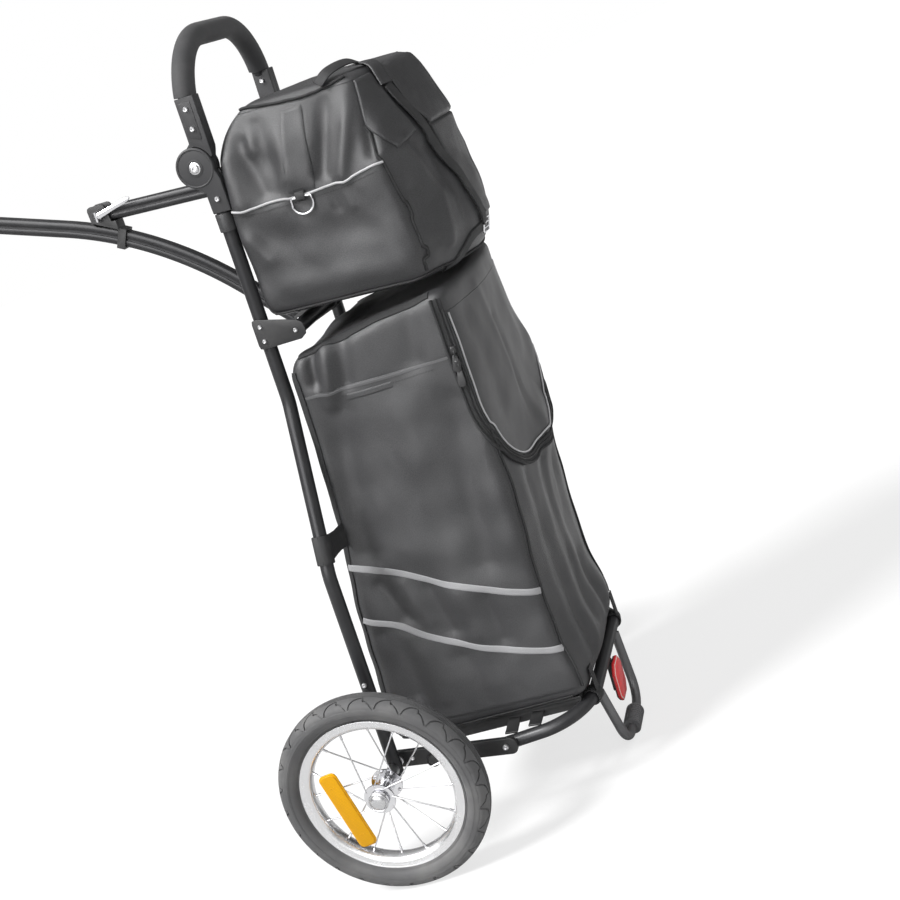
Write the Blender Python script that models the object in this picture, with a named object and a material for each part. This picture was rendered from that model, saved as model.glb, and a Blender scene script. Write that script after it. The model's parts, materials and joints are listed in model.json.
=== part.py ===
"""A bike shopping trailer: an upright two-wheeled frame with two soft bags, a tow arm and a folding handle.

Everything is drawn in the trailer's own axes, in metres: x to its right, y forwards and z up the
rails, from the middle of the wheel axle. The whole then leans back until the tyres and the foot
loop stand on the floor, with the world's origin under the middle of its box.
"""

import math

import bmesh
import bpy
from mathutils import Matrix, Vector

# Clearance between pieces that touch, and between pieces that turn on each other
GAP = 0.0003
# How far a cutter runs past the faces that it cuts, and a joined piece sinks into the other
CUT_PAST = 0.001

# Frame tubes
TUBE_RADIUS = 0.011
TUBE_WALL = 0.0015
TUBE_SIDES = 12
BEND_STEPS = 4

# Rails: close together above, cranked out to the wheels below
RAIL_TOP_X = 0.164
RAIL_FOOT_X = 0.2365
CRANK_TOP_Z = 0.617
CRANK_FOOT_Z = 0.346
CRANK_BEND = 0.09
RAIL_FOOT_DROP = 0.0145

# Wheels
WHEEL_TRACK = 0.618
WHEEL_RADIUS = 0.174
WHEEL_SEGMENTS = 30
TYRE_HALF_WIDTH = 0.0235
TYRE_WALL = 0.004
TYRE_CROWN = 0.20
RIM_RADIUS = 0.134
RIM_HALF_WIDTH = 0.0155
RIM_DEPTH = 0.0135
HUB_HALF_WIDTH = 0.030
HUB_RADIUS = 0.013
HUB_FLANGE_RADIUS = 0.026
HUB_FLANGE_OFFSET = 0.022
HUB_FLANGE_THICKNESS = 0.003
HUB_END_TAPER = 0.002
HUB_CAP_RADIUS = 0.0165
HUB_CAP_HEIGHT = 0.007
SPOKE_PAIRS = 8
SPOKE_RADIUS = 0.0012
SPOKE_HEAD_OFFSET = 0.002
SPOKE_HOLE_INSET = 0.004
SPOKE_SWEEP = math.radians(34)
SPOKE_LEAN_ALLOWANCE = 1.05
AXLE_RADIUS = 0.006
AXLE_COLLAR = 0.0105
AXLE_HEAD = 0.005
AXLE_END_INSET = 0.001
REFLECTOR_LENGTH = 0.140
REFLECTOR_WIDTH = 0.024
REFLECTOR_THICKNESS = 0.005
REFLECTOR_DISTANCE = 0.063
REFLECTOR_TURN = math.radians(95.6)

# Platform behind the axle
BAR_THICKNESS = 0.008
BAR_HEIGHT = 0.029
BAR_FRONT_Y = 0.020
BAR_END_Y = -0.205
BAR_CORNER = 0.010
LOWER_CROSS_Y = -0.060
LOWER_CROSS_Z = -0.010
CROSS_TUBE_STUB = 0.003
PLATFORM_HALF_WIDTH = 0.200
PLATFORM_FRONT_Y = -0.150
PLATFORM_REAR_Y = -0.328
PLATFORM_REAR_Z = 0.018
PLATFORM_SLOPE = 0.19
PLATFORM_BEND = 0.084
BOARD_THICKNESS = 0.006
BOARD_HALF_WIDTH = 0.160
BOARD_FRONT_Y = -0.035
BOARD_REAR_Y = -0.312
CROSS_STRIP_Y = (-0.195, -0.237)
CROSS_STRIP_WIDTH = 0.021
CROSS_STRIP_THICKNESS = 0.003
CROSS_STRIP_LAP = 0.006
CROSS_STRIP_FOOT = 0.008

# Foot loop, its clip and the rear reflector
LOOP_RADIUS = 0.008
LOOP_TOP_X = 0.103
LOOP_FOOT_X = 0.077
LOOP_FOOT_Y = -0.346
LOOP_FOOT_Z = -0.112
LOOP_BEND = 0.044
CLIP_HALF_WIDTH = 0.028
CLIP_WALL = 0.0055
CLIP_SWELL = 0.0016
REAR_REFLECTOR_WIDTH = 0.062
REAR_REFLECTOR_HEIGHT = 0.070
REAR_REFLECTOR_DEPTH = 0.009
REAR_REFLECTOR_CHAMFER = 0.014
REAR_REFLECTOR_TOP_Z = 0.005
STAY_WIDTH = 0.016
STAY_THICKNESS = 0.008
STAY_LENGTH = 0.056

# Handle and its two hinges
HINGE_Y = 0.0155
HINGE_Z = 0.996
HINGE_DISC_RADIUS = 0.0305
CASTING_HALF_WIDTH = 0.0125
CASTING_BACK_Y = -0.018
CASTING_FRONT_Y = 0.0115
CASTING_FOOT_Z = 0.924
CASTING_TOP_Z = 1.097
SPIGOT_LENGTH = 0.042
SPIGOT_REACH = 0.018
SPIGOT_ROOT = 0.004
CASTING_LAP = 0.018
HINGE_BOLT_RADIUS = 0.004
BOLT_HEAD_RADIUS = 0.0075
BOLT_HEAD_HEIGHT = 0.0035
BOLT_HEAD_CROWN_RADIUS = 0.0064
HANDLE_TOP_Z = 1.177
HANDLE_SETBACK = 0.005
HANDLE_BEND = 0.112
GRIP_RADIUS = 0.017

# Cross tubes and the plates that hold the middle one
UPPER_CROSS_Z = 0.945
MID_CROSS_Y = -0.055
MID_CROSS_Z = 0.727
PLATE_THICKNESS = 0.003
PLATE_END_RADIUS = 0.0155
PLATE_FRONT_Y = 0.0110
PLATE_TOP_Z = 0.756
PLATE_FOOT_Z = 0.7095
PLATE_CORNER = 0.008

# Tow arm and strut, both grooved oval bars
ARM_DEPTH = 0.028
ARM_WIDTH = 0.019
ARM_GROOVE = 0.0015
ARM_PIVOT_Y = 0.0
ARM_PIVOT_Z = 0.705
ARM_START_ANGLE = math.radians(44.65)
ARM_END_ANGLE = math.radians(17.1)
ARM_STRAIGHT = 0.116
ARM_BEND_RADIUS = 0.659
ARM_FRONT_Y = 0.602
ARM_STEPS = 8
PIVOT_PIN_RADIUS = 0.005
PIVOT_EAR_RADIUS = 0.0135
PIVOT_EAR_THICKNESS = 0.004
EAR_STEPS = 8
PIN_HEAD_LIP = 0.003
PIN_HEAD_HEIGHT = 0.003
COLLAR_WALL = 0.005
STRUT_DEPTH = 0.025
STRUT_WIDTH = 0.019
STRUT_END_Y = 0.291
STRUT_OVER_ARM = 0.033435
STRUT_SLOT_HALF = 0.0055
STRUT_SLOT_SLACK = 0.004

# Clamp that locks the strut on the arm
SKEWER_Y = 0.281
SKEWER_RADIUS = 0.0025
CLAMP_REAR_Y = 0.254
CLAMP_FRONT_Y = 0.298
CLAMP_EAR_THICKNESS = 0.004
CLAMP_BAND_Y = 0.256
CLAMP_BAND_LENGTH = 0.014
CLAMP_BAND_WALL = 0.0025
CLAMP_TOP_LIFT = 0.017446
CLAMP_EAR_SLANT = 0.012
CLAMP_EAR_CORNER = 0.006
SKEWER_SEAT = 0.0034
SKEWER_SEAT_RADIUS = 0.0068
SKEWER_NUT_RADIUS = 0.0076
SKEWER_NUT_HEIGHT = 0.010
LEVER_HEAD_RADIUS = 0.0085
LEVER_HEAD_THICKNESS = 0.008
LEVER_LENGTH = 0.068
LEVER_RISE = 0.0163
LEVER_THICKNESS = 0.005
LEVER_DEPTH = 0.010

# Hitch at the seat post
PITCH_PIVOT_AHEAD = 0.013
YOKE_LENGTH = 0.030
YOKE_PIN_RADIUS = 0.004
YOKE_EYE_RADIUS = 0.011
YOKE_BLOCK_RADIUS = 0.012
YOKE_THROAT = 0.0015
FORK_THICKNESS = 0.004
POST_RADIUS = 0.0137
POST_CLAMP_WALL = 0.005
POST_CLAMP_HEIGHT = 0.034
POST_AHEAD = 0.036
POST_LUG_WIDTH = 0.014
POST_LUG_HEIGHT = 0.0204
POST_LUG_REACH = 0.012
POST_SLIT = 0.002

# Bags
FABRIC = 0.004
BAG_HALF_WIDTH = 0.176
BAG_FRONT_FOOT_Y = -0.002
BAG_FRONT_TOP = (-0.031, 0.681)
BAG_REAR_TOP = (-0.289, 0.735)
BAG_REAR_FOOT_Y = -0.322
BAG_REAR_BULGE = 0.012
BAG_CORNER = 0.022
BAG_SIDE_ROUND = ((0.0, 0.016), (0.004, 0.007), (0.014, 0.0))
FLAP_HALF_WIDTH = 0.148
FLAP_TOP_Z = 0.700
FLAP_FOOT_Z = 0.412
FLAP_CORNER = 0.075
FLAP_CORNER_STEPS = 6
UPPER_HALF_WIDTH = 0.172
UPPER_FOOT_Z = 0.746
UPPER_TOP_Z = 1.063
UPPER_FRONT_FOOT_Y = -0.020
UPPER_FRONT_TOP_Y = -0.054
UPPER_REAR_FOOT_Y = -0.262
UPPER_REAR_LOW = (-0.285, 0.800)
UPPER_REAR_HIGH = (-0.262, 0.970)
UPPER_REAR_TOP_Y = -0.246
UPPER_REAR_BULGE = 0.060
UPPER_CORNER = 0.030
LID_SEAM_Z = 1.030
UPPER_STRAP_DROP = 0.002
UPPER_STRAP_HEIGHT = 0.027
LOWER_STRAP_Z = 0.3875
LOWER_STRAP_HEIGHT = 0.045
LOWER_STRAP_TAPER = 0.004
STRAP_THICKNESS = 0.0022
STRAP_TAIL_INSET = 0.008
BASE_STRAP_WIDTH = 0.020
BASE_STRAP_RISE = 0.062
BASE_STRAP_ARC = math.radians(11)
BASE_STRAP_SLACK = 0.0018
RING_WIRE = 0.0015
RING_HALF_WIDTH = 0.014
RING_DROP = 0.022
RING_BEND = 0.005
RING_Y = -0.129
RING_Z = 0.916
RING_TAB_HEIGHT = 0.020
RING_STAND_OFF = 0.0045

# The tyre's half section: shares of its half width, and of its height over the rim
TYRE_SECTION = ((0.45, 0.0), (0.86, 0.22), (1.0, 0.50), (0.90, 0.76), (0.56, 0.92))
TYRE_HOLLOW = ((0.45, 0.94), (0.73, 0.70))

# The rim's half section: shares of its half width, and of its depth below the bead
RIM_SECTION = ((1.0, 0.0), (1.0, 0.25), (0.72, 0.8), (0.25, 1.0))

SIDES = {"left": -1.0, "right": 1.0}

FINISHES = {
    "frame_grey": ((0.20, 0.20, 0.21), 0.45, 0.6),
    "casting_grey": ((0.16, 0.16, 0.17), 0.55, 0.3),
    "black_steel": ((0.012, 0.012, 0.013), 0.5, 0.2),
    "bolt_steel": ((0.60, 0.60, 0.62), 0.3, 1.0),
    "chrome": ((0.80, 0.80, 0.82), 0.12, 1.0),
    "rim_chrome": ((0.70, 0.70, 0.72), 0.2, 1.0),
    "tyre_rubber": ((0.035, 0.035, 0.037), 0.85, 0.0),
    "grip_foam": ((0.055, 0.055, 0.058), 0.95, 0.0),
    "black_plastic": ((0.02, 0.02, 0.021), 0.5, 0.0),
    "bag_fabric": ((0.045, 0.045, 0.047), 0.9, 0.0),
    "webbing": ((0.015, 0.015, 0.016), 0.85, 0.0),
    "red_reflector": ((0.75, 0.02, 0.03), 0.25, 0.0),
    "amber_reflector": ((0.95, 0.55, 0.02), 0.25, 0.0),
}


def finish(name):
    """The material of that name, made on first use."""
    made = bpy.data.materials.get(name)
    if made:
        return made
    colour, roughness, metallic = FINISHES[name]
    made = bpy.data.materials.new(name)
    made.use_nodes = True
    surface = made.node_tree.nodes["Principled BSDF"]
    surface.inputs["Base Color"].default_value = (*colour, 1.0)
    surface.inputs["Roughness"].default_value = roughness
    surface.inputs["Metallic"].default_value = metallic
    return made


def solid(vertices, faces):
    """A closed shape with its faces pointing out."""
    mesh = bpy.data.meshes.new("shape")
    mesh.from_pydata([tuple(vertex) for vertex in vertices], [], faces)
    skin = bmesh.new()
    skin.from_mesh(mesh)
    bmesh.ops.recalc_face_normals(skin, faces=skin.faces)
    skin.to_mesh(mesh)
    skin.free()
    shape = bpy.data.objects.new("shape", mesh)
    bpy.context.collection.objects.link(shape)
    return shape


def circle(radius, sides=TUBE_SIDES):
    """A round outline, with a flat at the top and the bottom."""
    turns = [2 * math.pi * (k + 0.5) / sides for k in range(sides)]
    return [(radius * math.cos(turn), radius * math.sin(turn)) for turn in turns]


def rounded(corners, radius, steps=BEND_STEPS, closed=False):
    """A line through corners (Vectors), each inner corner turned into an arc of at most that radius."""
    line = []
    count = len(corners)
    for k, corner in enumerate(corners):
        if not closed and k in (0, count - 1):
            line.append(corner)
            continue
        back = corners[k - 1] - corner
        ahead = corners[(k + 1) % count] - corner
        half = back.angle(ahead) / 2
        reach = min(radius / math.tan(half), 0.49 * back.length, 0.49 * ahead.length)
        bend = reach * math.tan(half)
        middle = corner + (back.normalized() + ahead.normalized()).normalized() * bend / math.sin(half)
        start = (corner + back.normalized() * reach - middle).normalized()
        end = (corner + ahead.normalized() * reach - middle).normalized()
        for step in range(steps + 1):
            line.append(middle + start.slerp(end, step / steps) * bend)
    return line


def rounded_outline(corners, radius, steps=2):
    """A closed flat outline of pairs with round corners."""
    line = rounded([Vector((u, v, 0.0)) for u, v in corners], radius, steps, closed=True)
    return [(point.x, point.y) for point in line]


def inset(corners, distance):
    """The corners of a convex outline of pairs, each edge moved in by that distance."""
    middle = Vector((sum(u for u, _ in corners), sum(v for _, v in corners))) / len(corners)
    moved = []
    for k, corner in enumerate(corners):
        here = Vector(corner)
        normals = []
        for other in (Vector(corners[k - 1]), Vector(corners[(k + 1) % len(corners)])):
            edge = (other - here).normalized()
            normal = Vector((-edge.y, edge.x))
            if normal.dot(middle - here) < 0:
                normal.negate()
            normals.append(normal)
        spread = 1 + normals[0].dot(normals[1])
        moved.append(tuple(here + (normals[0] + normals[1]) * distance / spread))
    return moved


def sweep(path, side, outline, bore=None, closed=False):
    """Carries an outline of (along side, across) pairs along a flat path whose plane is square to side."""
    rings = [outline] if bore is None else [outline, bore]
    count = len(outline)
    loops = []
    for k, point in enumerate(path):
        before = path[k - 1] if closed or k else point
        after = path[(k + 1) % len(path)] if closed or k < len(path) - 1 else point
        entering = (point - before).normalized() if before is not point else (after - point).normalized()
        leaving = (after - point).normalized() if after is not point else entering
        along = (entering + leaving).normalized()
        across = along.cross(side).normalized() / max(along.dot(entering), 0.5)
        loops.append([[point + side * u + across * v for u, v in ring] for ring in rings])
    vertices = [vertex for station in loops for ring in station for vertex in ring]
    faces = []
    stride = count * len(rings)
    for k in range(len(path) if closed else len(path) - 1):
        here, there = k * stride, ((k + 1) % len(path)) * stride
        for ring in range(len(rings)):
            for i in range(count):
                a, b = ring * count + i, ring * count + (i + 1) % count
                faces.append((here + a, here + b, there + b, there + a))
    if not closed:
        for end in (0, (len(path) - 1) * stride):
            if bore is None:
                faces.append(tuple(end + i for i in range(count)))
            else:
                for i in range(count):
                    j = (i + 1) % count
                    faces.append((end + i, end + j, end + count + j, end + count + i))
    return solid(vertices, faces)


def tube(path, side, radius=TUBE_RADIUS):
    """A round tube, open at its ends."""
    return sweep(path, side, circle(radius), circle(radius - TUBE_WALL))


def lathe(profile, segments, ring=False):
    """Turns (x, radius) pairs round the x axis: a ring from a closed profile, else a solid with flat ends."""
    vertices, faces = [], []
    count = len(profile)
    for k in range(segments):
        turn = 2 * math.pi * (k + 0.5) / segments
        for x, radius in profile:
            vertices.append((x, radius * math.sin(turn), radius * math.cos(turn)))
    for k in range(segments):
        here, there = k * count, ((k + 1) % segments) * count
        for i in range(count if ring else count - 1):
            j = (i + 1) % count
            faces.append((here + i, here + j, there + j, there + i))
    if not ring:
        for end in (0, count - 1):
            faces.append(tuple(k * count + end for k in range(segments)))
    return solid(vertices, faces)


def loft(sections):
    """Skins flat sections of one count in order and closes both ends."""
    count = len(sections[0])
    vertices = [vertex for section in sections for vertex in section]
    faces = [tuple(range(count)), tuple((len(sections) - 1) * count + i for i in range(count))]
    for k in range(len(sections) - 1):
        for i in range(count):
            a, b = k * count + i, k * count + (i + 1) % count
            faces.append((a, b, b + count, a + count))
    return solid(vertices, faces)


def prism(outline, low, high, axis="x"):
    """Extrudes an outline of pairs (the other two axes, in order) from low to high along an axis."""
    places = {
        "x": lambda u, v, w: (w, u, v),
        "y": lambda u, v, w: (u, w, v),
        "z": lambda u, v, w: (u, v, w),
    }
    put = places[axis]
    return loft([[put(u, v, level) for u, v in outline] for level in (low, high)])


def box(low, high):
    """A block between two corners."""
    outline = [(low[1], low[2]), (high[1], low[2]), (high[1], high[2]), (low[1], high[2])]
    return prism(outline, low[0], high[0])


def rod(x_low, x_high, y, z, radius, sides=TUBE_SIDES):
    """A round bar along x."""
    return prism([(y + u, z + v) for u, v in circle(radius, sides)], x_low, x_high)


def combine(target, tool, operation):
    """Joins, cuts or crosses the target with a tool, which is used up."""
    modifier = target.modifiers.new(operation, "BOOLEAN")
    modifier.operation = operation
    modifier.solver = "EXACT"
    modifier.object = tool
    bpy.context.view_layer.update()
    evaluated = target.evaluated_get(bpy.context.evaluated_depsgraph_get())
    mesh = bpy.data.meshes.new_from_object(evaluated)
    target.modifiers.clear()
    target.data = mesh
    bpy.data.objects.remove(tool)
    return target


def join(target, *tools):
    """The target and the tools as one body."""
    for tool in tools:
        combine(target, tool, "UNION")
    return target


def cut(target, *tools):
    """The target without the tools."""
    for tool in tools:
        combine(target, tool, "DIFFERENCE")
    return target


def carrier(name, place, parent, turn=None):
    """An empty on a joint's axis, at a place in its parent's axes."""
    empty = bpy.data.objects.new(name, None)
    bpy.context.collection.objects.link(empty)
    empty.parent = parent
    empty.matrix_local = Matrix.Translation(place) @ (turn or Matrix.Identity(4))
    return empty


def in_trailer(empty):
    """A carrier's matrix in the trailer's axes."""
    matrix = empty.matrix_local.copy()
    while empty.parent and empty.parent.parent:
        empty = empty.parent
        matrix = empty.matrix_local @ matrix
    return matrix


def settle(shape, name, material, parent, own_axes=False):
    """Names a finished shape, paints it and hangs it on its carrier."""
    if parent.parent and not own_axes:
        shape.data.transform(in_trailer(parent).inverted())
    shape.name = shape.data.name = name
    shape.data.materials.clear()
    shape.data.materials.append(finish(material))
    shape.data.shade_smooth()
    shape.data.set_sharp_from_angle(angle=math.radians(35))
    shape.parent = parent
    return shape


# Heights and angles that follow from the sizes above

CONTACT_RADIUS = WHEEL_RADIUS * math.cos(math.pi / WHEEL_SEGMENTS)
CLIP_DROP = LOOP_RADIUS + CLIP_WALL


def lean_angle():
    """How far the trailer leans back with its tyres and its foot clip on one floor."""
    reach = math.hypot(LOOP_FOOT_Y, LOOP_FOOT_Z)
    return math.asin((CONTACT_RADIUS - CLIP_DROP) / reach) - math.atan2(-LOOP_FOOT_Z, -LOOP_FOOT_Y)


LEAN = lean_angle()
HANDLE_TILT = HANDLE_SETBACK / (HANDLE_TOP_Z - CASTING_TOP_Z)
ARM_PIVOT = Vector((0.0, ARM_PIVOT_Y, ARM_PIVOT_Z))
STRUT_PIVOT = Vector((0.0, 0.0, UPPER_CROSS_Z))
HINGE = Vector((0.0, HINGE_Y, HINGE_Z))
ARM_END_WAY = Vector((0.0, math.cos(ARM_END_ANGLE), math.sin(ARM_END_ANGLE)))
BOARD_WAY = Vector((0.0, PLATFORM_REAR_Y - LOWER_CROSS_Y, PLATFORM_REAR_Z - LOWER_CROSS_Z)).normalized()
BOARD_UP = Vector((0.0, BOARD_WAY.z, -BOARD_WAY.y))
PLATFORM_WAY = Vector((0.0, -1.0, PLATFORM_SLOPE)).normalized()
PLATFORM_UP = Vector((0.0, PLATFORM_WAY.z, -PLATFORM_WAY.y))


def board_point(y, lift):
    """A point over the line from the lower cross tube to the platform's rear tube, at that y and lift."""
    start = Vector((0.0, LOWER_CROSS_Y, LOWER_CROSS_Z)) + BOARD_UP * lift
    return start + BOARD_WAY * ((y - start.y) / BOARD_WAY.y)


def platform_z(y):
    """The height of the platform tube's middle at y."""
    return PLATFORM_REAR_Z + (PLATFORM_REAR_Y - y) * PLATFORM_SLOPE


def arm_path():
    """The tow arm's middle line: straight from the pivot, then a long bend, then straight to the hitch."""
    start_way = Vector((0.0, math.cos(ARM_START_ANGLE), math.sin(ARM_START_ANGLE)))
    bend_start = ARM_PIVOT + start_way * ARM_STRAIGHT
    inward = Vector((0.0, math.sin(ARM_START_ANGLE), -math.cos(ARM_START_ANGLE)))
    middle = bend_start + inward * ARM_BEND_RADIUS
    path = [ARM_PIVOT]
    for step in range(ARM_STEPS + 1):
        angle = ARM_START_ANGLE + (ARM_END_ANGLE - ARM_START_ANGLE) * step / ARM_STEPS
        path.append(middle + Vector((0.0, -math.sin(angle), math.cos(angle))) * ARM_BEND_RADIUS)
    path.append(path[-1] + ARM_END_WAY * ((ARM_FRONT_Y - path[-1].y) / ARM_END_WAY.y))
    return path


ARM_PATH = arm_path()
PITCH_PIVOT = ARM_PATH[-1] + ARM_END_WAY * PITCH_PIVOT_AHEAD
YAW_PIVOT = PITCH_PIVOT + Vector((0.0, YOKE_LENGTH, 0.0))
POST_CENTRE = YAW_PIVOT + Vector((0.0, POST_AHEAD, 0.0))


def arm_at(y):
    """The arm's middle and direction at y."""
    for start, end in zip(ARM_PATH[:-1], ARM_PATH[1:]):
        if start.y <= y <= end.y:
            return start.lerp(end, (y - start.y) / (end.y - start.y)), (end - start).normalized()
    return ARM_PATH[-1], ARM_END_WAY


SKEWER = Vector((0.0, SKEWER_Y, arm_at(SKEWER_Y)[0].z + STRUT_OVER_ARM))
STRUT_WAY = (SKEWER - STRUT_PIVOT).normalized()
CLAMP_TOP_Z = SKEWER.z + CLAMP_TOP_LIFT


def grooved(width, depth):
    """The outline of an oval bar with a groove along the middle of each side."""
    w, d = width / 2, depth / 2
    right = [
        (w - 0.005, d), (w - 0.0012, d - 0.0025), (w, d - 0.007), (w, ARM_GROOVE),
        (w - ARM_GROOVE, 0.0),
        (w, -ARM_GROOVE), (w, 0.007 - d), (w - 0.0012, 0.0025 - d), (w - 0.005, -d),
    ]
    return right + [(-u, v) for u, v in reversed(right)]


def rail_x(z):
    """The rail's distance from the centre plane at z, without the bends' rounding."""
    share = min(max((z - CRANK_FOOT_Z) / (CRANK_TOP_Z - CRANK_FOOT_Z), 0.0), 1.0)
    return RAIL_FOOT_X + (RAIL_TOP_X - RAIL_FOOT_X) * share


def make_rails(trailer):
    """The two long side tubes, each cranked out to its wheel and bored for the axle."""
    for name, side in SIDES.items():
        path = rounded(
            [
                Vector((side * RAIL_TOP_X, 0.0, CASTING_FOOT_Z - GAP)),
                Vector((side * RAIL_TOP_X, 0.0, CRANK_TOP_Z)),
                Vector((side * RAIL_FOOT_X, 0.0, CRANK_FOOT_Z)),
                Vector((side * RAIL_FOOT_X, 0.0, -RAIL_FOOT_DROP)),
            ],
            CRANK_BEND,
        )
        rail = tube(path, Vector((0.0, 1.0, 0.0)))
        reach = 2 * TUBE_RADIUS
        cut(rail, rod(side * RAIL_FOOT_X - reach, side * RAIL_FOOT_X + reach, 0.0, 0.0, AXLE_RADIUS + GAP))
        settle(rail, f"{name}_rail", "frame_grey", trailer)


def make_wheels(trailer, upright):
    """Two wheels, each a tyre, a rim, a spoked hub, a hub cap and a strip reflector on the spokes."""
    flat = math.cos(math.pi / WHEEL_SEGMENTS)
    shoulder = WHEEL_RADIUS - RIM_RADIUS
    bead = RIM_RADIUS + GAP
    half = [(out * TYRE_HALF_WIDTH, bead + up * shoulder) for out, up in TYRE_SECTION]
    half.append((TYRE_CROWN * TYRE_HALF_WIDTH, WHEEL_RADIUS))
    inner = [(out * TYRE_HALF_WIDTH, bead + up * shoulder - TYRE_WALL) for out, up in TYRE_HOLLOW]
    inner.append((half[0][0] - TYRE_WALL, bead))
    outline = half + [(-x, r) for x, r in reversed(half)]
    hollow = [(-x, r) for x, r in reversed(inner)] + inner
    tyre = lathe(outline + hollow, WHEEL_SEGMENTS, ring=True)

    rim_half = [(out * RIM_HALF_WIDTH, RIM_RADIUS - down * RIM_DEPTH) for out, down in RIM_SECTION]
    rim = lathe(rim_half + [(-x, r) for x, r in reversed(rim_half)], WHEEL_SEGMENTS, ring=True)

    flange_in = HUB_FLANGE_OFFSET - HUB_FLANGE_THICKNESS / 2
    flange_out = HUB_FLANGE_OFFSET + HUB_FLANGE_THICKNESS / 2
    hub_half = [
        (flange_in, HUB_RADIUS),
        (flange_in, HUB_FLANGE_RADIUS),
        (flange_out, HUB_FLANGE_RADIUS),
        (flange_out, HUB_RADIUS),
        (HUB_HALF_WIDTH, HUB_RADIUS - HUB_END_TAPER),
        (HUB_HALF_WIDTH, AXLE_RADIUS + GAP),
    ]
    hub = lathe([(-x, r) for x, r in reversed(hub_half)] + hub_half, 20, ring=True)
    spoke_end = RIM_RADIUS * flat - RIM_DEPTH - GAP
    spoke_foot = HUB_FLANGE_RADIUS - SPOKE_HOLE_INSET
    for plane in (-1.0, 1.0):
        for k in range(SPOKE_PAIRS):
            turn = 2 * math.pi * (k + (0.5 if plane > 0 else 0.0)) / SPOKE_PAIRS
            lay = turn + plane * SPOKE_SWEEP
            foot_x, head_x = plane * HUB_FLANGE_OFFSET, plane * SPOKE_HEAD_OFFSET
            foot = Vector((foot_x, spoke_foot * math.sin(turn), spoke_foot * math.cos(turn)))
            head = Vector((head_x, spoke_end * math.sin(lay), spoke_end * math.cos(lay)))
            outward = (head - foot).normalized()
            beside = outward.cross(Vector((1.0, 0.0, 0.0))).normalized()
            join(hub, sweep([foot, head], beside, circle(SPOKE_RADIUS, 4)))

    cap_profile = [
        (HUB_HALF_WIDTH + GAP, HUB_CAP_RADIUS),
        (HUB_HALF_WIDTH + 0.45 * HUB_CAP_HEIGHT, HUB_CAP_RADIUS),
        (HUB_HALF_WIDTH + 0.85 * HUB_CAP_HEIGHT, 0.65 * HUB_CAP_RADIUS),
        (HUB_HALF_WIDTH + HUB_CAP_HEIGHT, 0.25 * HUB_CAP_RADIUS),
    ]
    cap = lathe(cap_profile, 20)

    foot = Vector((spoke_foot, 0.0))
    run = Vector((spoke_end * math.cos(SPOKE_SWEEP), spoke_end * math.sin(SPOKE_SWEEP))) - foot
    near = REFLECTOR_DISTANCE - REFLECTOR_WIDTH / 2
    square = foot.dot(run) ** 2 - run.dot(run) * (spoke_foot**2 - near**2)
    share = (math.sqrt(square) - foot.dot(run)) / run.dot(run)
    spoke_x = HUB_FLANGE_OFFSET + (SPOKE_HEAD_OFFSET - HUB_FLANGE_OFFSET) * share
    seat_x = spoke_x + SPOKE_RADIUS * SPOKE_LEAN_ALLOWANCE + GAP
    strip = [
        (REFLECTOR_LENGTH / 2 - 0.4 * REFLECTOR_WIDTH, -REFLECTOR_WIDTH / 2),
        (REFLECTOR_LENGTH / 2, -0.2 * REFLECTOR_WIDTH),
        (REFLECTOR_LENGTH / 2, 0.2 * REFLECTOR_WIDTH),
        (REFLECTOR_LENGTH / 2 - 0.4 * REFLECTOR_WIDTH, REFLECTOR_WIDTH / 2),
    ]
    strip += [(-u, v) for u, v in reversed(strip)]
    bent = [(u, v + REFLECTOR_DISTANCE) for u, v in strip]
    reflector = prism(bent, seat_x, seat_x + REFLECTOR_THICKNESS)
    reflector.data.transform(Matrix.Rotation(REFLECTOR_TURN, 4, "X"))

    made = {
        "tyre": (tyre, "tyre_rubber"),
        "rim": (rim, "rim_chrome"),
        "spoked_hub": (hub, "chrome"),
        "hub_cap": (cap, "black_plastic"),
        "wheel_reflector": (reflector, "amber_reflector"),
    }
    for name, side in SIDES.items():
        turn = upright @ Matrix.Rotation(0.0 if side > 0 else math.pi, 4, "Z")
        spindle = carrier(f"{name}_spindle", Vector((side * WHEEL_TRACK / 2, 0.0, 0.0)), trailer, turn)
        for piece, (shape, material) in made.items():
            twin = shape.copy()
            twin.data = shape.data.copy()
            bpy.context.collection.objects.link(twin)
            settle(twin, f"{name}_{piece}", material, spindle, own_axes=True)
    for shape, _ in made.values():
        bpy.data.objects.remove(shape)


def make_axles(trailer):
    """A stub axle a side, through the side bar and the rail and into the hub."""
    bar_in = PLATFORM_HALF_WIDTH + TUBE_RADIUS + GAP
    bar_out = bar_in + BAR_THICKNESS
    rail_in, rail_out = RAIL_FOOT_X - TUBE_RADIUS, RAIL_FOOT_X + TUBE_RADIUS
    hub_in = WHEEL_TRACK / 2 - HUB_HALF_WIDTH
    profile = [
        (bar_in - AXLE_HEAD, AXLE_COLLAR),
        (bar_in - GAP, AXLE_COLLAR),
        (bar_in - GAP, AXLE_RADIUS),
        (bar_out + GAP, AXLE_RADIUS),
        (bar_out + GAP, AXLE_COLLAR),
        (rail_in - GAP, AXLE_COLLAR),
        (rail_in - GAP, AXLE_RADIUS),
        (rail_out + GAP, AXLE_RADIUS),
        (rail_out + GAP, AXLE_COLLAR),
        (hub_in - GAP, AXLE_COLLAR),
        (hub_in - GAP, AXLE_RADIUS - GAP),
        (WHEEL_TRACK / 2 + HUB_HALF_WIDTH - AXLE_END_INSET, AXLE_RADIUS - GAP),
    ]
    for name, side in SIDES.items():
        axle = lathe([(side * x, r) for x, r in profile], 16)
        settle(axle, f"{name}_axle", "bolt_steel", trailer)


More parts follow.
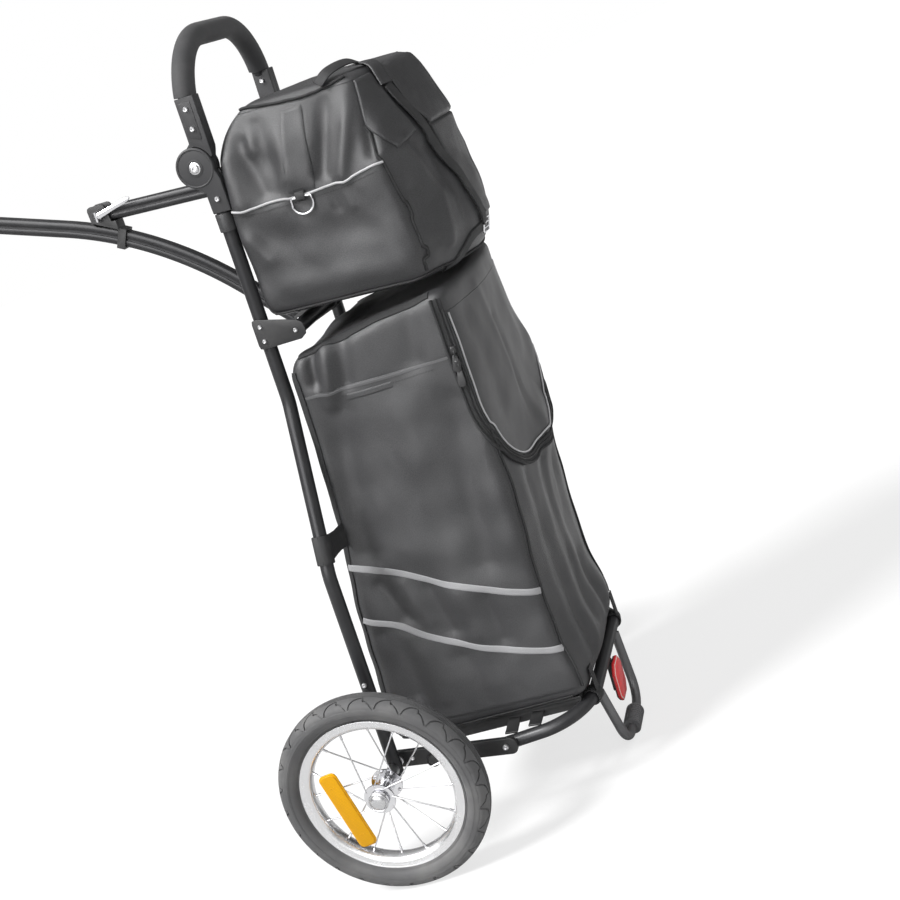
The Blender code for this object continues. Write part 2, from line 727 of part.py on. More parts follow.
def make_platform(trailer):
    """The side bars, the lower cross tube, the U tube behind them, and the board with its cross strips."""
    bar_in = PLATFORM_HALF_WIDTH + TUBE_RADIUS + GAP
    half = BAR_HEIGHT / 2
    drop = platform_z(BAR_END_Y)
    for name, side in SIDES.items():
        outline = rounded_outline(
            [
                (BAR_FRONT_Y, half),
                (BAR_FRONT_Y, -half),
                (BAR_END_Y, drop - half),
                (BAR_END_Y, drop + half),
            ],
            BAR_CORNER,
        )
        inner, outer = side * bar_in, side * (bar_in + BAR_THICKNESS)
        bar = prism(outline, inner, outer)
        past = side * CUT_PAST
        cut(
            bar,
            rod(inner - past, outer + past, 0.0, 0.0, AXLE_RADIUS + GAP, 16),
            rod(inner - past, outer + past, LOWER_CROSS_Y, LOWER_CROSS_Z, TUBE_RADIUS + GAP, 16),
        )
        settle(bar, f"{name}_side_bar", "black_steel", trailer)

    end = bar_in + BAR_THICKNESS + CROSS_TUBE_STUB
    ends = [Vector((x, LOWER_CROSS_Y, LOWER_CROSS_Z)) for x in (-end, end)]
    settle(tube(ends, Vector((0.0, 1.0, 0.0))), "lower_cross_tube", "frame_grey", trailer)

    width = PLATFORM_HALF_WIDTH
    path = rounded(
        [
            Vector((-width, PLATFORM_FRONT_Y, platform_z(PLATFORM_FRONT_Y))),
            Vector((-width, PLATFORM_REAR_Y, PLATFORM_REAR_Z)),
            Vector((width, PLATFORM_REAR_Y, PLATFORM_REAR_Z)),
            Vector((width, PLATFORM_FRONT_Y, platform_z(PLATFORM_FRONT_Y))),
        ],
        PLATFORM_BEND,
        steps=5,
    )
    settle(tube(path, PLATFORM_UP), "platform_tube", "frame_grey", trailer)

    under = TUBE_RADIUS + GAP
    corners = [
        board_point(BOARD_FRONT_Y, under),
        board_point(BOARD_REAR_Y, under),
        board_point(BOARD_REAR_Y, under + BOARD_THICKNESS),
        board_point(BOARD_FRONT_Y, under + BOARD_THICKNESS),
    ]
    board = prism([(point.y, point.z) for point in corners], -BOARD_HALF_WIDTH, BOARD_HALF_WIDTH)
    settle(board, "base_board", "black_plastic", trailer)

    w, t = CROSS_STRIP_WIDTH / 2, CROSS_STRIP_THICKNESS / 2
    outline = [(-w, -t), (w, -t), (w, t), (-w, t)]
    for name, y in zip(("front", "rear"), CROSS_STRIP_Y):
        top = board_point(y, under).z - w * abs(BOARD_WAY.z) - GAP - t
        tube_top = platform_z(y) + TUBE_RADIUS / PLATFORM_UP.z + w * PLATFORM_SLOPE
        seat = min(tube_top + GAP + t, top)
        inner = BOARD_HALF_WIDTH - CROSS_STRIP_LAP
        line = [
            Vector((-width, y, seat)),
            Vector((-width + CROSS_STRIP_FOOT, y, seat)),
            Vector((-inner, y, top)),
            Vector((inner, y, top)),
            Vector((width - CROSS_STRIP_FOOT, y, seat)),
            Vector((width, y, seat)),
        ]
        strip = sweep(line, Vector((0.0, 1.0, 0.0)), outline)
        settle(strip, f"{name}_cross_strip", "black_steel", trailer)


def make_foot_loop(trailer):
    """The loop that the trailer stands on, with its clip, and the red reflector on its stay."""
    height = PLATFORM_REAR_Z - LOOP_FOOT_Z
    start_z = PLATFORM_REAR_Z - TUBE_RADIUS - GAP - LOOP_RADIUS * (LOOP_TOP_X - LOOP_FOOT_X) / height
    share = (start_z - LOOP_FOOT_Z) / height
    start_y = LOOP_FOOT_Y + (PLATFORM_REAR_Y - LOOP_FOOT_Y) * share
    plane = Vector((0.0, LOOP_FOOT_Z - start_z, -(LOOP_FOOT_Y - start_y))).normalized()
    path = rounded(
        [
            Vector((-LOOP_TOP_X, start_y, start_z)),
            Vector((-LOOP_FOOT_X, LOOP_FOOT_Y, LOOP_FOOT_Z)),
            Vector((LOOP_FOOT_X, LOOP_FOOT_Y, LOOP_FOOT_Z)),
            Vector((LOOP_TOP_X, start_y, start_z)),
        ],
        LOOP_BEND,
        steps=5,
    )
    settle(tube(path, plane, LOOP_RADIUS), "foot_loop", "frame_grey", trailer)

    outer = [(u, max(v, -CLIP_DROP)) for u, v in circle(CLIP_DROP + CLIP_SWELL)]
    clip = sweep(
        [Vector((-CLIP_HALF_WIDTH, 0.0, 0.0)), Vector((CLIP_HALF_WIDTH, 0.0, 0.0))],
        Vector((0.0, 1.0, 0.0)),
        outer,
        circle(LOOP_RADIUS + GAP),
    )
    middle = Vector((0.0, LOOP_FOOT_Y, LOOP_FOOT_Z))
    clip.data.transform(Matrix.Translation(middle) @ Matrix.Rotation(-LEAN, 4, "X"))
    settle(clip, "foot_clip", "casting_grey", trailer)

    w, h, c = REAR_REFLECTOR_WIDTH / 2, REAR_REFLECTOR_HEIGHT, REAR_REFLECTOR_CHAMFER
    top = REAR_REFLECTOR_TOP_Z
    stay_back = PLATFORM_REAR_Y - STAY_THICKNESS
    stay_top = PLATFORM_REAR_Z - TUBE_RADIUS - GAP
    stay = box(
        (-STAY_WIDTH / 2, stay_back, stay_top - STAY_LENGTH),
        (STAY_WIDTH / 2, PLATFORM_REAR_Y, stay_top),
    )
    settle(stay, "reflector_stay", "black_plastic", trailer)
    outline = [
        (-w + c, top - h), (w - c, top - h), (w, top - h + c), (w, top - c),
        (w - c, top), (-w + c, top), (-w, top - c), (-w, top - h + c),
    ]
    lens = prism(outline, stay_back - GAP - REAR_REFLECTOR_DEPTH, stay_back - GAP, "y")
    settle(lens, "rear_reflector", "red_reflector", trailer)


def hinge_disc(start_x, end_x, radius, sides=20):
    """A round block on the handle's hinge axis."""
    return rod(start_x, end_x, HINGE_Y, HINGE_Z, radius, sides)


def make_hinges(trailer, handle_axis):
    """The handle's two hinges: a bracket on each rail, a leg casting above it, and the bolt through both."""
    spigot = circle(TUBE_RADIUS - TUBE_WALL - GAP)
    bore = HINGE_BOLT_RADIUS + GAP
    clear = HINGE_DISC_RADIUS + CUT_PAST
    for name, side in SIDES.items():
        centre = side * RAIL_TOP_X
        inner, outer = centre - side * CASTING_HALF_WIDTH, centre + side * CASTING_HALF_WIDTH
        past = side * CUT_PAST

        split = centre + side * GAP / 2
        bracket_top = HINGE_Z - CASTING_LAP
        bracket = box((inner, CASTING_BACK_Y, CASTING_FOOT_Z), (outer, CASTING_FRONT_Y, bracket_top))
        join(bracket, hinge_disc(split, outer, HINGE_DISC_RADIUS))
        cut(bracket, hinge_disc(inner - past, split, clear))
        down = [(centre + u, v) for u, v in spigot]
        join(bracket, prism(down, CASTING_FOOT_Z - SPIGOT_LENGTH, CASTING_FOOT_Z + SPIGOT_ROOT, "z"))
        cut(bracket, hinge_disc(inner - past, outer + past, bore, 12))
        settle(bracket, f"{name}_hinge_bracket", "casting_grey", trailer)

        split = centre - side * GAP / 2
        leg = box((inner, CASTING_BACK_Y, HINGE_Z + CASTING_LAP), (outer, CASTING_FRONT_Y, CASTING_TOP_Z))
        join(leg, hinge_disc(inner, split, HINGE_DISC_RADIUS))
        cut(leg, hinge_disc(split, outer + past, clear))
        up = [
            Vector((centre, 0.0, CASTING_TOP_Z - SPIGOT_ROOT)),
            Vector((centre, 0.0, CASTING_TOP_Z)),
            Vector((centre, -HANDLE_TILT * SPIGOT_REACH, CASTING_TOP_Z + SPIGOT_REACH)),
        ]
        join(leg, sweep(up, Vector((1.0, 0.0, 0.0)), spigot))
        cut(leg, hinge_disc(inner - past, outer + past, bore, 12))
        settle(leg, f"{name}_handle_leg", "casting_grey", handle_axis)

        seat = side * GAP
        head = side * (GAP + BOLT_HEAD_HEIGHT)
        crown = side * (GAP + BOLT_HEAD_HEIGHT / 2)
        bolt = lathe(
            [
                (outer + head, BOLT_HEAD_CROWN_RADIUS),
                (outer + crown, BOLT_HEAD_RADIUS),
                (outer + seat, BOLT_HEAD_RADIUS),
                (outer + seat, HINGE_BOLT_RADIUS),
                (inner - seat, HINGE_BOLT_RADIUS),
                (inner - seat, BOLT_HEAD_RADIUS),
                (inner - head, BOLT_HEAD_RADIUS),
            ],
            12,
        )
        bolt.data.transform(Matrix.Translation(HINGE))
        settle(bolt, f"{name}_hinge_bolt", "bolt_steel", trailer)


def handle_path(radius):
    """The handle's middle line, started high enough for a tube of that radius to clear the castings."""
    foot = CASTING_TOP_Z + GAP + radius * HANDLE_TILT
    return rounded(
        [
            Vector((-RAIL_TOP_X, -(foot - CASTING_TOP_Z) * HANDLE_TILT, foot)),
            Vector((-RAIL_TOP_X, -HANDLE_SETBACK, HANDLE_TOP_Z)),
            Vector((RAIL_TOP_X, -HANDLE_SETBACK, HANDLE_TOP_Z)),
            Vector((RAIL_TOP_X, -(foot - CASTING_TOP_Z) * HANDLE_TILT, foot)),
        ],
        HANDLE_BEND,
        steps=5,
    )


def make_handle(handle_axis):
    """The arched handle tube and the foam grip over it."""
    plane = Vector((0.0, 1.0, HANDLE_TILT)).normalized()
    settle(tube(handle_path(TUBE_RADIUS), plane), "handle_tube", "frame_grey", handle_axis)
    grip = sweep(handle_path(GRIP_RADIUS), plane, circle(GRIP_RADIUS), circle(TUBE_RADIUS + GAP))
    settle(grip, "foam_grip", "grip_foam", handle_axis)


def make_cross_tubes(trailer):
    """The upper and middle cross tubes, and the plates that bolt the middle one to the rails."""
    reach = RAIL_TOP_X - CASTING_HALF_WIDTH - GAP
    ends = [Vector((x, 0.0, UPPER_CROSS_Z)) for x in (-reach, reach)]
    settle(tube(ends, Vector((0.0, 1.0, 0.0))), "upper_cross_tube", "frame_grey", trailer)
    plate_in = RAIL_TOP_X + TUBE_RADIUS + GAP
    reach = plate_in - GAP
    ends = [Vector((x, MID_CROSS_Y, MID_CROSS_Z)) for x in (-reach, reach)]
    settle(tube(ends, Vector((0.0, 1.0, 0.0))), "mid_cross_tube", "frame_grey", trailer)

    radius = PLATE_END_RADIUS
    back = MID_CROSS_Y - radius
    outline = rounded_outline(
        [
            (PLATE_FRONT_Y, PLATE_TOP_Z),
            (PLATE_FRONT_Y, PLATE_FOOT_Z),
            (back, MID_CROSS_Z - radius),
            (back, MID_CROSS_Z + radius),
        ],
        PLATE_CORNER,
    )
    for name, side in SIDES.items():
        plate = prism(outline, side * plate_in, side * (plate_in + PLATE_THICKNESS))
        settle(plate, f"{name}_mid_plate", "frame_grey", trailer)


def make_arm_bracket(trailer):
    """The clevis on the middle cross tube that carries the tow arm, and its pin."""
    ear_in = ARM_WIDTH / 2 + GAP
    ear_out = ear_in + PIVOT_EAR_THICKNESS
    collar_radius = TUBE_RADIUS + COLLAR_WALL
    bracket = rod(-ear_out, ear_out, MID_CROSS_Y, MID_CROSS_Z, collar_radius, 16)
    start = Vector((MID_CROSS_Y, MID_CROSS_Z))
    pivot = Vector((ARM_PIVOT_Y, ARM_PIVOT_Z))
    way = (pivot - start).normalized()
    beside = Vector((-way.y, way.x))
    outline = [start + beside * (collar_radius - CUT_PAST)]
    for step in range(EAR_STEPS + 1):
        turn = math.pi * (0.5 - step / EAR_STEPS)
        outline.append(pivot + (way * math.cos(turn) + beside * math.sin(turn)) * PIVOT_EAR_RADIUS)
    outline.append(start - beside * (collar_radius - CUT_PAST))
    for side in SIDES.values():
        join(bracket, prism([tuple(point) for point in outline], side * ear_in, side * ear_out))
    reach = ear_out + CUT_PAST
    cut(
        bracket,
        rod(-reach, reach, MID_CROSS_Y, MID_CROSS_Z, TUBE_RADIUS + GAP, 16),
        rod(-reach, reach, ARM_PIVOT_Y, ARM_PIVOT_Z, PIVOT_PIN_RADIUS + GAP),
    )
    settle(bracket, "arm_bracket", "black_steel", trailer)
    pin = pin_along_x(ear_out, PIVOT_PIN_RADIUS, PIVOT_PIN_RADIUS + PIN_HEAD_LIP)
    pin.data.transform(Matrix.Translation(ARM_PIVOT))
    settle(pin, "arm_pivot_pin", "bolt_steel", trailer)


def pin_along_x(reach, radius, head_radius):
    """A headed pin through ears that end at reach on both sides."""
    seat = reach + GAP
    head = seat + PIN_HEAD_HEIGHT
    half = [(seat, radius), (seat, head_radius), (head, head_radius)]
    return lathe([(-x, r) for x, r in reversed(half)] + half, 12)


def make_strut(strut_axis):
    """The upper strut: a collar on the upper cross tube, and a bar with an open slot at its end."""
    start = STRUT_PIVOT + STRUT_WAY * (TUBE_RADIUS + COLLAR_WALL / 2)
    end = STRUT_PIVOT + STRUT_WAY * (STRUT_END_Y / STRUT_WAY.y)
    strut = sweep([start, end], Vector((1.0, 0.0, 0.0)), grooved(STRUT_WIDTH, STRUT_DEPTH))
    half = STRUT_WIDTH / 2
    past = half + CUT_PAST
    join(strut, rod(-half, half, 0.0, UPPER_CROSS_Z, TUBE_RADIUS + COLLAR_WALL, 20))
    cut(strut, rod(-past, past, 0.0, UPPER_CROSS_Z, TUBE_RADIUS + GAP, 20))
    up = Vector((0.0, -STRUT_WAY.z, STRUT_WAY.y))
    back = SKEWER - STRUT_WAY * (SKEWER_RADIUS + STRUT_SLOT_SLACK)
    front = end + STRUT_WAY * STRUT_SLOT_HALF
    corners = [
        back - up * STRUT_SLOT_HALF, front - up * STRUT_SLOT_HALF,
        front + up * STRUT_SLOT_HALF, back + up * STRUT_SLOT_HALF,
    ]
    cut(strut, prism([(point.y, point.z) for point in corners], -past, past))
    settle(strut, "upper_strut", "frame_grey", strut_axis)


def make_arm(arm_axis):
    """The tow arm, with a round eye at each end."""
    arm = sweep(ARM_PATH, Vector((1.0, 0.0, 0.0)), grooved(ARM_WIDTH, ARM_DEPTH))
    half = ARM_WIDTH / 2
    join(
        arm,
        rod(-half, half, ARM_PIVOT.y, ARM_PIVOT.z, ARM_DEPTH / 2, 20),
        rod(-half, half, PITCH_PIVOT.y, PITCH_PIVOT.z, ARM_DEPTH / 2, 20),
    )
    for pivot, radius in ((ARM_PIVOT, PIVOT_PIN_RADIUS), (PITCH_PIVOT, YOKE_PIN_RADIUS)):
        cut(arm, rod(-half - CUT_PAST, half + CUT_PAST, pivot.y, pivot.z, radius + GAP))
    settle(arm, "tow_arm", "frame_grey", arm_axis)


def strut_z(y):
    """The height of the strut's middle line at y."""
    return UPPER_CROSS_Z + y * STRUT_WAY.z / STRUT_WAY.y


def over_arm(y, lift=0.0):
    """A point that far above the clearance over the tow arm's top at y, as a (y, z) pair."""
    middle, way = arm_at(y)
    return (y, middle.z + (ARM_DEPTH / 2 + GAP) / way.y + lift)


def make_clamp(arm_axis, lever_axis):
    """The clamp on the arm: its band and ears, the skewer through the strut's slot, and the cam lever."""
    middle, way = arm_at(CLAMP_BAND_Y)
    reach = way * (CLAMP_BAND_LENGTH / 2)
    w, d = ARM_WIDTH / 2 + GAP, ARM_DEPTH / 2 + GAP
    wide, deep = w + CLAMP_BAND_WALL, d + CLAMP_BAND_WALL
    inner = [(w, d), (-w, d), (-w, -d), (w, -d)]
    outer = [(wide, deep), (-wide, deep), (-wide, -deep), (wide, -deep)]
    clamp = sweep([middle - reach, middle + reach], Vector((1.0, 0.0, 0.0)), outer, inner)

    ear_in = STRUT_WIDTH / 2 + GAP
    ear_out = ear_in + CLAMP_EAR_THICKNESS
    rear, front = CLAMP_REAR_Y, CLAMP_FRONT_Y
    step = STRUT_END_Y + STRUT_SLOT_SLACK / 2
    lift = (STRUT_DEPTH / 2 + GAP) / STRUT_WAY.y
    seat = max(strut_z(front) - lift, over_arm(front, CLAMP_BAND_WALL)[1])
    wedge = [
        over_arm(rear, CUT_PAST / 2),
        over_arm(front, CUT_PAST / 2),
        (front, seat),
        (step, seat),
        (step, strut_z(step) - lift),
        (rear, strut_z(rear) - lift),
    ]
    join(clamp, prism(wedge, -ear_out, ear_out))
    ear = rounded_outline(
        [
            over_arm(rear + CLAMP_EAR_SLANT / 2, CLAMP_EAR_THICKNESS),
            over_arm(front - CUT_PAST, CUT_PAST),
            (front, CLAMP_TOP_Z),
            (rear + CLAMP_EAR_SLANT, CLAMP_TOP_Z),
        ],
        CLAMP_EAR_CORNER,
    )
    for side in SIDES.values():
        join(clamp, prism(ear, side * ear_in, side * ear_out))
    past = ear_out + CUT_PAST
    cut(clamp, rod(-past, past, SKEWER.y, SKEWER.z, SKEWER_RADIUS + GAP))
    settle(clamp, "strut_clamp", "black_plastic", arm_axis)

    nut = ear_out + GAP
    skewer = lathe(
        [
            (-nut - SKEWER_SEAT, SKEWER_SEAT_RADIUS),
            (-nut, SKEWER_SEAT_RADIUS),
            (-nut, SKEWER_RADIUS),
            (nut, SKEWER_RADIUS),
            (nut, SKEWER_NUT_RADIUS),
            (nut + 0.6 * SKEWER_NUT_HEIGHT, SKEWER_NUT_RADIUS),
            (nut + SKEWER_NUT_HEIGHT, 0.45 * SKEWER_NUT_RADIUS),
        ],
        12,
    )
    skewer.data.transform(Matrix.Translation(SKEWER))
    settle(skewer, "clamp_skewer", "bolt_steel", arm_axis)

    head_x = lever_x()
    head_outline = [(head_x + u, SKEWER.y + v) for u, v in circle(LEVER_HEAD_THICKNESS / 2, 12)]
    head = prism(head_outline, SKEWER.z - LEVER_HEAD_RADIUS, SKEWER.z + LEVER_HEAD_RADIUS, "z")
    root = SKEWER + Vector((head_x, 0.0, 0.0))
    tip = root + Vector((0.0, -LEVER_LENGTH, LEVER_RISE))
    t, d = LEVER_THICKNESS / 2, LEVER_DEPTH / 2
    half = [(t, -d / 2), (t, d / 2), (t / 2, d)]
    outline = half + [(-t / 2, d), (-t, d / 2), (-t, -d / 2), (-t / 2, -d), (t / 2, -d)]
    join(head, sweep([root, tip], Vector((1.0, 0.0, 0.0)), outline))
    settle(head, "clamp_lever", "chrome", lever_axis)


def lever_x():
    """Where the lever's axis stands, outside the skewer's seat."""
    seat = STRUT_WIDTH / 2 + GAP + CLAMP_EAR_THICKNESS + GAP + SKEWER_SEAT
    return -(seat + GAP + LEVER_HEAD_THICKNESS / 2)


def round_block(y, low, high, radius, sides=12, x=0.0):
    """An upright round block that stands at y between two heights."""
    return prism([(x + u, y + v) for u, v in circle(radius, sides)], low, high, "z")


def make_hitch(arm_axis, pitch_axis, yaw_axis):
    """The hitch: a yoke that pitches on the arm's end, and a seat-post clamp that turns on the yoke."""
    ear_in = ARM_WIDTH / 2 + GAP
    ear_out = ear_in + PIVOT_EAR_THICKNESS
    eye = ARM_DEPTH / 2 + YOKE_THROAT
    half = YOKE_EYE_RADIUS
    pin_bore = YOKE_PIN_RADIUS + GAP
    y, z = PITCH_PIVOT.y, PITCH_PIVOT.z
    yoke = box((-ear_out, y + eye, z - half), (ear_out, YAW_PIVOT.y, z + half))
    join(yoke, round_block(YAW_PIVOT.y, z - half, z + half, YOKE_BLOCK_RADIUS))
    for side in SIDES.values():
        inner, outer = side * ear_in, side * ear_out
        join(
            yoke,
            rod(inner, outer, y, z, YOKE_EYE_RADIUS, 12),
            box((inner, y, z - half), (outer, y + eye + CUT_PAST, z + half)),
        )
    past = half + CUT_PAST
    cut(
        yoke,
        rod(-ear_out - CUT_PAST, ear_out + CUT_PAST, y, z, pin_bore),
        round_block(YAW_PIVOT.y, z - past, z + past, pin_bore),
    )
    settle(yoke, "hitch_yoke", "black_steel", pitch_axis)
    pin = pin_along_x(ear_out, YOKE_PIN_RADIUS, YOKE_PIN_RADIUS + PIN_HEAD_LIP)
    pin.data.transform(Matrix.Translation(PITCH_PIVOT))
    settle(pin, "hitch_pitch_pin", "bolt_steel", pitch_axis)

    fork_in = half + GAP
    fork_out = fork_in + FORK_THICKNESS
    high = POST_CLAMP_HEIGHT / 2
    outer = POST_RADIUS + POST_CLAMP_WALL
    flange = outer + POST_LUG_REACH
    bolt_x = outer + POST_LUG_REACH / 2
    lug, lug_high = POST_LUG_WIDTH / 2, POST_LUG_HEIGHT / 2
    post_y = POST_CENTRE.y
    clamp = round_block(post_y, z - high, z + high, outer, 16)
    join(clamp, box((-flange, post_y - lug, z - lug_high), (flange, post_y + lug, z + lug_high)))
    fork_end = post_y - POST_RADIUS / 2
    for side in SIDES.values():
        inner, edge = z + side * fork_in, z + side * fork_out
        join(
            clamp,
            round_block(YAW_PIVOT.y, inner, edge, YOKE_BLOCK_RADIUS),
            box((-YOKE_BLOCK_RADIUS, YAW_PIVOT.y, inner), (YOKE_BLOCK_RADIUS, fork_end, edge)),
        )
    past = high + CUT_PAST
    cut(
        clamp,
        round_block(post_y, z - past, z + past, POST_RADIUS, 16),
        round_block(YAW_PIVOT.y, z - past, z + past, pin_bore),
    )
    bolts = []
    for side in SIDES.values():
        hole = [(side * bolt_x + u, z + v) for u, v in circle(SKEWER_RADIUS + GAP)]
        cut(clamp, prism(hole, post_y - 2 * lug, post_y + 2 * lug, "y"))
        place = Vector((side * bolt_x, post_y - 2 * GAP, z))
        bolt = pin_along_x(lug, SKEWER_RADIUS, SKEWER_RADIUS + PIN_HEAD_LIP / 2)
        bolt.data.transform(Matrix.Translation(place) @ Matrix.Rotation(math.pi / 2, 4, "Z"))
        bolts.append(bolt)
    cap = clamp.copy()
    cap.data = clamp.data.copy()
    bpy.context.collection.objects.link(cap)
    far = 3 * flange
    cut(clamp, box((-far, post_y - POST_SLIT / 2, z - far), (far, post_y + far, z + far)))
    cut(cap, box((-far, post_y - far, z - far), (far, post_y + POST_SLIT / 2, z + far)))
    join(cap, *bolts)
    settle(clamp, "seat_post_clamp", "black_plastic", yaw_axis)
    settle(cap, "seat_post_cap", "black_plastic", yaw_axis)
    pin = pin_along_x(fork_out, YOKE_PIN_RADIUS, YOKE_PIN_RADIUS + PIN_HEAD_LIP)
    pin.data.transform(Matrix.Translation(YAW_PIVOT) @ Matrix.Rotation(math.pi / 2, 4, "Y"))
    settle(pin, "hitch_yaw_pin", "bolt_steel", yaw_axis)


def lower_bag_corners(bulge, shrink):
    """The lower bag's side outline, as (y, z) corners, moved in by shrink."""
    lift = TUBE_RADIUS + GAP + BOARD_THICKNESS + GAP
    front = board_point(BAG_FRONT_FOOT_Y, lift)
    rear = board_point(BAG_REAR_FOOT_Y - bulge, lift)
    corners = [
        (front.y, front.z),
        BAG_FRONT_TOP,
        (BAG_REAR_TOP[0] - bulge, BAG_REAR_TOP[1]),
        (rear.y, rear.z),
    ]
    return inset(corners, shrink) if shrink else corners


def upper_bag_corners(bulge, shrink):
    """The upper bag's side outline, as (y, z) corners, moved in by shrink."""
    corners = [
        (UPPER_FRONT_FOOT_Y, UPPER_FOOT_Z),
        (UPPER_FRONT_TOP_Y, UPPER_TOP_Z),
        (UPPER_REAR_TOP_Y - 0.6 * bulge, UPPER_TOP_Z),
        (UPPER_REAR_HIGH[0] - bulge, UPPER_REAR_HIGH[1]),
        (UPPER_REAR_LOW[0] - bulge, UPPER_REAR_LOW[1]),
        (UPPER_REAR_FOOT_Y - 0.9 * bulge, UPPER_FOOT_Z),
    ]
    return inset(corners, shrink) if shrink else corners


def pillow(corners_of, half_width, bulge, corner, shrink=0.0):
    """A bag's outer form, or its inner one where shrink is the wall: round at the sides, full at the back."""
    width = half_width - shrink
    stations = [(1.0 - drawn / width, tuck) for drawn, tuck in BAG_SIDE_ROUND]
    stations += [(0.62, 0.0), (0.31, 0.0), (0.0, 0.0)]
    stations += [(-share, tuck) for share, tuck in reversed(stations[:-1])]
    sections = []
    for share, tuck in stations:
        fullness = bulge * (1.0 - share * share)
        outline = rounded_outline(corners_of(fullness, shrink + tuck), max(corner - shrink, FABRIC))
        sections.append([(share * width, y, z) for y, z in outline])
    return loft(sections)


def lower_bag_form(shrink=0.0):
    """The lower bag's outer form, or its inner one where shrink is the wall."""
    return pillow(lower_bag_corners, BAG_HALF_WIDTH, BAG_REAR_BULGE, BAG_CORNER, shrink)


def flap_cutter(margin):
    """A prism with the flap's outline, round at its lower corners and smaller by that margin."""
    w = FLAP_HALF_WIDTH - margin
    low = FLAP_FOOT_Z + margin
    radius = FLAP_CORNER - margin
    outline = [(-w, FLAP_TOP_Z - margin), (w, FLAP_TOP_Z - margin)]
    for start, centre_x in ((0.0, w - radius), (-math.pi / 2, radius - w)):
        for step in range(FLAP_CORNER_STEPS + 1):
            angle = start - math.pi / 2 * step / FLAP_CORNER_STEPS
            outline.append((centre_x + radius * math.cos(angle), low + radius + radius * math.sin(angle)))
    behind = BAG_REAR_FOOT_Y - 4 * BAG_REAR_BULGE
    return prism(outline, behind, BAG_REAR_TOP[0] + 4 * FABRIC, "y")


def make_lower_bag(trailer, flap_axis):
    """The tall lower bag, open at the back under its flap."""
    bag = cut(lower_bag_form(), lower_bag_form(FABRIC), flap_cutter(0.0))
    settle(bag, "lower_bag", "bag_fabric", trailer)
    flap = combine(lower_bag_form(), flap_cutter(2 * GAP), "INTERSECT")
    cut(flap, lower_bag_form(FABRIC))
    settle(flap, "lower_flap", "bag_fabric", flap_axis)


def flap_axis_place():
    """The lower flap's hinge line, on the outside of the bag along the flap's top edge."""
    share = (BAG_REAR_TOP[1] - FLAP_TOP_Z) / (BAG_REAR_TOP[1] - PLATFORM_REAR_Z)
    y = BAG_REAR_TOP[0] + (BAG_REAR_FOOT_Y - BAG_REAR_TOP[0]) * share - BAG_REAR_BULGE
    return Vector((0.0, y - GAP, FLAP_TOP_Z - GAP))


def lid_axis_place():
    """The lid's hinge line, on the outside of the upper bag's front at the lid's seam."""
    share = (LID_SEAM_Z - UPPER_FOOT_Z) / (UPPER_TOP_Z - UPPER_FOOT_Z)
    y = UPPER_FRONT_FOOT_Y + (UPPER_FRONT_TOP_Y - UPPER_FRONT_FOOT_Y) * share
    return Vector((0.0, y + GAP, LID_SEAM_Z))


def upper_bag_form(shrink=0.0):
    """The upper bag's outer form, or its inner one where shrink is the wall."""
    return pillow(upper_bag_corners, UPPER_HALF_WIDTH, UPPER_REAR_BULGE, UPPER_CORNER, shrink)


def make_upper_bag(trailer, lid_axis):
    """The upper bag, open at the top under its lid."""
    far = 2 * UPPER_TOP_Z
    tabs = [make(side) for side in SIDES.values() for make in (rail_tab, ring_tab)]
    bag = cut(
        join(upper_bag_form(), *tabs),
        upper_bag_form(FABRIC),
        box((-far, -far, LID_SEAM_Z), (far, far, far)),
    )
    settle(bag, "upper_bag", "bag_fabric", trailer)
    over_seam = box((-far, -far, LID_SEAM_Z + 2 * GAP), (far, far, far))
    lid = combine(upper_bag_form(), over_seam, "INTERSECT")
    cut(lid, upper_bag_form(FABRIC))
    settle(lid, "upper_lid", "bag_fabric", lid_axis)


def rail_tab(side):
    """The tab that ties the upper bag to a rail: a loop round the tube and a tail sewn to the bag."""
    half = UPPER_STRAP_HEIGHT / 2
    middle = CASTING_FOOT_Z - UPPER_STRAP_DROP - half
    bore = TUBE_RADIUS + 2 * GAP
    way = Vector((0.0, 1.0, 0.0))
    centre = Vector((side * RAIL_TOP_X, 0.0, middle))
    reach = Vector((0.0, 0.0, half))
    share = (middle - UPPER_FOOT_Z) / (UPPER_TOP_Z - UPPER_FOOT_Z)
    front = UPPER_FRONT_FOOT_Y + (UPPER_FRONT_TOP_Y - UPPER_FRONT_FOOT_Y) * share
    loop = sweep([centre - reach, centre + reach], way, circle(bore + STRAP_THICKNESS), circle(bore))
    x = side * (RAIL_TOP_X - STRAP_TAIL_INSET)
    tail = box(
        (x - STRAP_THICKNESS / 2, front - 0.5 * UPPER_CORNER, middle - half),
        (x + STRAP_THICKNESS / 2, -0.75 * bore, middle + half),
    )
    cut(tail, sweep([centre - 3 * reach, centre + 3 * reach], way, circle(bore + STRAP_THICKNESS / 2)))
    return join(loop, tail)


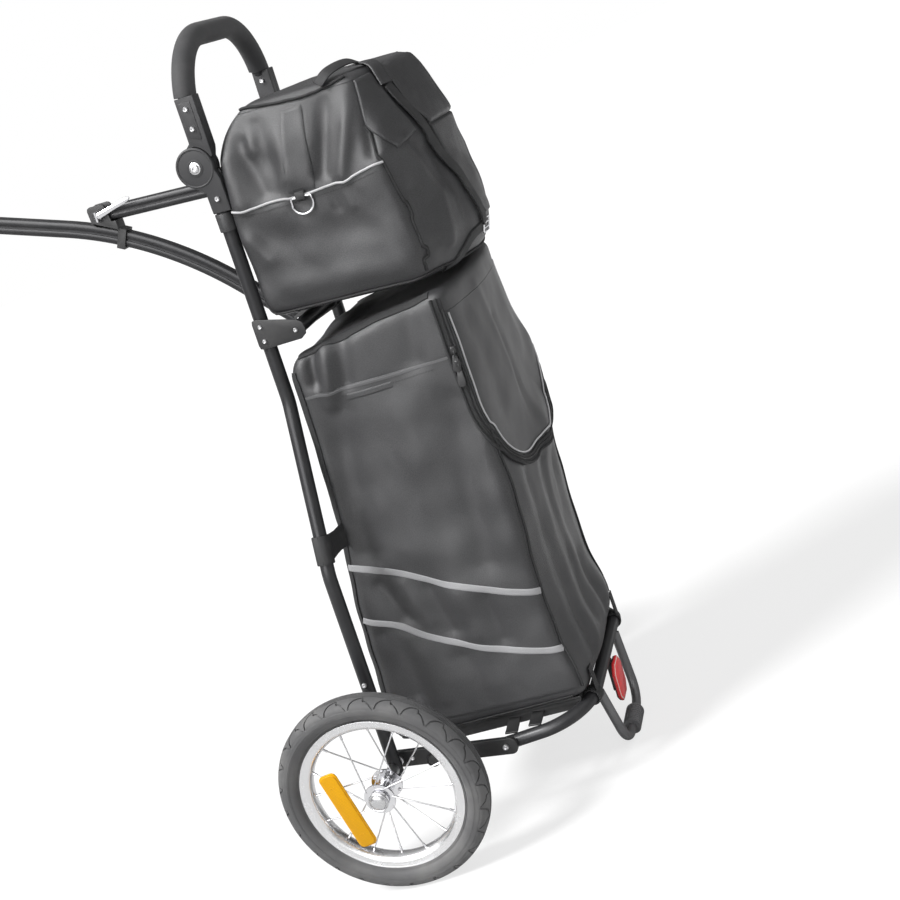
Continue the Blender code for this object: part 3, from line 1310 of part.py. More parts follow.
def make_lower_strap(side):
    """The webbing round a rail's crank, with a tail along the lower bag's side."""
    way = Vector((0.0, 1.0, 0.0))
    bore = TUBE_RADIUS + 2 * GAP
    outer = bore + STRAP_THICKNESS
    slant = (RAIL_TOP_X - RAIL_FOOT_X) / (CRANK_TOP_Z - CRANK_FOOT_Z)
    middle = Vector((side * (RAIL_FOOT_X + slant * (LOWER_STRAP_Z - CRANK_FOOT_Z)), 0.0, LOWER_STRAP_Z))
    along = Vector((side * slant, 0.0, 1.0)).normalized() * (LOWER_STRAP_HEIGHT / 2)
    strap = sweep([middle - along, middle + along], way, circle(outer), circle(bore))
    near_x = abs(middle.x) - bore
    tail_y = -2 * TUBE_RADIUS
    half = LOWER_STRAP_HEIGHT / 2 - LOWER_STRAP_TAPER
    tail = box(
        (side * (BAG_HALF_WIDTH + GAP), tail_y - STRAP_THICKNESS, LOWER_STRAP_Z - half),
        (side * near_x, tail_y, LOWER_STRAP_Z + half),
    )
    bridge = box(
        (side * (near_x - LOWER_STRAP_TAPER), tail_y - STRAP_THICKNESS, LOWER_STRAP_Z - half / 2),
        (side * (near_x + LOWER_STRAP_TAPER), -LOWER_STRAP_TAPER, LOWER_STRAP_Z + half / 2),
    )
    core = circle(bore + STRAP_THICKNESS / 2)
    cut(bridge, sweep([middle - 2 * along, middle + 2 * along], way, core))
    return join(strap, bridge, tail)


def make_base_strap(side):
    """The webbing round the platform's rear bend, with a tail up the lower bag's rear."""
    sunk = PLATFORM_BEND * (1 - math.cos(BASE_STRAP_ARC))
    out = PLATFORM_HALF_WIDTH - PLATFORM_BEND * (1 - math.sin(BASE_STRAP_ARC))
    place = Vector((side * out, PLATFORM_REAR_Y, PLATFORM_REAR_Z)) - PLATFORM_WAY * sunk
    way = Vector((side * math.cos(BASE_STRAP_ARC), 0.0, 0.0)) - PLATFORM_WAY * math.sin(BASE_STRAP_ARC)
    along = way.normalized() * (BASE_STRAP_WIDTH / 2)
    bore = TUBE_RADIUS + BASE_STRAP_SLACK
    outer = circle(bore + STRAP_THICKNESS)
    strap = sweep([place - along, place + along], PLATFORM_UP, outer, circle(bore))
    fullness = BAG_REAR_BULGE * (1 - (place.x / BAG_HALF_WIDTH) ** 2)
    foot_y = place.y - bore - STRAP_THICKNESS / 2
    face_y = BAG_REAR_FOOT_Y - fullness - STRAP_THICKNESS
    top_z = place.z + BASE_STRAP_RISE
    outline = [
        (foot_y, place.z),
        (foot_y - STRAP_THICKNESS, place.z),
        (face_y - STRAP_THICKNESS, top_z),
        (face_y, top_z),
    ]
    half = 0.4 * BASE_STRAP_WIDTH
    tail = prism(outline, place.x - half, place.x + half)
    core = circle(bore + STRAP_THICKNESS / 2)
    return join(strap, cut(tail, sweep([place - 3 * along, place + 3 * along], PLATFORM_UP, core)))


def make_straps(trailer):
    """The webbing that ties the lower bag to the rails and to the platform."""
    for name, side in SIDES.items():
        settle(make_lower_strap(side), f"{name}_lower_strap", "webbing", trailer)
        settle(make_base_strap(side), f"{name}_base_strap", "webbing", trailer)


def ring_place(side):
    """The bar of a D-ring, beside the upper bag."""
    return Vector((side * (UPPER_HALF_WIDTH + GAP + RING_STAND_OFF), RING_Y, RING_Z))


def ring_tab(side):
    """The tab sewn to the upper bag's side that a D-ring hangs in, with a bore for the ring's bar."""
    bar = ring_place(side)
    reach = RING_HALF_WIDTH - RING_BEND - 2 * RING_WIRE
    depth = abs(bar.x) - UPPER_HALF_WIDTH + FABRIC / 2
    lip = 2 * RING_WIRE
    out = RING_WIRE + STRAP_THICKNESS - GAP
    outer = [
        (-depth, -lip), (0.0, -lip - RING_WIRE), (out, -lip), (out, lip),
        (0.0, RING_TAB_HEIGHT / 2), (-depth, RING_TAB_HEIGHT),
    ]
    bore_radius = RING_WIRE + 1.5 * GAP
    bore = [
        (bore_radius * math.cos(turn), bore_radius * math.sin(turn))
        for turn in (math.radians(210 + 60 * k) for k in range(6))
    ]
    outline = [(side * (abs(bar.x) + u), bar.z + v) for u, v in outer]
    hole = [(side * (abs(bar.x) + u), bar.z + v) for u, v in bore]
    tab = prism(outline, bar.y - reach, bar.y + reach, "y")
    return cut(tab, prism(hole, bar.y - 2 * reach, bar.y + 2 * reach, "y"))


def make_rings(ring_axes):
    """A D-ring a side for a shoulder strap, hung in its tab."""
    for name, side in SIDES.items():
        bar = ring_place(side)
        w, d = RING_HALF_WIDTH, RING_DROP
        corners = [
            bar + Vector((0.0, -w, 0.0)),
            bar + Vector((0.0, w, 0.0)),
            bar + Vector((0.0, w * 0.9, -d)),
            bar + Vector((0.0, -w * 0.9, -d)),
        ]
        line = rounded(corners, RING_BEND, 3, closed=True)
        ring = sweep(line, Vector((1.0, 0.0, 0.0)), circle(RING_WIRE, 6), closed=True)
        settle(ring, f"{name}_d_ring", "black_steel", ring_axes[name])


def set_on_floor(trailer):
    """Leans the trailer back and moves it until its box stands over the origin."""
    trailer.matrix_local = Matrix.Rotation(LEAN, 4, "X")
    bpy.context.view_layer.update()
    corners = []
    for shape in bpy.data.objects:
        if shape.type == "MESH":
            corners += [shape.matrix_world @ vertex.co for vertex in shape.data.vertices]
    low = [min(corner[axis] for corner in corners) for axis in range(3)]
    high = [max(corner[axis] for corner in corners) for axis in range(3)]
    shift = Vector((-(low[0] + high[0]) / 2, -(low[1] + high[1]) / 2, -low[2]))
    trailer.matrix_local = Matrix.Translation(shift) @ Matrix.Rotation(LEAN, 4, "X")
    bpy.context.view_layer.update()


def main():
    """Builds the whole trailer."""
    for old in list(bpy.data.objects):
        bpy.data.objects.remove(old)
    trailer = bpy.data.objects.new("trailer", None)
    bpy.context.collection.objects.link(trailer)
    handle_axis = carrier("handle_axis", HINGE, trailer)
    arm_axis = carrier("arm_axis", ARM_PIVOT, trailer)
    strut_axis = carrier("strut_axis", STRUT_PIVOT, trailer)
    lever_axis = carrier("lever_axis", SKEWER + Vector((lever_x(), 0.0, 0.0)) - ARM_PIVOT, arm_axis)
    pitch_axis = carrier("pitch_axis", PITCH_PIVOT - ARM_PIVOT, arm_axis)
    yaw_axis = carrier("yaw_axis", YAW_PIVOT - PITCH_PIVOT, pitch_axis)
    flap_axis = carrier("flap_axis", flap_axis_place(), trailer)
    lid_axis = carrier("lid_axis", lid_axis_place(), trailer)
    ring_axes = {
        name: carrier(f"{name}_ring_axis", ring_place(side), trailer)
        for name, side in SIDES.items()
    }

    make_rails(trailer)
    make_wheels(trailer, Matrix.Rotation(-LEAN, 4, "X"))
    make_axles(trailer)
    make_platform(trailer)
    make_foot_loop(trailer)
    make_hinges(trailer, handle_axis)
    make_handle(handle_axis)
    make_cross_tubes(trailer)
    make_arm_bracket(trailer)
    make_strut(strut_axis)
    make_arm(arm_axis)
    make_clamp(arm_axis, lever_axis)
    make_hitch(arm_axis, pitch_axis, yaw_axis)
    make_lower_bag(trailer, flap_axis)
    make_upper_bag(trailer, lid_axis)
    make_straps(trailer)
    make_rings(ring_axes)
    set_on_floor(trailer)


main()
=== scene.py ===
"""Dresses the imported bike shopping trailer: tubes, wheels, castings, fittings and two fabric bags.

Shapes are drawn in the trailer's own axes, in metres: x to its right, y forwards and z up the rails,
from the middle of the wheel axle. TrailerAxes then leans each mesh back to where the frame stands.
"""

import json
import logging
import math
from dataclasses import dataclass, field
from enum import Enum
from typing import Callable, Optional, Sequence

import bmesh
import bpy
import numpy as np
from mathutils import Matrix, Vector, noise
from mathutils.bvhtree import BVHTree


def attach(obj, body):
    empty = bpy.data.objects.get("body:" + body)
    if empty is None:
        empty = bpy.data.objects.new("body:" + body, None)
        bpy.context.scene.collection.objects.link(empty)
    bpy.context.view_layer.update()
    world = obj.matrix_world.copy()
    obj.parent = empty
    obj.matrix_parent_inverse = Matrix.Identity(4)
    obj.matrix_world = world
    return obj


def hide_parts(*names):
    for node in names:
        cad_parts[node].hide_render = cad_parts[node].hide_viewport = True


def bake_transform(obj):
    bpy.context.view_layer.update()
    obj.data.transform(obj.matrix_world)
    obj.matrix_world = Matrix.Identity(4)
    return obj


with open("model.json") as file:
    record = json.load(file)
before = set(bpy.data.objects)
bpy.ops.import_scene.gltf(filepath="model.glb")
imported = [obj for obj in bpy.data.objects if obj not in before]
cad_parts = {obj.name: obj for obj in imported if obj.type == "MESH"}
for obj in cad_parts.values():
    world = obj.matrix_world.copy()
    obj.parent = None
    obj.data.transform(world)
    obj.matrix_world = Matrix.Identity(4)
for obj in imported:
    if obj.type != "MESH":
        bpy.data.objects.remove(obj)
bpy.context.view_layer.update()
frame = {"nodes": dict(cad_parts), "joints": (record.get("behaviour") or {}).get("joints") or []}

logging.basicConfig(level=logging.INFO, format="%(name)s: %(message)s")
LOG = logging.getLogger("trailer")

SIDES = {"left": -1.0, "right": 1.0}
ACROSS = Vector((1.0, 0.0, 0.0))
AHEAD = Vector((0.0, 1.0, 0.0))
UPWARD = Vector((0.0, 0.0, 1.0))

Pair = tuple[float, float]
Colour = tuple[float, float, float]


class TrailerAxes:
    """The leaning trailer's own axes, and the wheels' upright ones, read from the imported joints."""

    def __init__(self, joints: Sequence[dict]) -> None:
        """Finds the lean and the axle's middle.

        Args:
            joints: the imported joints.
        """
        found = {joint["name"]: joint for joint in joints}
        self.hubs = {side: Vector(found[f"{side}_wheel_spin"]["pos_m"]) for side in SIDES}
        up = Vector(found["hitch_yaw"]["axis"]).normalized()
        middle = (self.hubs["left"] + self.hubs["right"]) / 2
        turn = Matrix((ACROSS, up.cross(ACROSS), up)).transposed().to_4x4()
        self.matrix = Matrix.Translation(middle) @ turn
        self.wheel_radius = middle.z

    def wheel(self, side: str) -> Matrix:
        """The matrix of a wheel whose x axis points outwards."""
        turned = Matrix.Rotation(math.pi, 4, "Z") if side == "left" else Matrix.Identity(4)
        return Matrix.Translation(self.hubs[side]) @ turned


TRAILER = TrailerAxes(frame["joints"])


BOARD_SLOPE = 0.1045

CLOTH_HINGES = {
    "flap": ((0.0, -0.312, 0.697), (0.0, -0.312, 0.65)),
    "lid": ((0.0, -0.07, 1.051), (0.0, -0.128, 1.051)),
}


class Pattern(Enum):
    """What a finish has on its surface."""

    GRAIN = "grain"
    BRUSHED = "brushed"
    WEAVE = "weave"
    RIBBED = "ribbed"
    FOAM = "foam"
    CELLS = "cells"


class Nodes:
    """Short calls that add and wire nodes in one tree."""

    def __init__(self, tree: bpy.types.NodeTree) -> None:
        """Keeps the tree."""
        self.tree = tree

    def add(self, kind: str, inputs: Optional[dict] = None, **settings: object) -> bpy.types.Node:
        """Adds a node.

        Args:
            kind: the node's type name.
            inputs: values or sockets by input name or number.
            settings: the node's own settings.

        Returns:
            The node.
        """
        node = self.tree.nodes.new(kind)
        for key, value in settings.items():
            setattr(node, key, value)
        for key, value in (inputs or {}).items():
            socket = node.inputs[key]
            if isinstance(value, bpy.types.NodeSocket):
                self.tree.links.new(value, socket)
            else:
                socket.default_value = value
        return node

    def math(self, operation: str, first: object, second: object = 0.0, third: object = 0.0) -> object:
        """The result of one sum on values or sockets."""
        return self.add("ShaderNodeMath", {0: first, 1: second, 2: third}, operation=operation).outputs[0]

    def vector(self, operation: str, first: object, second: object) -> object:
        """The result of one sum on vectors or sockets."""
        return self.add("ShaderNodeVectorMath", {0: first, 1: second}, operation=operation).outputs[0]

    def tinted(self, colour: object, light: object) -> object:
        """A colour made lighter or darker by a factor."""
        return self.vector(
            "MULTIPLY", colour, self.add("ShaderNodeCombineXYZ", {0: light, 1: light, 2: light}).outputs[0]
        )

    def mix(self, share: object, first: object, second: object) -> object:
        """A colour between two."""
        return self.add("ShaderNodeMix", {0: share, 6: first, 7: second}, data_type="RGBA").outputs[2]

    def swayed(self, value: object, amount: object, base: object, middle: float = 0.5) -> object:
        """A base raised or lowered by an amount as a value leaves its middle."""
        return self.math("MULTIPLY_ADD", self.math("SUBTRACT", value, middle), amount, base)

    def noise(self, place: object, scale: object, detail: float = 3.0) -> object:
        """Soft random values from 0 to 1."""
        inputs = {"Vector": place, "Scale": scale, "Detail": detail}
        return self.add("ShaderNodeTexNoise", inputs).outputs["Fac"]

    def span(self, value: object, low: float, high: float, to_low: object, to_high: object) -> object:
        """A value moved from one span to another and held there."""
        inputs = {0: value, 1: low, 2: high, 3: to_low, 4: to_high}
        return self.add("ShaderNodeMapRange", inputs, clamp=True).outputs[0]

    def dusty(self, cloud: object, dust: object, low: float = 0.5, high: float = 0.8) -> object:
        """How much dust lies at a place, from a cloud's value there."""
        return self.math("MULTIPLY", self.span(cloud, low, high, 0.0, 1.0), dust)


def shader_group(name: str, sockets: dict[str, tuple[str, object]], wire: Callable) -> bpy.types.NodeTree:
    """A shared shader group, built once.

    Args:
        name: the group's name.
        sockets: each input's socket type and first value, by name.
        wire: takes the tree's Nodes and the inputs by name, and returns the outputs by name.

    Returns:
        The group.
    """
    made = bpy.data.node_groups.get(name)
    if made:
        return made
    made = bpy.data.node_groups.new(name, "ShaderNodeTree")
    for key, (kind, value) in sockets.items():
        socket = made.interface.new_socket(key, in_out="INPUT", socket_type=kind)
        if value is not None:
            socket.default_value = value
    for key, kind in (
        ("Colour", "NodeSocketColor"), ("Roughness", "NodeSocketFloat"), ("Height", "NodeSocketFloat")
    ):
        made.interface.new_socket(key, in_out="OUTPUT", socket_type=kind)
    nodes = Nodes(made)
    start = nodes.add("NodeGroupInput")
    results = wire(nodes, {key: start.outputs[key] for key in sockets})
    end = nodes.add("NodeGroupOutput")
    for key, value in results.items():
        made.links.new(value, end.inputs[key])
    return made


SURFACE_SOCKETS = {
    "Place": ("NodeSocketVector", None),
    "Colour": ("NodeSocketColor", (0.5, 0.5, 0.5, 1.0)),
    "Roughness": ("NodeSocketFloat", 0.5),
    "Scale": ("NodeSocketFloat", 900.0),
    "Variation": ("NodeSocketFloat", 0.1),
    "Dust": ("NodeSocketFloat", 0.0),
}


def wire_grain(nodes: Nodes, given: dict) -> dict:
    """Fine grain with soft clouds of dust and handling marks."""
    fine = nodes.noise(given["Place"], given["Scale"])
    cloud = nodes.noise(given["Place"], 14.0, 4.0)
    marks = nodes.noise(given["Place"], 65.0, 2.0)
    shade = nodes.math("MULTIPLY", nodes.math("SUBTRACT", cloud, 0.5), given["Variation"])
    light = nodes.math(
        "ADD", nodes.math("MULTIPLY_ADD", fine, nodes.math("MULTIPLY", given["Variation"], 0.35), 1.0), shade
    )
    tone = nodes.tinted(given["Colour"], light)
    dusty = nodes.dusty(cloud, given["Dust"], 0.45, 0.75)
    rough = nodes.swayed(marks, 0.25, given["Roughness"])
    return {
        "Colour": nodes.mix(dusty, tone, (0.42, 0.41, 0.39, 1.0)),
        "Roughness": nodes.math("MULTIPLY_ADD", dusty, 0.3, rough),
        "Height": nodes.math("MULTIPLY_ADD", marks, 0.6, fine),
    }


def wire_brushed(nodes: Nodes, given: dict) -> dict:
    """Drawn metal: fine lines, faint smears and small pits."""
    stretched = nodes.vector("MULTIPLY", given["Place"], (1.0, 1.0, 0.06))
    lines = nodes.noise(stretched, given["Scale"], 4.0)
    smear = nodes.noise(given["Place"], 26.0, 3.0)
    light = nodes.swayed(smear, given["Variation"], 1.0)
    tone = nodes.tinted(given["Colour"], light)
    dusty = nodes.dusty(smear, given["Dust"])
    rough = nodes.swayed(smear, 0.22, given["Roughness"], 0.4)
    return {
        "Colour": nodes.mix(dusty, tone, (0.4, 0.39, 0.37, 1.0)),
        "Roughness": nodes.math("MULTIPLY_ADD", lines, 0.06, rough),
        "Height": nodes.math("MULTIPLY_ADD", smear, 0.3, lines),
    }


def wire_weave(nodes: Nodes, given: dict) -> dict:
    """Plain weave: threads over and under each other, some thicker, with faded clouds, and painted shade
    darkening the gaps between threads.
    """
    scaled = nodes.add(
        "ShaderNodeVectorMath", {0: given["Place"], "Scale": given["Scale"]}, operation="SCALE"
    )
    parts = nodes.add("ShaderNodeSeparateXYZ", {0: scaled.outputs[0]})
    waves = [
        nodes.math("ABSOLUTE", nodes.math("SINE", nodes.math("MULTIPLY", parts.outputs[k], math.pi)))
        for k in (0, 1)
    ]
    cells = nodes.math("ADD", *(nodes.math("FLOOR", parts.outputs[k]) for k in (0, 1)))
    over = nodes.math("GREATER_THAN", nodes.math("MODULO", nodes.math("ABSOLUTE", cells), 2.0), 0.5)
    under = nodes.math("SUBTRACT", 1.0, over)
    thread = nodes.math(
        "ADD", nodes.math("MULTIPLY", waves[0], over), nodes.math("MULTIPLY", waves[1], under)
    )
    slub = nodes.noise(nodes.vector("MULTIPLY", given["Place"], (1.0, 6.0, 1.0)), 210.0, 2.0)
    speck = nodes.noise(given["Place"], 620.0, 1.0)
    cloud = nodes.noise(given["Place"], 7.0, 4.0)
    light = nodes.swayed(slub, given["Variation"], 1.0)
    light = nodes.swayed(speck, nodes.math("MULTIPLY", given["Variation"], 1.6), light)
    light = nodes.swayed(cloud, given["Variation"], light)
    # Painted shade: the colour follows the threads' own height, darker in the gaps between threads and
    # lighter on their crests.
    light = nodes.math("MULTIPLY", light, nodes.math("MULTIPLY_ADD", thread, 0.35, 0.78))
    tone = nodes.tinted(given["Colour"], light)
    dusty = nodes.dusty(cloud, given["Dust"])
    return {
        "Colour": nodes.mix(dusty, tone, (0.36, 0.35, 0.33, 1.0)),
        "Roughness": nodes.math("MULTIPLY_ADD", slub, 0.12, given["Roughness"]),
        "Height": nodes.math("MULTIPLY_ADD", slub, 0.5, thread),
    }


def wire_ribbed(nodes: Nodes, given: dict) -> dict:
    """Webbing: short ribs across the strap in a herringbone, with painted shade between the ribs."""
    parts = nodes.add("ShaderNodeSeparateXYZ", {0: given["Place"]})
    slant = nodes.math("MULTIPLY_ADD", nodes.math("PINGPONG", parts.outputs[1], 0.003), 1.0, parts.outputs[0])
    ribs = nodes.math("ABSOLUTE", nodes.math("SINE", nodes.math("MULTIPLY", slant, given["Scale"])))
    cloud = nodes.noise(given["Place"], 40.0, 3.0)
    light = nodes.swayed(cloud, given["Variation"], 0.8)
    # Painted shade: the colour follows the ribs' height, darker in the grooves between ribs and lighter on
    # their crests.
    light = nodes.math("MULTIPLY_ADD", ribs, 0.35, light)
    tone = nodes.tinted(given["Colour"], light)
    dusty = nodes.dusty(cloud, given["Dust"])
    return {
        "Colour": nodes.mix(dusty, tone, (0.4, 0.39, 0.37, 1.0)),
        "Roughness": nodes.math("MULTIPLY_ADD", cloud, 0.1, given["Roughness"]),
        "Height": ribs,
    }


def wire_foam(nodes: Nodes, given: dict) -> dict:
    """Closed foam: small pores, painted darker as shade, and a soft mottle."""
    cells = nodes.add(
        "ShaderNodeTexVoronoi", {"Vector": given["Place"], "Scale": given["Scale"]}
    ).outputs["Distance"]
    cloud = nodes.noise(given["Place"], 30.0, 4.0)
    light = nodes.swayed(cloud, given["Variation"], 0.85)
    # Painted shade: each pore is darker towards its hollow middle, following the pores' own height.
    light = nodes.math("MULTIPLY_ADD", cells, 0.3, light)
    tone = nodes.tinted(given["Colour"], light)
    dusty = nodes.dusty(cloud, given["Dust"])
    return {
        "Colour": nodes.mix(dusty, tone, (0.4, 0.39, 0.37, 1.0)),
        "Roughness": nodes.math("MULTIPLY_ADD", cloud, 0.1, given["Roughness"]),
        "Height": cells,
    }


def wire_cells(nodes: Nodes, given: dict) -> dict:
    """A reflector's prism cells behind a clear face, each painted darker towards its middle as shade."""
    cells = nodes.add(
        "ShaderNodeTexVoronoi", {"Vector": given["Place"], "Scale": given["Scale"], "Randomness": 0.12}
    )
    depth = cells.outputs["Distance"]
    cloud = nodes.noise(given["Place"], 30.0, 3.0)
    # Painted shade: each cell is darker in its hollow middle and lighter at its raised rim, following its own
    # height.
    light = nodes.math("MULTIPLY_ADD", depth, 0.7, 0.72)
    light = nodes.swayed(cloud, given["Variation"], light)
    tone = nodes.tinted(given["Colour"], light)
    dusty = nodes.dusty(cloud, given["Dust"])
    return {
        "Colour": nodes.mix(dusty, tone, (0.5, 0.49, 0.47, 1.0)),
        "Roughness": nodes.math("MULTIPLY_ADD", dusty, 0.3, given["Roughness"]),
        "Height": depth,
    }


WIRING = {
    Pattern.GRAIN: wire_grain,
    Pattern.BRUSHED: wire_brushed,
    Pattern.WEAVE: wire_weave,
    Pattern.RIBBED: wire_ribbed,
    Pattern.FOAM: wire_foam,
    Pattern.CELLS: wire_cells,
}


@dataclass(frozen=True)
class Finish:
    """One finish: its colour, gloss, pattern and wear."""

    name: str
    slot: str
    colour: Colour
    roughness: float
    pattern: Pattern = Pattern.GRAIN
    metallic: float = 0.0
    scale: float = 900.0
    variation: float = 0.12
    dust: float = 0.0
    bump: float = 0.15
    depth: float = 0.0002
    coat: float = 0.0
    sheen: float = 0.0
    on_surface: bool = False
    specular: float = 0.5

    def material(self) -> bpy.types.Material:
        """The finish's material, built on first use.

        Returns:
            The material.
        """
        made = bpy.data.materials.get(self.name)
        if made:
            return made
        made = bpy.data.materials.new(self.name)
        made.use_nodes = True
        nodes = Nodes(made.node_tree)
        surface = made.node_tree.nodes["Principled BSDF"]
        surface.inputs["Metallic"].default_value = self.metallic
        surface.inputs["Specular IOR Level"].default_value = self.specular
        surface.inputs["Coat Weight"].default_value = self.coat
        surface.inputs["Coat Roughness"].default_value = 0.12
        surface.inputs["Sheen Weight"].default_value = self.sheen
        surface.inputs["Sheen Roughness"].default_value = 0.45
        place = nodes.add("ShaderNodeTexCoord").outputs["UV" if self.on_surface else "Object"]
        group = nodes.add(
            "ShaderNodeGroup",
            node_tree=shader_group(f"surface {self.pattern.value}", SURFACE_SOCKETS, WIRING[self.pattern])
        )
        values = {"Colour": (*self.colour, 1.0), "Roughness": self.roughness, "Scale": self.scale}
        values |= {"Variation": self.variation, "Dust": self.dust}
        for key, value in values.items():
            group.inputs[key].default_value = value
        links = made.node_tree.links
        links.new(place, group.inputs["Place"])
        links.new(group.outputs["Colour"], surface.inputs["Base Color"])
        links.new(group.outputs["Roughness"], surface.inputs["Roughness"])
        bump = nodes.add(
            "ShaderNodeBump",
            {"Strength": self.bump, "Distance": self.depth, "Height": group.outputs["Height"]}
        )
        links.new(bump.outputs["Normal"], surface.inputs["Normal"])
        return made


FRAME_PAINT = Finish(
    "satin black tube", "frame_tube", (0.026, 0.026, 0.028), 0.34, Pattern.BRUSHED, metallic=0.15,
    scale=700.0, variation=0.25, dust=0.03, bump=0.08, specular=0.4
)
GREY_TUBE = Finish(
    "dark grey tube", "frame_tube", (0.16, 0.16, 0.165), 0.38, Pattern.BRUSHED, metallic=0.5, scale=700.0,
    variation=0.15, dust=0.05, bump=0.1
)
CAST_GREY = Finish(
    "cast grey joint", "casting", (0.04, 0.04, 0.042), 0.48, metallic=0.1, scale=1500.0, variation=0.3,
    dust=0.04, bump=0.25, specular=0.35
)
BLACK_STEEL = Finish(
    "black painted steel", "black_steel", (0.022, 0.022, 0.023), 0.42, metallic=0.1, scale=1200.0,
    variation=0.4, dust=0.05, bump=0.2
)
BRIGHT_STEEL = Finish(
    "zinc steel", "steel", (0.62, 0.62, 0.63), 0.28, Pattern.BRUSHED, metallic=1.0, scale=2200.0,
    variation=0.15, dust=0.04, bump=0.1
)
CHROME = Finish(
    "chrome", "chrome", (0.82, 0.82, 0.83), 0.1, metallic=1.0, scale=600.0, variation=0.05, dust=0.02,
    bump=0.02
)
SILVER_CAP = Finish(
    "silver cap", "chrome", (0.6, 0.6, 0.61), 0.26, metallic=0.85, variation=0.06, dust=0.02, bump=0.05
)
RIM_ALLOY = Finish(
    "polished rim", "rim", (0.78, 0.78, 0.79), 0.2, Pattern.BRUSHED, metallic=0.9, scale=1200.0,
    variation=0.08, dust=0.03, bump=0.06
)
RUBBER = Finish(
    "tyre rubber", "tyre", (0.095, 0.095, 0.097), 0.72, scale=1300.0, variation=0.5, dust=0.16, bump=0.3
)
GRIP_FOAM = Finish(
    "grip foam", "grip", (0.045, 0.045, 0.047), 0.7, Pattern.FOAM, variation=0.4, dust=0.05, bump=0.35,
    depth=0.0003, sheen=0.05
)
BLACK_PLASTIC = Finish(
    "black moulded plastic", "black_plastic", (0.03, 0.03, 0.031), 0.46, scale=2200.0, variation=0.3,
    dust=0.04, bump=0.3
)
GREY_PLASTIC = Finish(
    "grey moulded plastic", "casting", (0.16, 0.16, 0.165), 0.5, scale=2200.0, variation=0.2, dust=0.05,
    bump=0.3
)
BAG_CLOTH = Finish(
    "woven bag cloth", "bag_fabric", (0.04, 0.04, 0.042), 0.36, Pattern.WEAVE, scale=1150.0, variation=0.9,
    dust=0.03, bump=0.3, depth=0.00035, on_surface=True
)
DARK_CLOTH = Finish(
    "dark bag cloth", "bag_fabric", (0.016, 0.016, 0.017), 0.7, Pattern.WEAVE, scale=1150.0, variation=0.3,
    dust=0.03, bump=0.5, depth=0.00035, on_surface=True
)
PALE_TRIM = Finish(
    "pale reflective trim", "bag_fabric", (0.37, 0.37, 0.38), 0.5, Pattern.WEAVE, scale=1700.0,
    variation=0.08, dust=0.04, bump=0.3, sheen=0.1, on_surface=True
)
PALE_CORD = Finish(
    "pale piping", "bag_fabric", (0.5, 0.5, 0.51), 0.45, scale=1500.0, variation=0.1, dust=0.03, bump=0.2
)
PALE_CLOTH = Finish(
    "pale hem cloth", "bag_fabric", (0.11, 0.11, 0.113), 0.7, scale=1500.0, variation=0.2, dust=0.03, bump=0.2
)
THREAD = Finish("dark thread", "webbing", (0.018, 0.018, 0.019), 0.7, scale=2500.0, variation=0.2)
WEBBING = Finish(
    "black webbing", "webbing", (0.018, 0.018, 0.019), 0.6, Pattern.RIBBED, scale=1300.0, variation=0.4,
    dust=0.04, bump=0.6, depth=0.0004, on_surface=True
)
RED_LENS = Finish(
    "red lens", "red_lens", (0.86, 0.03, 0.035), 0.3, Pattern.CELLS, scale=420.0, variation=0.15, dust=0.03,
    bump=0.3, depth=0.0004, coat=0.35
)
CLEAR_LENS = Finish(
    "cream lens edge", "red_lens", (0.82, 0.74, 0.66), 0.25, variation=0.06, dust=0.03, bump=0.05, coat=0.8
)
AMBER_LENS = Finish(
    "amber lens", "amber_lens", (0.76, 0.37, 0.002), 0.35, Pattern.CELLS, scale=420.0, bump=0.3, depth=0.0004,
    specular=0.3
)


@dataclass
class Shape:
    """Points, faces and flat places (UVs, in metres) of one piece."""

    points: list[Vector] = field(default_factory=list)
    faces: list[tuple[int, ...]] = field(default_factory=list)
    flat: list[Pair] = field(default_factory=list)

    def add(self, other: "Shape") -> "Shape":
        """Takes in another shape and returns itself."""
        start = len(self.points)
        self.points += other.points
        self.faces += [tuple(start + corner for corner in face) for face in other.faces]
        self.flat += other.flat
        return self

    def moved(self, matrix: Matrix) -> "Shape":
        """A copy put somewhere else."""
        return Shape([matrix @ point for point in self.points], list(self.faces), list(self.flat))


def sheet_of(rows: Sequence[Sequence[Vector]], round_u: bool = False, round_v: bool = False) -> Shape:
    """Skins rows of points, with its flat places measured along them.

    Args:
        rows: the points, row by row, all rows of one count.
        round_u: joins each row's end to its start.
        round_v: joins the last row to the first.

    Returns:
        The open or closed sheet.
    """
    count = len(rows[0])
    shape = Shape([point for row in rows for point in row])
    middle = rows[len(rows) // 2]
    along = [0.0]
    for before, after in zip(middle[:-1], middle[1:]):
        along.append(along[-1] + (after - before).length)
    up = [0.0]
    for before, after in zip(rows[:-1], rows[1:]):
        up.append(up[-1] + max((b - a).length for a, b in zip(before[::8], after[::8])))
    shape.flat = [(u, v) for v in up for u in along]
    for j in range(len(rows) if round_v else len(rows) - 1):
        here, there = j * count, ((j + 1) % len(rows)) * count
        for i in range(count if round_u else count - 1):
            k = (i + 1) % count
            shape.faces.append((here + i, here + k, there + k, there + i))
    return shape


def loft(rows: Sequence[Sequence[Vector]]) -> Shape:
    """Skins closed loops of one count and shuts both ends."""
    shape = sheet_of(rows, round_u=True)
    count = len(rows[0])
    shape.faces.append(tuple(reversed(range(count))))
    shape.faces.append(tuple((len(rows) - 1) * count + k for k in range(count)))
    return shape


def circle(radius: float, sides: int = 28) -> list[Pair]:
    """A round outline."""
    turns = [2 * math.pi * k / sides for k in range(sides)]
    return [(radius * math.cos(turn), radius * math.sin(turn)) for turn in turns]


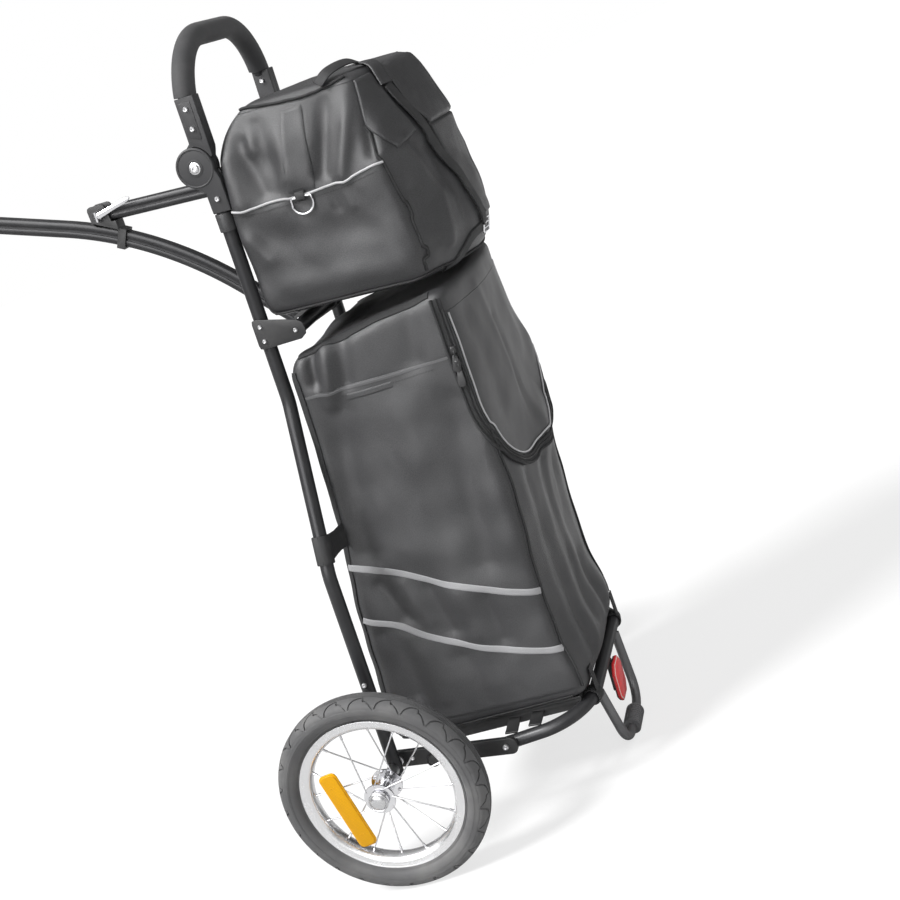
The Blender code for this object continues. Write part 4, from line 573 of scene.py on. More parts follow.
def box_outline(width: float, height: float, corner: float, steps: int = 3) -> list[Pair]:
    """A rounded rectangle about the origin."""
    u, v = width / 2 - corner, height / 2 - corner
    line = []
    for k, (a, b) in enumerate(((u, v), (-u, v), (-u, -v), (u, -v))):
        for step in range(steps + 1):
            turn = math.pi / 2 * (k + step / steps)
            line.append((a + corner * math.cos(turn), b + corner * math.sin(turn)))
    return line


def rounded(corners: Sequence[Vector], radius: float, steps: int = 14) -> list[Vector]:
    """A line through corners, each inner one turned into an arc of at most that radius."""
    line = [corners[0]]
    for before, corner, after in zip(corners[:-2], corners[1:-1], corners[2:]):
        back, ahead = before - corner, after - corner
        half = back.angle(ahead) / 2
        reach = min(radius / math.tan(half), 0.49 * back.length, 0.49 * ahead.length)
        bend = reach * math.tan(half)
        middle = corner + (back.normalized() + ahead.normalized()).normalized() * bend / math.sin(half)
        start = (corner + back.normalized() * reach - middle).normalized()
        end = (corner + ahead.normalized() * reach - middle).normalized()
        line += [middle + start.slerp(end, step / steps) * bend for step in range(steps + 1)]
    return line + [corners[-1]]


def curved(points: Sequence[Vector], steps: int = 8) -> list[Vector]:
    """A smooth line through every point."""
    ends = [2 * points[0] - points[1], *points, 2 * points[-1] - points[-2]]
    line = []
    for a, b, c, d in zip(ends[:-3], ends[1:-2], ends[2:-1], ends[3:]):
        for step in range(steps):
            t = step / steps
            line.append(
                0.5
                * (2 * b + (c - a) * t + (2 * a - 5 * b + 4 * c - d) * t**2 + (3 * b - a - 3 * c + d) * t**3)
            )
    return line + [points[-1]]


def directions(path: Sequence[Vector], closed: bool = False) -> list[Vector]:
    """The way the path runs at each of its points."""
    count = len(path)
    ways = []
    for k in range(count):
        before = path[k - 1] if closed or k else path[k]
        after = path[(k + 1) % count] if closed or k < count - 1 else path[k]
        ways.append((after - before).normalized())
    return ways


def sweep(
    path: Sequence[Vector], outline: Sequence[Pair], side: Vector, closed: bool = False, capped: bool = True
) -> Shape:
    """Carries a closed outline of (along side, across) pairs along a path.

    Args:
        path: the points of the middle line.
        outline: the section.
        side: a way that stays roughly square to the path.
        closed: whether the path is a loop.
        capped: whether the ends are shut.

    Returns:
        The swept shape, its flat places along the path and round the section.
    """
    rows = []
    across = side
    for point, way in zip(path, directions(path, closed)):
        across = (across - way * across.dot(way)).normalized()
        other = way.cross(across)
        rows.append([point + across * u + other * v for u, v in outline])
    shape = loft(rows) if capped and not closed else sheet_of(rows, round_u=True, round_v=closed)
    shape.flat = [(v, u) for u, v in shape.flat]
    return shape


def pipe(path: Sequence[Vector], side: Vector, radius: float, wall: float = 0.0, sides: int = 28) -> Shape:
    """A round tube or bar; a wall leaves it open at its ends."""
    if not wall:
        return sweep(path, circle(radius, sides), side)
    shape = sweep(path, circle(radius, sides), side, capped=False)
    inner = sweep(path, circle(radius - wall, sides), side, capped=False)
    count, last = len(shape.points), len(shape.points) - sides
    inner.faces = [tuple(reversed(face)) for face in inner.faces]
    shape.add(inner)
    for k in range(sides):
        j = (k + 1) % sides
        shape.faces.append((k, count + k, count + j, j))
        shape.faces.append((last + j, count + last + j, count + last + k, last + k))
    return shape


def lathe(profile: Sequence[Pair], segments: int = 48, ring: bool = False) -> Shape:
    """Turns (x, radius) pairs round the x axis: a ring from a closed profile, else shut at its ends."""
    rows = []
    for k in range(segments):
        turn = 2 * math.pi * k / segments
        rows.append([Vector((x, r * math.sin(turn), r * math.cos(turn))) for x, r in profile])
    shape = sheet_of(rows, round_u=ring, round_v=True)
    if not ring:
        for end in (0, len(profile) - 1):
            shape.faces.append(tuple(k * len(profile) + end for k in range(segments)))
    return shape


def arc(middle: Pair, radius: float, degrees: Sequence[int]) -> list[Pair]:
    """Pairs on a circle, one for each of the degrees."""
    return [
        (middle[0] + radius * math.cos(turn), middle[1] + radius * math.sin(turn))
        for turn in map(math.radians, degrees)
    ]


def facing(place: Vector, sign: float) -> Matrix:
    """Puts a part at a place, its x axis towards one side."""
    return Matrix.Translation(place) @ Matrix.Scale(sign, 4, ACROSS)


def cuff(half: float, edge: float, inside: float, outside: float, crown: float) -> Shape:
    """A band of webbing round the x axis, thinner towards its two edges."""
    line = [(-half, inside), (-half, outside), (-edge, crown), (edge, crown), (half, outside), (half, inside)]
    return lathe(line, 40, ring=True)


def prism(outline: Sequence[Pair], low: float, high: float) -> Shape:
    """Extrudes a (y, z) outline along x."""
    ends = sorted((low, high))
    return sweep([Vector((x, 0, 0)) for x in ends], outline, AHEAD)


def softened(points: Sequence[Pair], steps: int = 5, closed: bool = False) -> list[Pair]:
    """A smooth outline of pairs through every point."""
    line = [Vector((u, v, 0.0)) for u, v in points]
    if closed:
        line = line[-2:] + line + line[:3]
    smooth = curved(line, steps)
    if closed:
        smooth = smooth[2 * steps : -3 * steps + steps]
        smooth = smooth[: len(points) * steps]
    return [(point.x, point.y) for point in smooth]


@dataclass
class Bevel:
    """How a piece's edges are eased."""

    width: float = 0.0006
    segments: int = 2
    angle: float = math.radians(32)


def linked(name: str, mesh: bpy.types.Mesh) -> bpy.types.Object:
    """A new object in the scene that shows a mesh."""
    made = bpy.data.objects.new(name, mesh)
    bpy.context.collection.objects.link(made)
    return made


def mesh_object(name: str, shape: Shape, place: Matrix) -> bpy.types.Object:
    """A mesh object with its place in its mesh, its faces outwards and its flat places as UVs.

    Args:
        name: the object's name.
        shape: what to build.
        place: from the shape's axes to the world's.

    Returns:
        The linked object, at the origin.
    """
    mesh = bpy.data.meshes.new(name)
    mesh.from_pydata([tuple(place @ point) for point in shape.points], [], shape.faces)
    if len(shape.flat) == len(shape.points):
        layer = mesh.uv_layers.new(name="UVMap")
        corners = np.empty(len(mesh.loops), np.int32)
        mesh.loops.foreach_get("vertex_index", corners)
        layer.data.foreach_set("uv", np.array(shape.flat, np.float32)[corners].ravel())
    skin = bmesh.new()
    skin.from_mesh(mesh)
    bmesh.ops.remove_doubles(skin, verts=skin.verts, dist=1e-6)
    bmesh.ops.recalc_face_normals(skin, faces=skin.faces)
    skin.to_mesh(mesh)
    skin.free()
    return linked(name, mesh)


def apply_modifiers(made: bpy.types.Object) -> bpy.types.Object:
    """Turns the object's modifiers into its mesh and drops them."""
    bpy.context.view_layer.update()
    seen = made.evaluated_get(bpy.context.evaluated_depsgraph_get())
    mesh = bpy.data.meshes.new_from_object(seen)
    made.modifiers.clear()
    made.data = mesh
    return made


def hand_over(
    made: bpy.types.Object, finish: Finish, body: str, replaces: Sequence[str] = (), sharp: float = 40.0,
    bends: bool = False
) -> bpy.types.Object:
    """Paints a finished piece, shades it and lets it ride on its body, unless it is marked to bend, when it
    stays fixed in place.

    Args:
        made: the piece.
        finish: its finish.
        body: the body that carries it.
        replaces: the solids that it stands for.
        sharp: edges bent more than this many degrees stay crisp.
        bends: it stays fixed in place with its place baked into its mesh, instead of riding on its body; its
            body's hinge is looked up, but nothing bends it.

    Returns:
        The piece.
    """
    made.data.materials.clear()
    made.data.materials.append(finish.material())
    made.data.shade_smooth()
    made.data.set_sharp_from_angle(angle=math.radians(sharp))
    made.data.name = made.name
    if not bends:
        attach(made, body)
    if replaces:
        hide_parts(*replaces)
    if bends:
        start, end = (TRAILER.matrix @ Vector(place) for place in CLOTH_HINGES[body])
        tuple(start)
        tuple(end)
        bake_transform(made)
    LOG.info("%s: %d faces on %s", made.name, len(made.data.polygons), body)
    return made


def build(
    name: str,
    shape: Shape,
    finish: Finish,
    body: str,
    replaces: Sequence[str] = (),
    place: Optional[Matrix] = None,
    bevel: Optional[Bevel] = None,
    sharp: float = 40.0,
    bends: bool = False,
) -> bpy.types.Object:
    """Makes, eases and hands over one piece.

    Args:
        name: the piece's name.
        shape: its form, in the trailer's axes unless a place is given.
        finish: its finish.
        body: the body that carries it.
        replaces: the solids that it stands for.
        place: from the shape's axes to the world's.
        bevel: how its edges are eased.
        sharp: edges bent more than this many degrees stay crisp.
        bends: it stays fixed in place instead of riding on its body; nothing bends it.

    Returns:
        The piece.
    """
    made = mesh_object(name, shape, TRAILER.matrix if place is None else place)
    if bevel:
        ease(made, bevel)
    return hand_over(made, finish, body, replaces, sharp, bends)


def ease(made: bpy.types.Object, bevel: Bevel) -> None:
    """Rounds the sharp edges of a mesh."""
    modifier = made.modifiers.new("ease", "BEVEL")
    modifier.width, modifier.segments, modifier.angle_limit = bevel.width, bevel.segments, bevel.angle
    modifier.limit_method = "ANGLE"
    modifier.use_clamp_overlap = True
    modifier.harden_normals = False
    apply_modifiers(made)


def dressed_copy(node: str, name: str, finish: Finish, body: str, bevel: Bevel = Bevel()) -> bpy.types.Object:
    """A copy of a solid with merged faces and eased edges, in its place.

    Args:
        node: the solid's name.
        name: the piece's name.
        finish: its finish.
        body: the body that carries it.
        bevel: how its edges are eased.

    Returns:
        The piece.
    """
    made = linked(name, frame["nodes"][node].data.copy())
    skin = bmesh.new()
    skin.from_mesh(made.data)
    bmesh.ops.remove_doubles(skin, verts=skin.verts, dist=2e-5)
    bmesh.ops.dissolve_limit(skin, angle_limit=math.radians(1.5), verts=skin.verts, edges=skin.edges)
    skin.to_mesh(made.data)
    skin.free()
    ease(made, bevel)
    return hand_over(made, finish, body, [node])


class NodeTool:
    """A geometry node tree with named inputs, run once on an object."""

    def __init__(self, name: str, sockets: dict[str, str], wire: Callable) -> None:
        """Builds the tree.

        Args:
            name: the tree's name.
            sockets: each input's socket type, by name.
            wire: takes the Nodes and the inputs by name, and returns the geometry to keep.
        """
        self.tree = bpy.data.node_groups.new(name, "GeometryNodeTree")
        self.tree.interface.new_socket("Geometry", in_out="INPUT", socket_type="NodeSocketGeometry")
        for key, kind in sockets.items():
            self.tree.interface.new_socket(key, in_out="INPUT", socket_type=kind)
        self.tree.interface.new_socket("Material", in_out="INPUT", socket_type="NodeSocketMaterial")
        self.tree.interface.new_socket("Geometry", in_out="OUTPUT", socket_type="NodeSocketGeometry")
        nodes = Nodes(self.tree)
        start = nodes.add("NodeGroupInput")
        given = {socket.name: socket for socket in start.outputs if socket.name}
        real = nodes.add("GeometryNodeRealizeInstances", {0: wire(nodes, given)})
        paint = nodes.add(
            "GeometryNodeSetMaterial", {"Geometry": real.outputs[0], "Material": given["Material"]}
        )
        end = nodes.add("NodeGroupOutput")
        self.tree.links.new(paint.outputs[0], end.inputs[0])

    def run(self, base: bpy.types.Object, finish: Finish, **values: object) -> bpy.types.Object:
        """Runs the tree on an object and keeps the result as its plain mesh.

        Args:
            base: the object.
            finish: the finish that the tree sets.
            values: the inputs, by name.

        Returns:
            The object.
        """
        modifier = base.modifiers.new(self.tree.name, "NODES")
        modifier.node_group = self.tree
        keys = {
            item.name: item.identifier for item in self.tree.interface.items_tree if item.in_out == "INPUT"
        }
        modifier[keys["Material"]] = finish.material()
        for key, value in values.items():
            modifier[keys[key]] = value
        return apply_modifiers(base)

    def copy_part(
        self, base: bpy.types.Object, part: Shape, finish: Finish, bevel: Optional[
            Bevel
        ] = None, **values: object
    ) -> bpy.types.Object:
        """Fills an object with copies of a part.

        Args:
            base: the object.
            part: the part, in its own axes.
            finish: the finish that the tree sets.
            bevel: how the part's edges are eased.
            values: the tree's other inputs, by name.

        Returns:
            The object.
        """
        source = mesh_object(f"{base.name}_part", part, Matrix.Identity(4))
        if bevel:
            ease(source, bevel)
        self.run(base, finish, Part=source, **values)
        bpy.data.objects.remove(source)
        return base


def instances(nodes: Nodes, given: dict, **inputs: object) -> object:
    """Copies of the given part on points."""
    part = nodes.add("GeometryNodeObjectInfo", {"Object": given["Part"]}).outputs["Geometry"]
    return nodes.add("GeometryNodeInstanceOnPoints", {"Instance": part, **inputs}).outputs[0]


def wire_round(nodes: Nodes, given: dict) -> object:
    """Copies of a part turned round the x axis."""
    points = nodes.add("GeometryNodePoints", {"Count": given["Count"]})
    step = nodes.math("DIVIDE", 2 * math.pi, given["Count"])
    index = nodes.add("GeometryNodeInputIndex").outputs[0]
    turn = nodes.math("MULTIPLY_ADD", index, step, given["Phase"])
    rotation = nodes.add("ShaderNodeCombineXYZ", {0: turn}).outputs[0]
    return instances(nodes, given, Points=points.outputs[0], Rotation=rotation)


def wire_at_points(nodes: Nodes, given: dict) -> object:
    """Copies of a part on the base's points, its x axis along each point's aim."""
    aim = nodes.add("GeometryNodeInputNamedAttribute", {"Name": "aim"}, data_type="FLOAT_VECTOR").outputs[0]
    turn = nodes.add("FunctionNodeAlignRotationToVector", {"Vector": aim}, axis="X").outputs[0]
    size = nodes.add("GeometryNodeInputNamedAttribute", {"Name": "size"}, data_type="FLOAT").outputs[0]
    return instances(nodes, given, Points=given["Geometry"], Rotation=turn, Scale=size)


def wire_along(nodes: Nodes, given: dict) -> object:
    """Copies of a part along the base's edges, at an even spacing."""
    line = nodes.add("GeometryNodeMeshToCurve", {0: given["Geometry"]})
    even = nodes.add(
        "GeometryNodeResampleCurve", {"Curve": line.outputs[0], "Length": given["Spacing"]}, mode="LENGTH"
    )
    points = nodes.add("GeometryNodeCurveToPoints", {"Curve": even.outputs[0]}, mode="EVALUATED")
    turn = nodes.add(
        "FunctionNodeAlignRotationToVector", {"Vector": points.outputs["Tangent"]}, axis="X"
    ).outputs[0]
    return instances(nodes, given, Points=points.outputs[0], Rotation=turn)


ROUND_AXLE = NodeTool(
    "round the axle", {"Part": "NodeSocketObject", "Count": "NodeSocketInt", "Phase": "NodeSocketFloat"},
    wire_round
)
AT_POINTS = NodeTool("at points", {"Part": "NodeSocketObject"}, wire_at_points)
ALONG_LINE = NodeTool("along a line", {"Part": "NodeSocketObject", "Spacing": "NodeSocketFloat"}, wire_along)


def repeated_round(
    name: str, part: Shape, count: int, phase: float, finish: Finish, body: str, place: Matrix,
    replaces: Sequence[str] = (), bevel: Optional[Bevel] = None,
) -> bpy.types.Object:
    """A piece made of one part repeated round the x axis.

    Args:
        name: the piece's name.
        part: the part, in the wheel's axes.
        count: how many.
        phase: the first one's turn.
        finish: its finish.
        body: the body that carries it.
        place: from the wheel's axes to the world's.
        replaces: the solids that it stands for.
        bevel: how the part's edges are eased.

    Returns:
        The piece.
    """
    made = linked(name, bpy.data.meshes.new(name))
    ROUND_AXLE.copy_part(made, part, finish, bevel, Count=count, Phase=phase)
    made.data.transform(place)
    return hand_over(made, finish, body, replaces)


@dataclass(frozen=True)
class Spot:
    """Where a small fastener sits, which way it faces and its size against the part's."""

    place: Vector
    aim: Vector
    size: float = 1.0


def fasteners(
    name: str, part: Shape, spots: Sequence[Spot], finish: Finish, body: str, bevel: Optional[Bevel] = None
) -> bpy.types.Object:
    """A piece made of one part at several places.

    Args:
        name: the piece's name.
        part: the part, with its seat at the origin and its head along x.
        spots: where it sits.
        finish: its finish.
        body: the body that carries it.
        bevel: how the part's edges are eased.

    Returns:
        The piece.
    """
    mesh = bpy.data.meshes.new(name)
    mesh.from_pydata([tuple(TRAILER.matrix @ spot.place) for spot in spots], [], [])
    mesh.attributes.new("aim", "FLOAT_VECTOR", "POINT")
    mesh.attributes.new("size", "FLOAT", "POINT")
    turn = TRAILER.matrix.to_3x3()
    for k, spot in enumerate(spots):
        mesh.attributes["aim"].data[k].vector = turn @ spot.aim
        mesh.attributes["size"].data[k].value = spot.size
    return hand_over(AT_POINTS.copy_part(linked(name, mesh), part, finish, bevel), finish, body)


def line_object(
    name: str, lines: Sequence[Sequence[Vector]], part: Shape, spacing: float, finish: Finish, body: str
) -> bpy.types.Object:
    """A part repeated along lines.

    Args:
        name: the piece's name.
        lines: the lines, in the trailer's axes.
        part: the part, in its own axes, long along x.
        spacing: from part to part.
        finish: its finish.
        body: the body that carries it.

    Returns:
        The piece.
    """
    mesh = bpy.data.meshes.new(name)
    points, edges = [], []
    for line in lines:
        start = len(points)
        points += [tuple(TRAILER.matrix @ point) for point in line]
        edges += [(start + k, start + k + 1) for k in range(len(line) - 1)]
    mesh.from_pydata(points, edges, [])
    return hand_over(ALONG_LINE.copy_part(linked(name, mesh), part, finish, Spacing=spacing), finish, body)


def stitches(
    name: str, lines: Sequence[Sequence[Vector]], length: float, spacing: float, finish: Finish, body: str,
    radius: float = 0.0004
) -> bpy.types.Object:
    """Rows of stitches along lines.

    Args:
        name: the piece's name.
        lines: the lines, in the trailer's axes.
        length: one stitch's length.
        spacing: from stitch to stitch.
        finish: its finish.
        body: the body that carries it.
        radius: the thread's radius.

    Returns:
        The piece.
    """
    half = length / 2
    bow = [(-half, -radius), (-0.6 * half, 0.2 * radius), (0.6 * half, 0.2 * radius), (half, -radius)]
    part = sweep([Vector((x, 0.0, z)) for x, z in bow], circle(radius, 5), AHEAD)
    return line_object(name, lines, part, spacing, finish, body)


def socket_head(radius: float = 0.0042, height: float = 0.0034, recess: float = 0.5) -> Shape:
    """A domed screw head with a hexagonal recess, its seat at the origin and its head along x."""
    sides = 24
    profile = [
        (-0.001, radius), (0.35 * height, radius), (0.75 * height, 0.9 * radius), (height, 0.68 * radius)
    ]
    rows = [
        [
            Vector((x, r * math.sin(2 * math.pi * k / sides), r * math.cos(2 * math.pi * k / sides)))
            for k in range(sides)
        ]
        for x, r in profile
    ]
    flat = math.cos(math.pi / 6)
    for x in (height * 0.98, height * 0.35):
        row = []
        for k in range(sides):
            turn = 2 * math.pi * k / sides
            reach = recess * radius * flat / math.cos((turn % (math.pi / 3)) - math.pi / 6)
            row.append(Vector((x, reach * math.sin(turn), reach * math.cos(turn))))
        rows.append(row)
    shape = sheet_of(rows, round_u=True)
    shape.faces += [tuple(range(sides)), tuple((len(rows) - 1) * sides + k for k in range(sides))]
    return shape


def hex_nut(radius: float = 0.0065, height: float = 0.005) -> Shape:
    """A hexagonal head with a washer under it and a turned crown."""
    washer = lathe([(-0.0006, 1.25 * radius), (0.0007, 1.25 * radius), (0.0011, 1.15 * radius)], 28)
    nut = prism(
        [(radius * math.cos(math.pi * k / 3), radius * math.sin(math.pi * k / 3)) for k in range(6)], 0.0009,
        height
    )
    crown = lathe(
        [(height - 0.0002, 0.8 * radius), (height + 0.0005, 0.72 * radius), (height + 0.0012, 0.3 * radius)],
        24
    )
    return washer.add(nut).add(crown)


@dataclass(frozen=True)
class Stage:
    """The camera, the lights and the white sweep round the trailer."""

    place: tuple[float, float, float] = (-2.1791, -1.0958, 1.1675)
    look: tuple[float, float, float] = (0.9077, 0.3401, -0.2457)
    roll: float = math.radians(25.308)
    lens: float = 58.03
    floor_size: float = 60.0
    floor_grey: float = 0.985
    dim_floor: float = 0.45
    mirrored_floor: float = 0.62
    fill: float = 0.22
    rear_fill: float = 1.05
    softbox: float = 7.5
    softbox_way: tuple[float, float, float] = (-0.86, 0.2, 0.5)
    softbox_from: float = math.radians(32)
    softbox_to: float = math.radians(12)
    floor_glow: float = 0.72
    sun: float = 3.9
    sun_way: tuple[float, float, float] = (0.42, -0.46, -0.78)
    sun_angle: float = math.radians(16)

    def set_up(self) -> None:
        """Puts the camera, the sun, the world and the floor in the scene."""
        scene = bpy.context.scene
        scene.view_settings.view_transform = "Standard"
        camera = bpy.data.objects.new("camera", bpy.data.cameras.new("camera"))
        camera.data.lens = self.lens
        camera.data.sensor_width = 36.0
        camera.data.clip_start, camera.data.clip_end = 0.05, 200.0
        forward = Vector(self.look).normalized()
        level = forward.cross(UPWARD).normalized()
        upright = level.cross(forward)
        up = upright * math.cos(self.roll) + forward.cross(upright) * math.sin(self.roll)
        turn = Matrix((forward.cross(up), up, -forward)).transposed().to_4x4()
        camera.matrix_world = Matrix.Translation(Vector(self.place)) @ turn
        scene.camera = camera

        sun = bpy.data.objects.new("sun", bpy.data.lights.new("sun", "SUN"))
        sun.data.energy, sun.data.angle = self.sun, self.sun_angle
        sun.matrix_world = Vector(self.sun_way).to_track_quat("-Z", "Y").to_matrix().to_4x4()
        floor = self.floor()
        for made in (camera, sun, floor):
            bpy.context.collection.objects.link(made)
        scene.world = self.world()
        LOG.info("stage set")

    def floor(self) -> bpy.types.Object:
        """A floor that looks white to the camera and in reflections, and keeps the shadow.

        Returns:
            The floor.
        """
        half = self.floor_size / 2
        mesh = bpy.data.meshes.new("floor")
        mesh.from_pydata(
            [(-half, -half, 0), (half, -half, 0), (half, half, 0), (-half, half, 0)], [], [(0, 1, 2, 3)]
        )
        paint = bpy.data.materials.new("white floor")
        paint.use_nodes = True
        tree = paint.node_tree
        nodes = Nodes(tree)
        tree.nodes.remove(tree.nodes["Principled BSDF"])
        light = nodes.add("ShaderNodeLightPath")
        seen = nodes.math("MAXIMUM", light.outputs["Is Camera Ray"], light.outputs["Is Transmission Ray"])
        grey = nodes.span(seen, 0.0, 1.0, self.dim_floor, self.floor_grey)
        grey = nodes.math(
            "MAXIMUM", grey, nodes.math("MULTIPLY", light.outputs["Is Glossy Ray"], self.mirrored_floor)
        )
        matt = nodes.add("ShaderNodeBsdfDiffuse", {"Color": grey})
        glow = nodes.add("ShaderNodeEmission", {"Color": (1.0, 1.0, 1.0, 1.0), "Strength": 1.0})
        share = nodes.math("MULTIPLY", seen, self.floor_glow)
        mixed = nodes.add("ShaderNodeMixShader", {0: share, 1: matt.outputs[0], 2: glow.outputs[0]})
        tree.links.new(mixed.outputs[0], tree.nodes["Material Output"].inputs["Surface"])
        mesh.materials.append(paint)
        return bpy.data.objects.new("floor", mesh)

    def world(self) -> bpy.types.World:
        """White to the camera; a softly banded studio in reflections; an even fill for the rest.

        Returns:
            The world.
        """
        world = bpy.data.worlds.new("studio")
        world.use_nodes = True
        tree = world.node_tree
        nodes = Nodes(tree)
        light = nodes.add("ShaderNodeLightPath")
        place = nodes.add("ShaderNodeTexCoord").outputs["Generated"]
        parts = nodes.add("ShaderNodeSeparateXYZ", {0: place})
        band = nodes.span(parts.outputs[2], 0.05, 0.5, 0.1, 0.8)
        side = nodes.span(parts.outputs[0], -0.2, 0.75, 1.0, 0.35)
        studio = nodes.math("MULTIPLY", band, side)
        way = Vector(self.softbox_way).normalized()
        across = nodes.add(
            "ShaderNodeVectorMath", {0: place, 1: tuple(way)}, operation="DOT_PRODUCT"
        ).outputs["Value"]
        softbox = nodes.span(
            across, math.cos(self.softbox_from), math.cos(self.softbox_to), 0.0, self.softbox
        )
        glossy = nodes.add("ShaderNodeBackground", {"Strength": nodes.math("ADD", studio, softbox)})
        soft = nodes.add(
            "ShaderNodeBackground",
            {"Strength": nodes.span(parts.outputs[1], -0.9, 0.1, self.rear_fill, self.fill)}
        )
        white = nodes.add("ShaderNodeBackground", {"Strength": 1.0})
        for background in (glossy, soft, white):
            background.inputs["Color"].default_value = (1.0, 1.0, 1.0, 1.0)
        first = nodes.add(
            "ShaderNodeMixShader",
            {0: light.outputs["Is Glossy Ray"], 1: soft.outputs[0], 2: glossy.outputs[0]}
        )
        seen = nodes.math("MAXIMUM", light.outputs["Is Camera Ray"], light.outputs["Is Transmission Ray"])
        last = nodes.add("ShaderNodeMixShader", {0: seen, 1: first.outputs[0], 2: white.outputs[0]})
        tree.links.new(last.outputs[0], tree.nodes["World Output"].inputs["Surface"])
        return world


@dataclass(frozen=True)
class WheelSizes:
    """The wheel's sections and counts, about its own axle."""

    crown: float = 0.17305
    rim: float = 0.134
    half_width: float = 0.0235
    blocks: int = 24
    groove: float = 0.0024
    depth: float = 0.0019
    band_start: float = 0.0046
    scallop: tuple[tuple[float, float], ...] = (
        (0.0, 0.0), (0.03, 0.3), (0.08, 0.55), (0.2, 0.8), (0.35, 0.93), (0.48, 0.99), (0.545, 1.0),
        (0.57, 0.7), (0.64, 0.69), (0.75, 0.55), (0.88, 0.28), (0.96, 0.1), (1.0, 0.0),
    )
    spokes: int = 8
    spoke: float = 0.0012
    spoke_foot: float = 0.022
    spoke_head: float = 0.1196
    flange: float = 0.022
    head: float = 0.002
    sweep: float = math.radians(34)
    reflector_turn: float = math.radians(95.6)
    reflector_x: float = 0.01723
    reflector_length: float = 0.14
    reflector_width: float = 0.032
    reflector_distance: float = 0.063


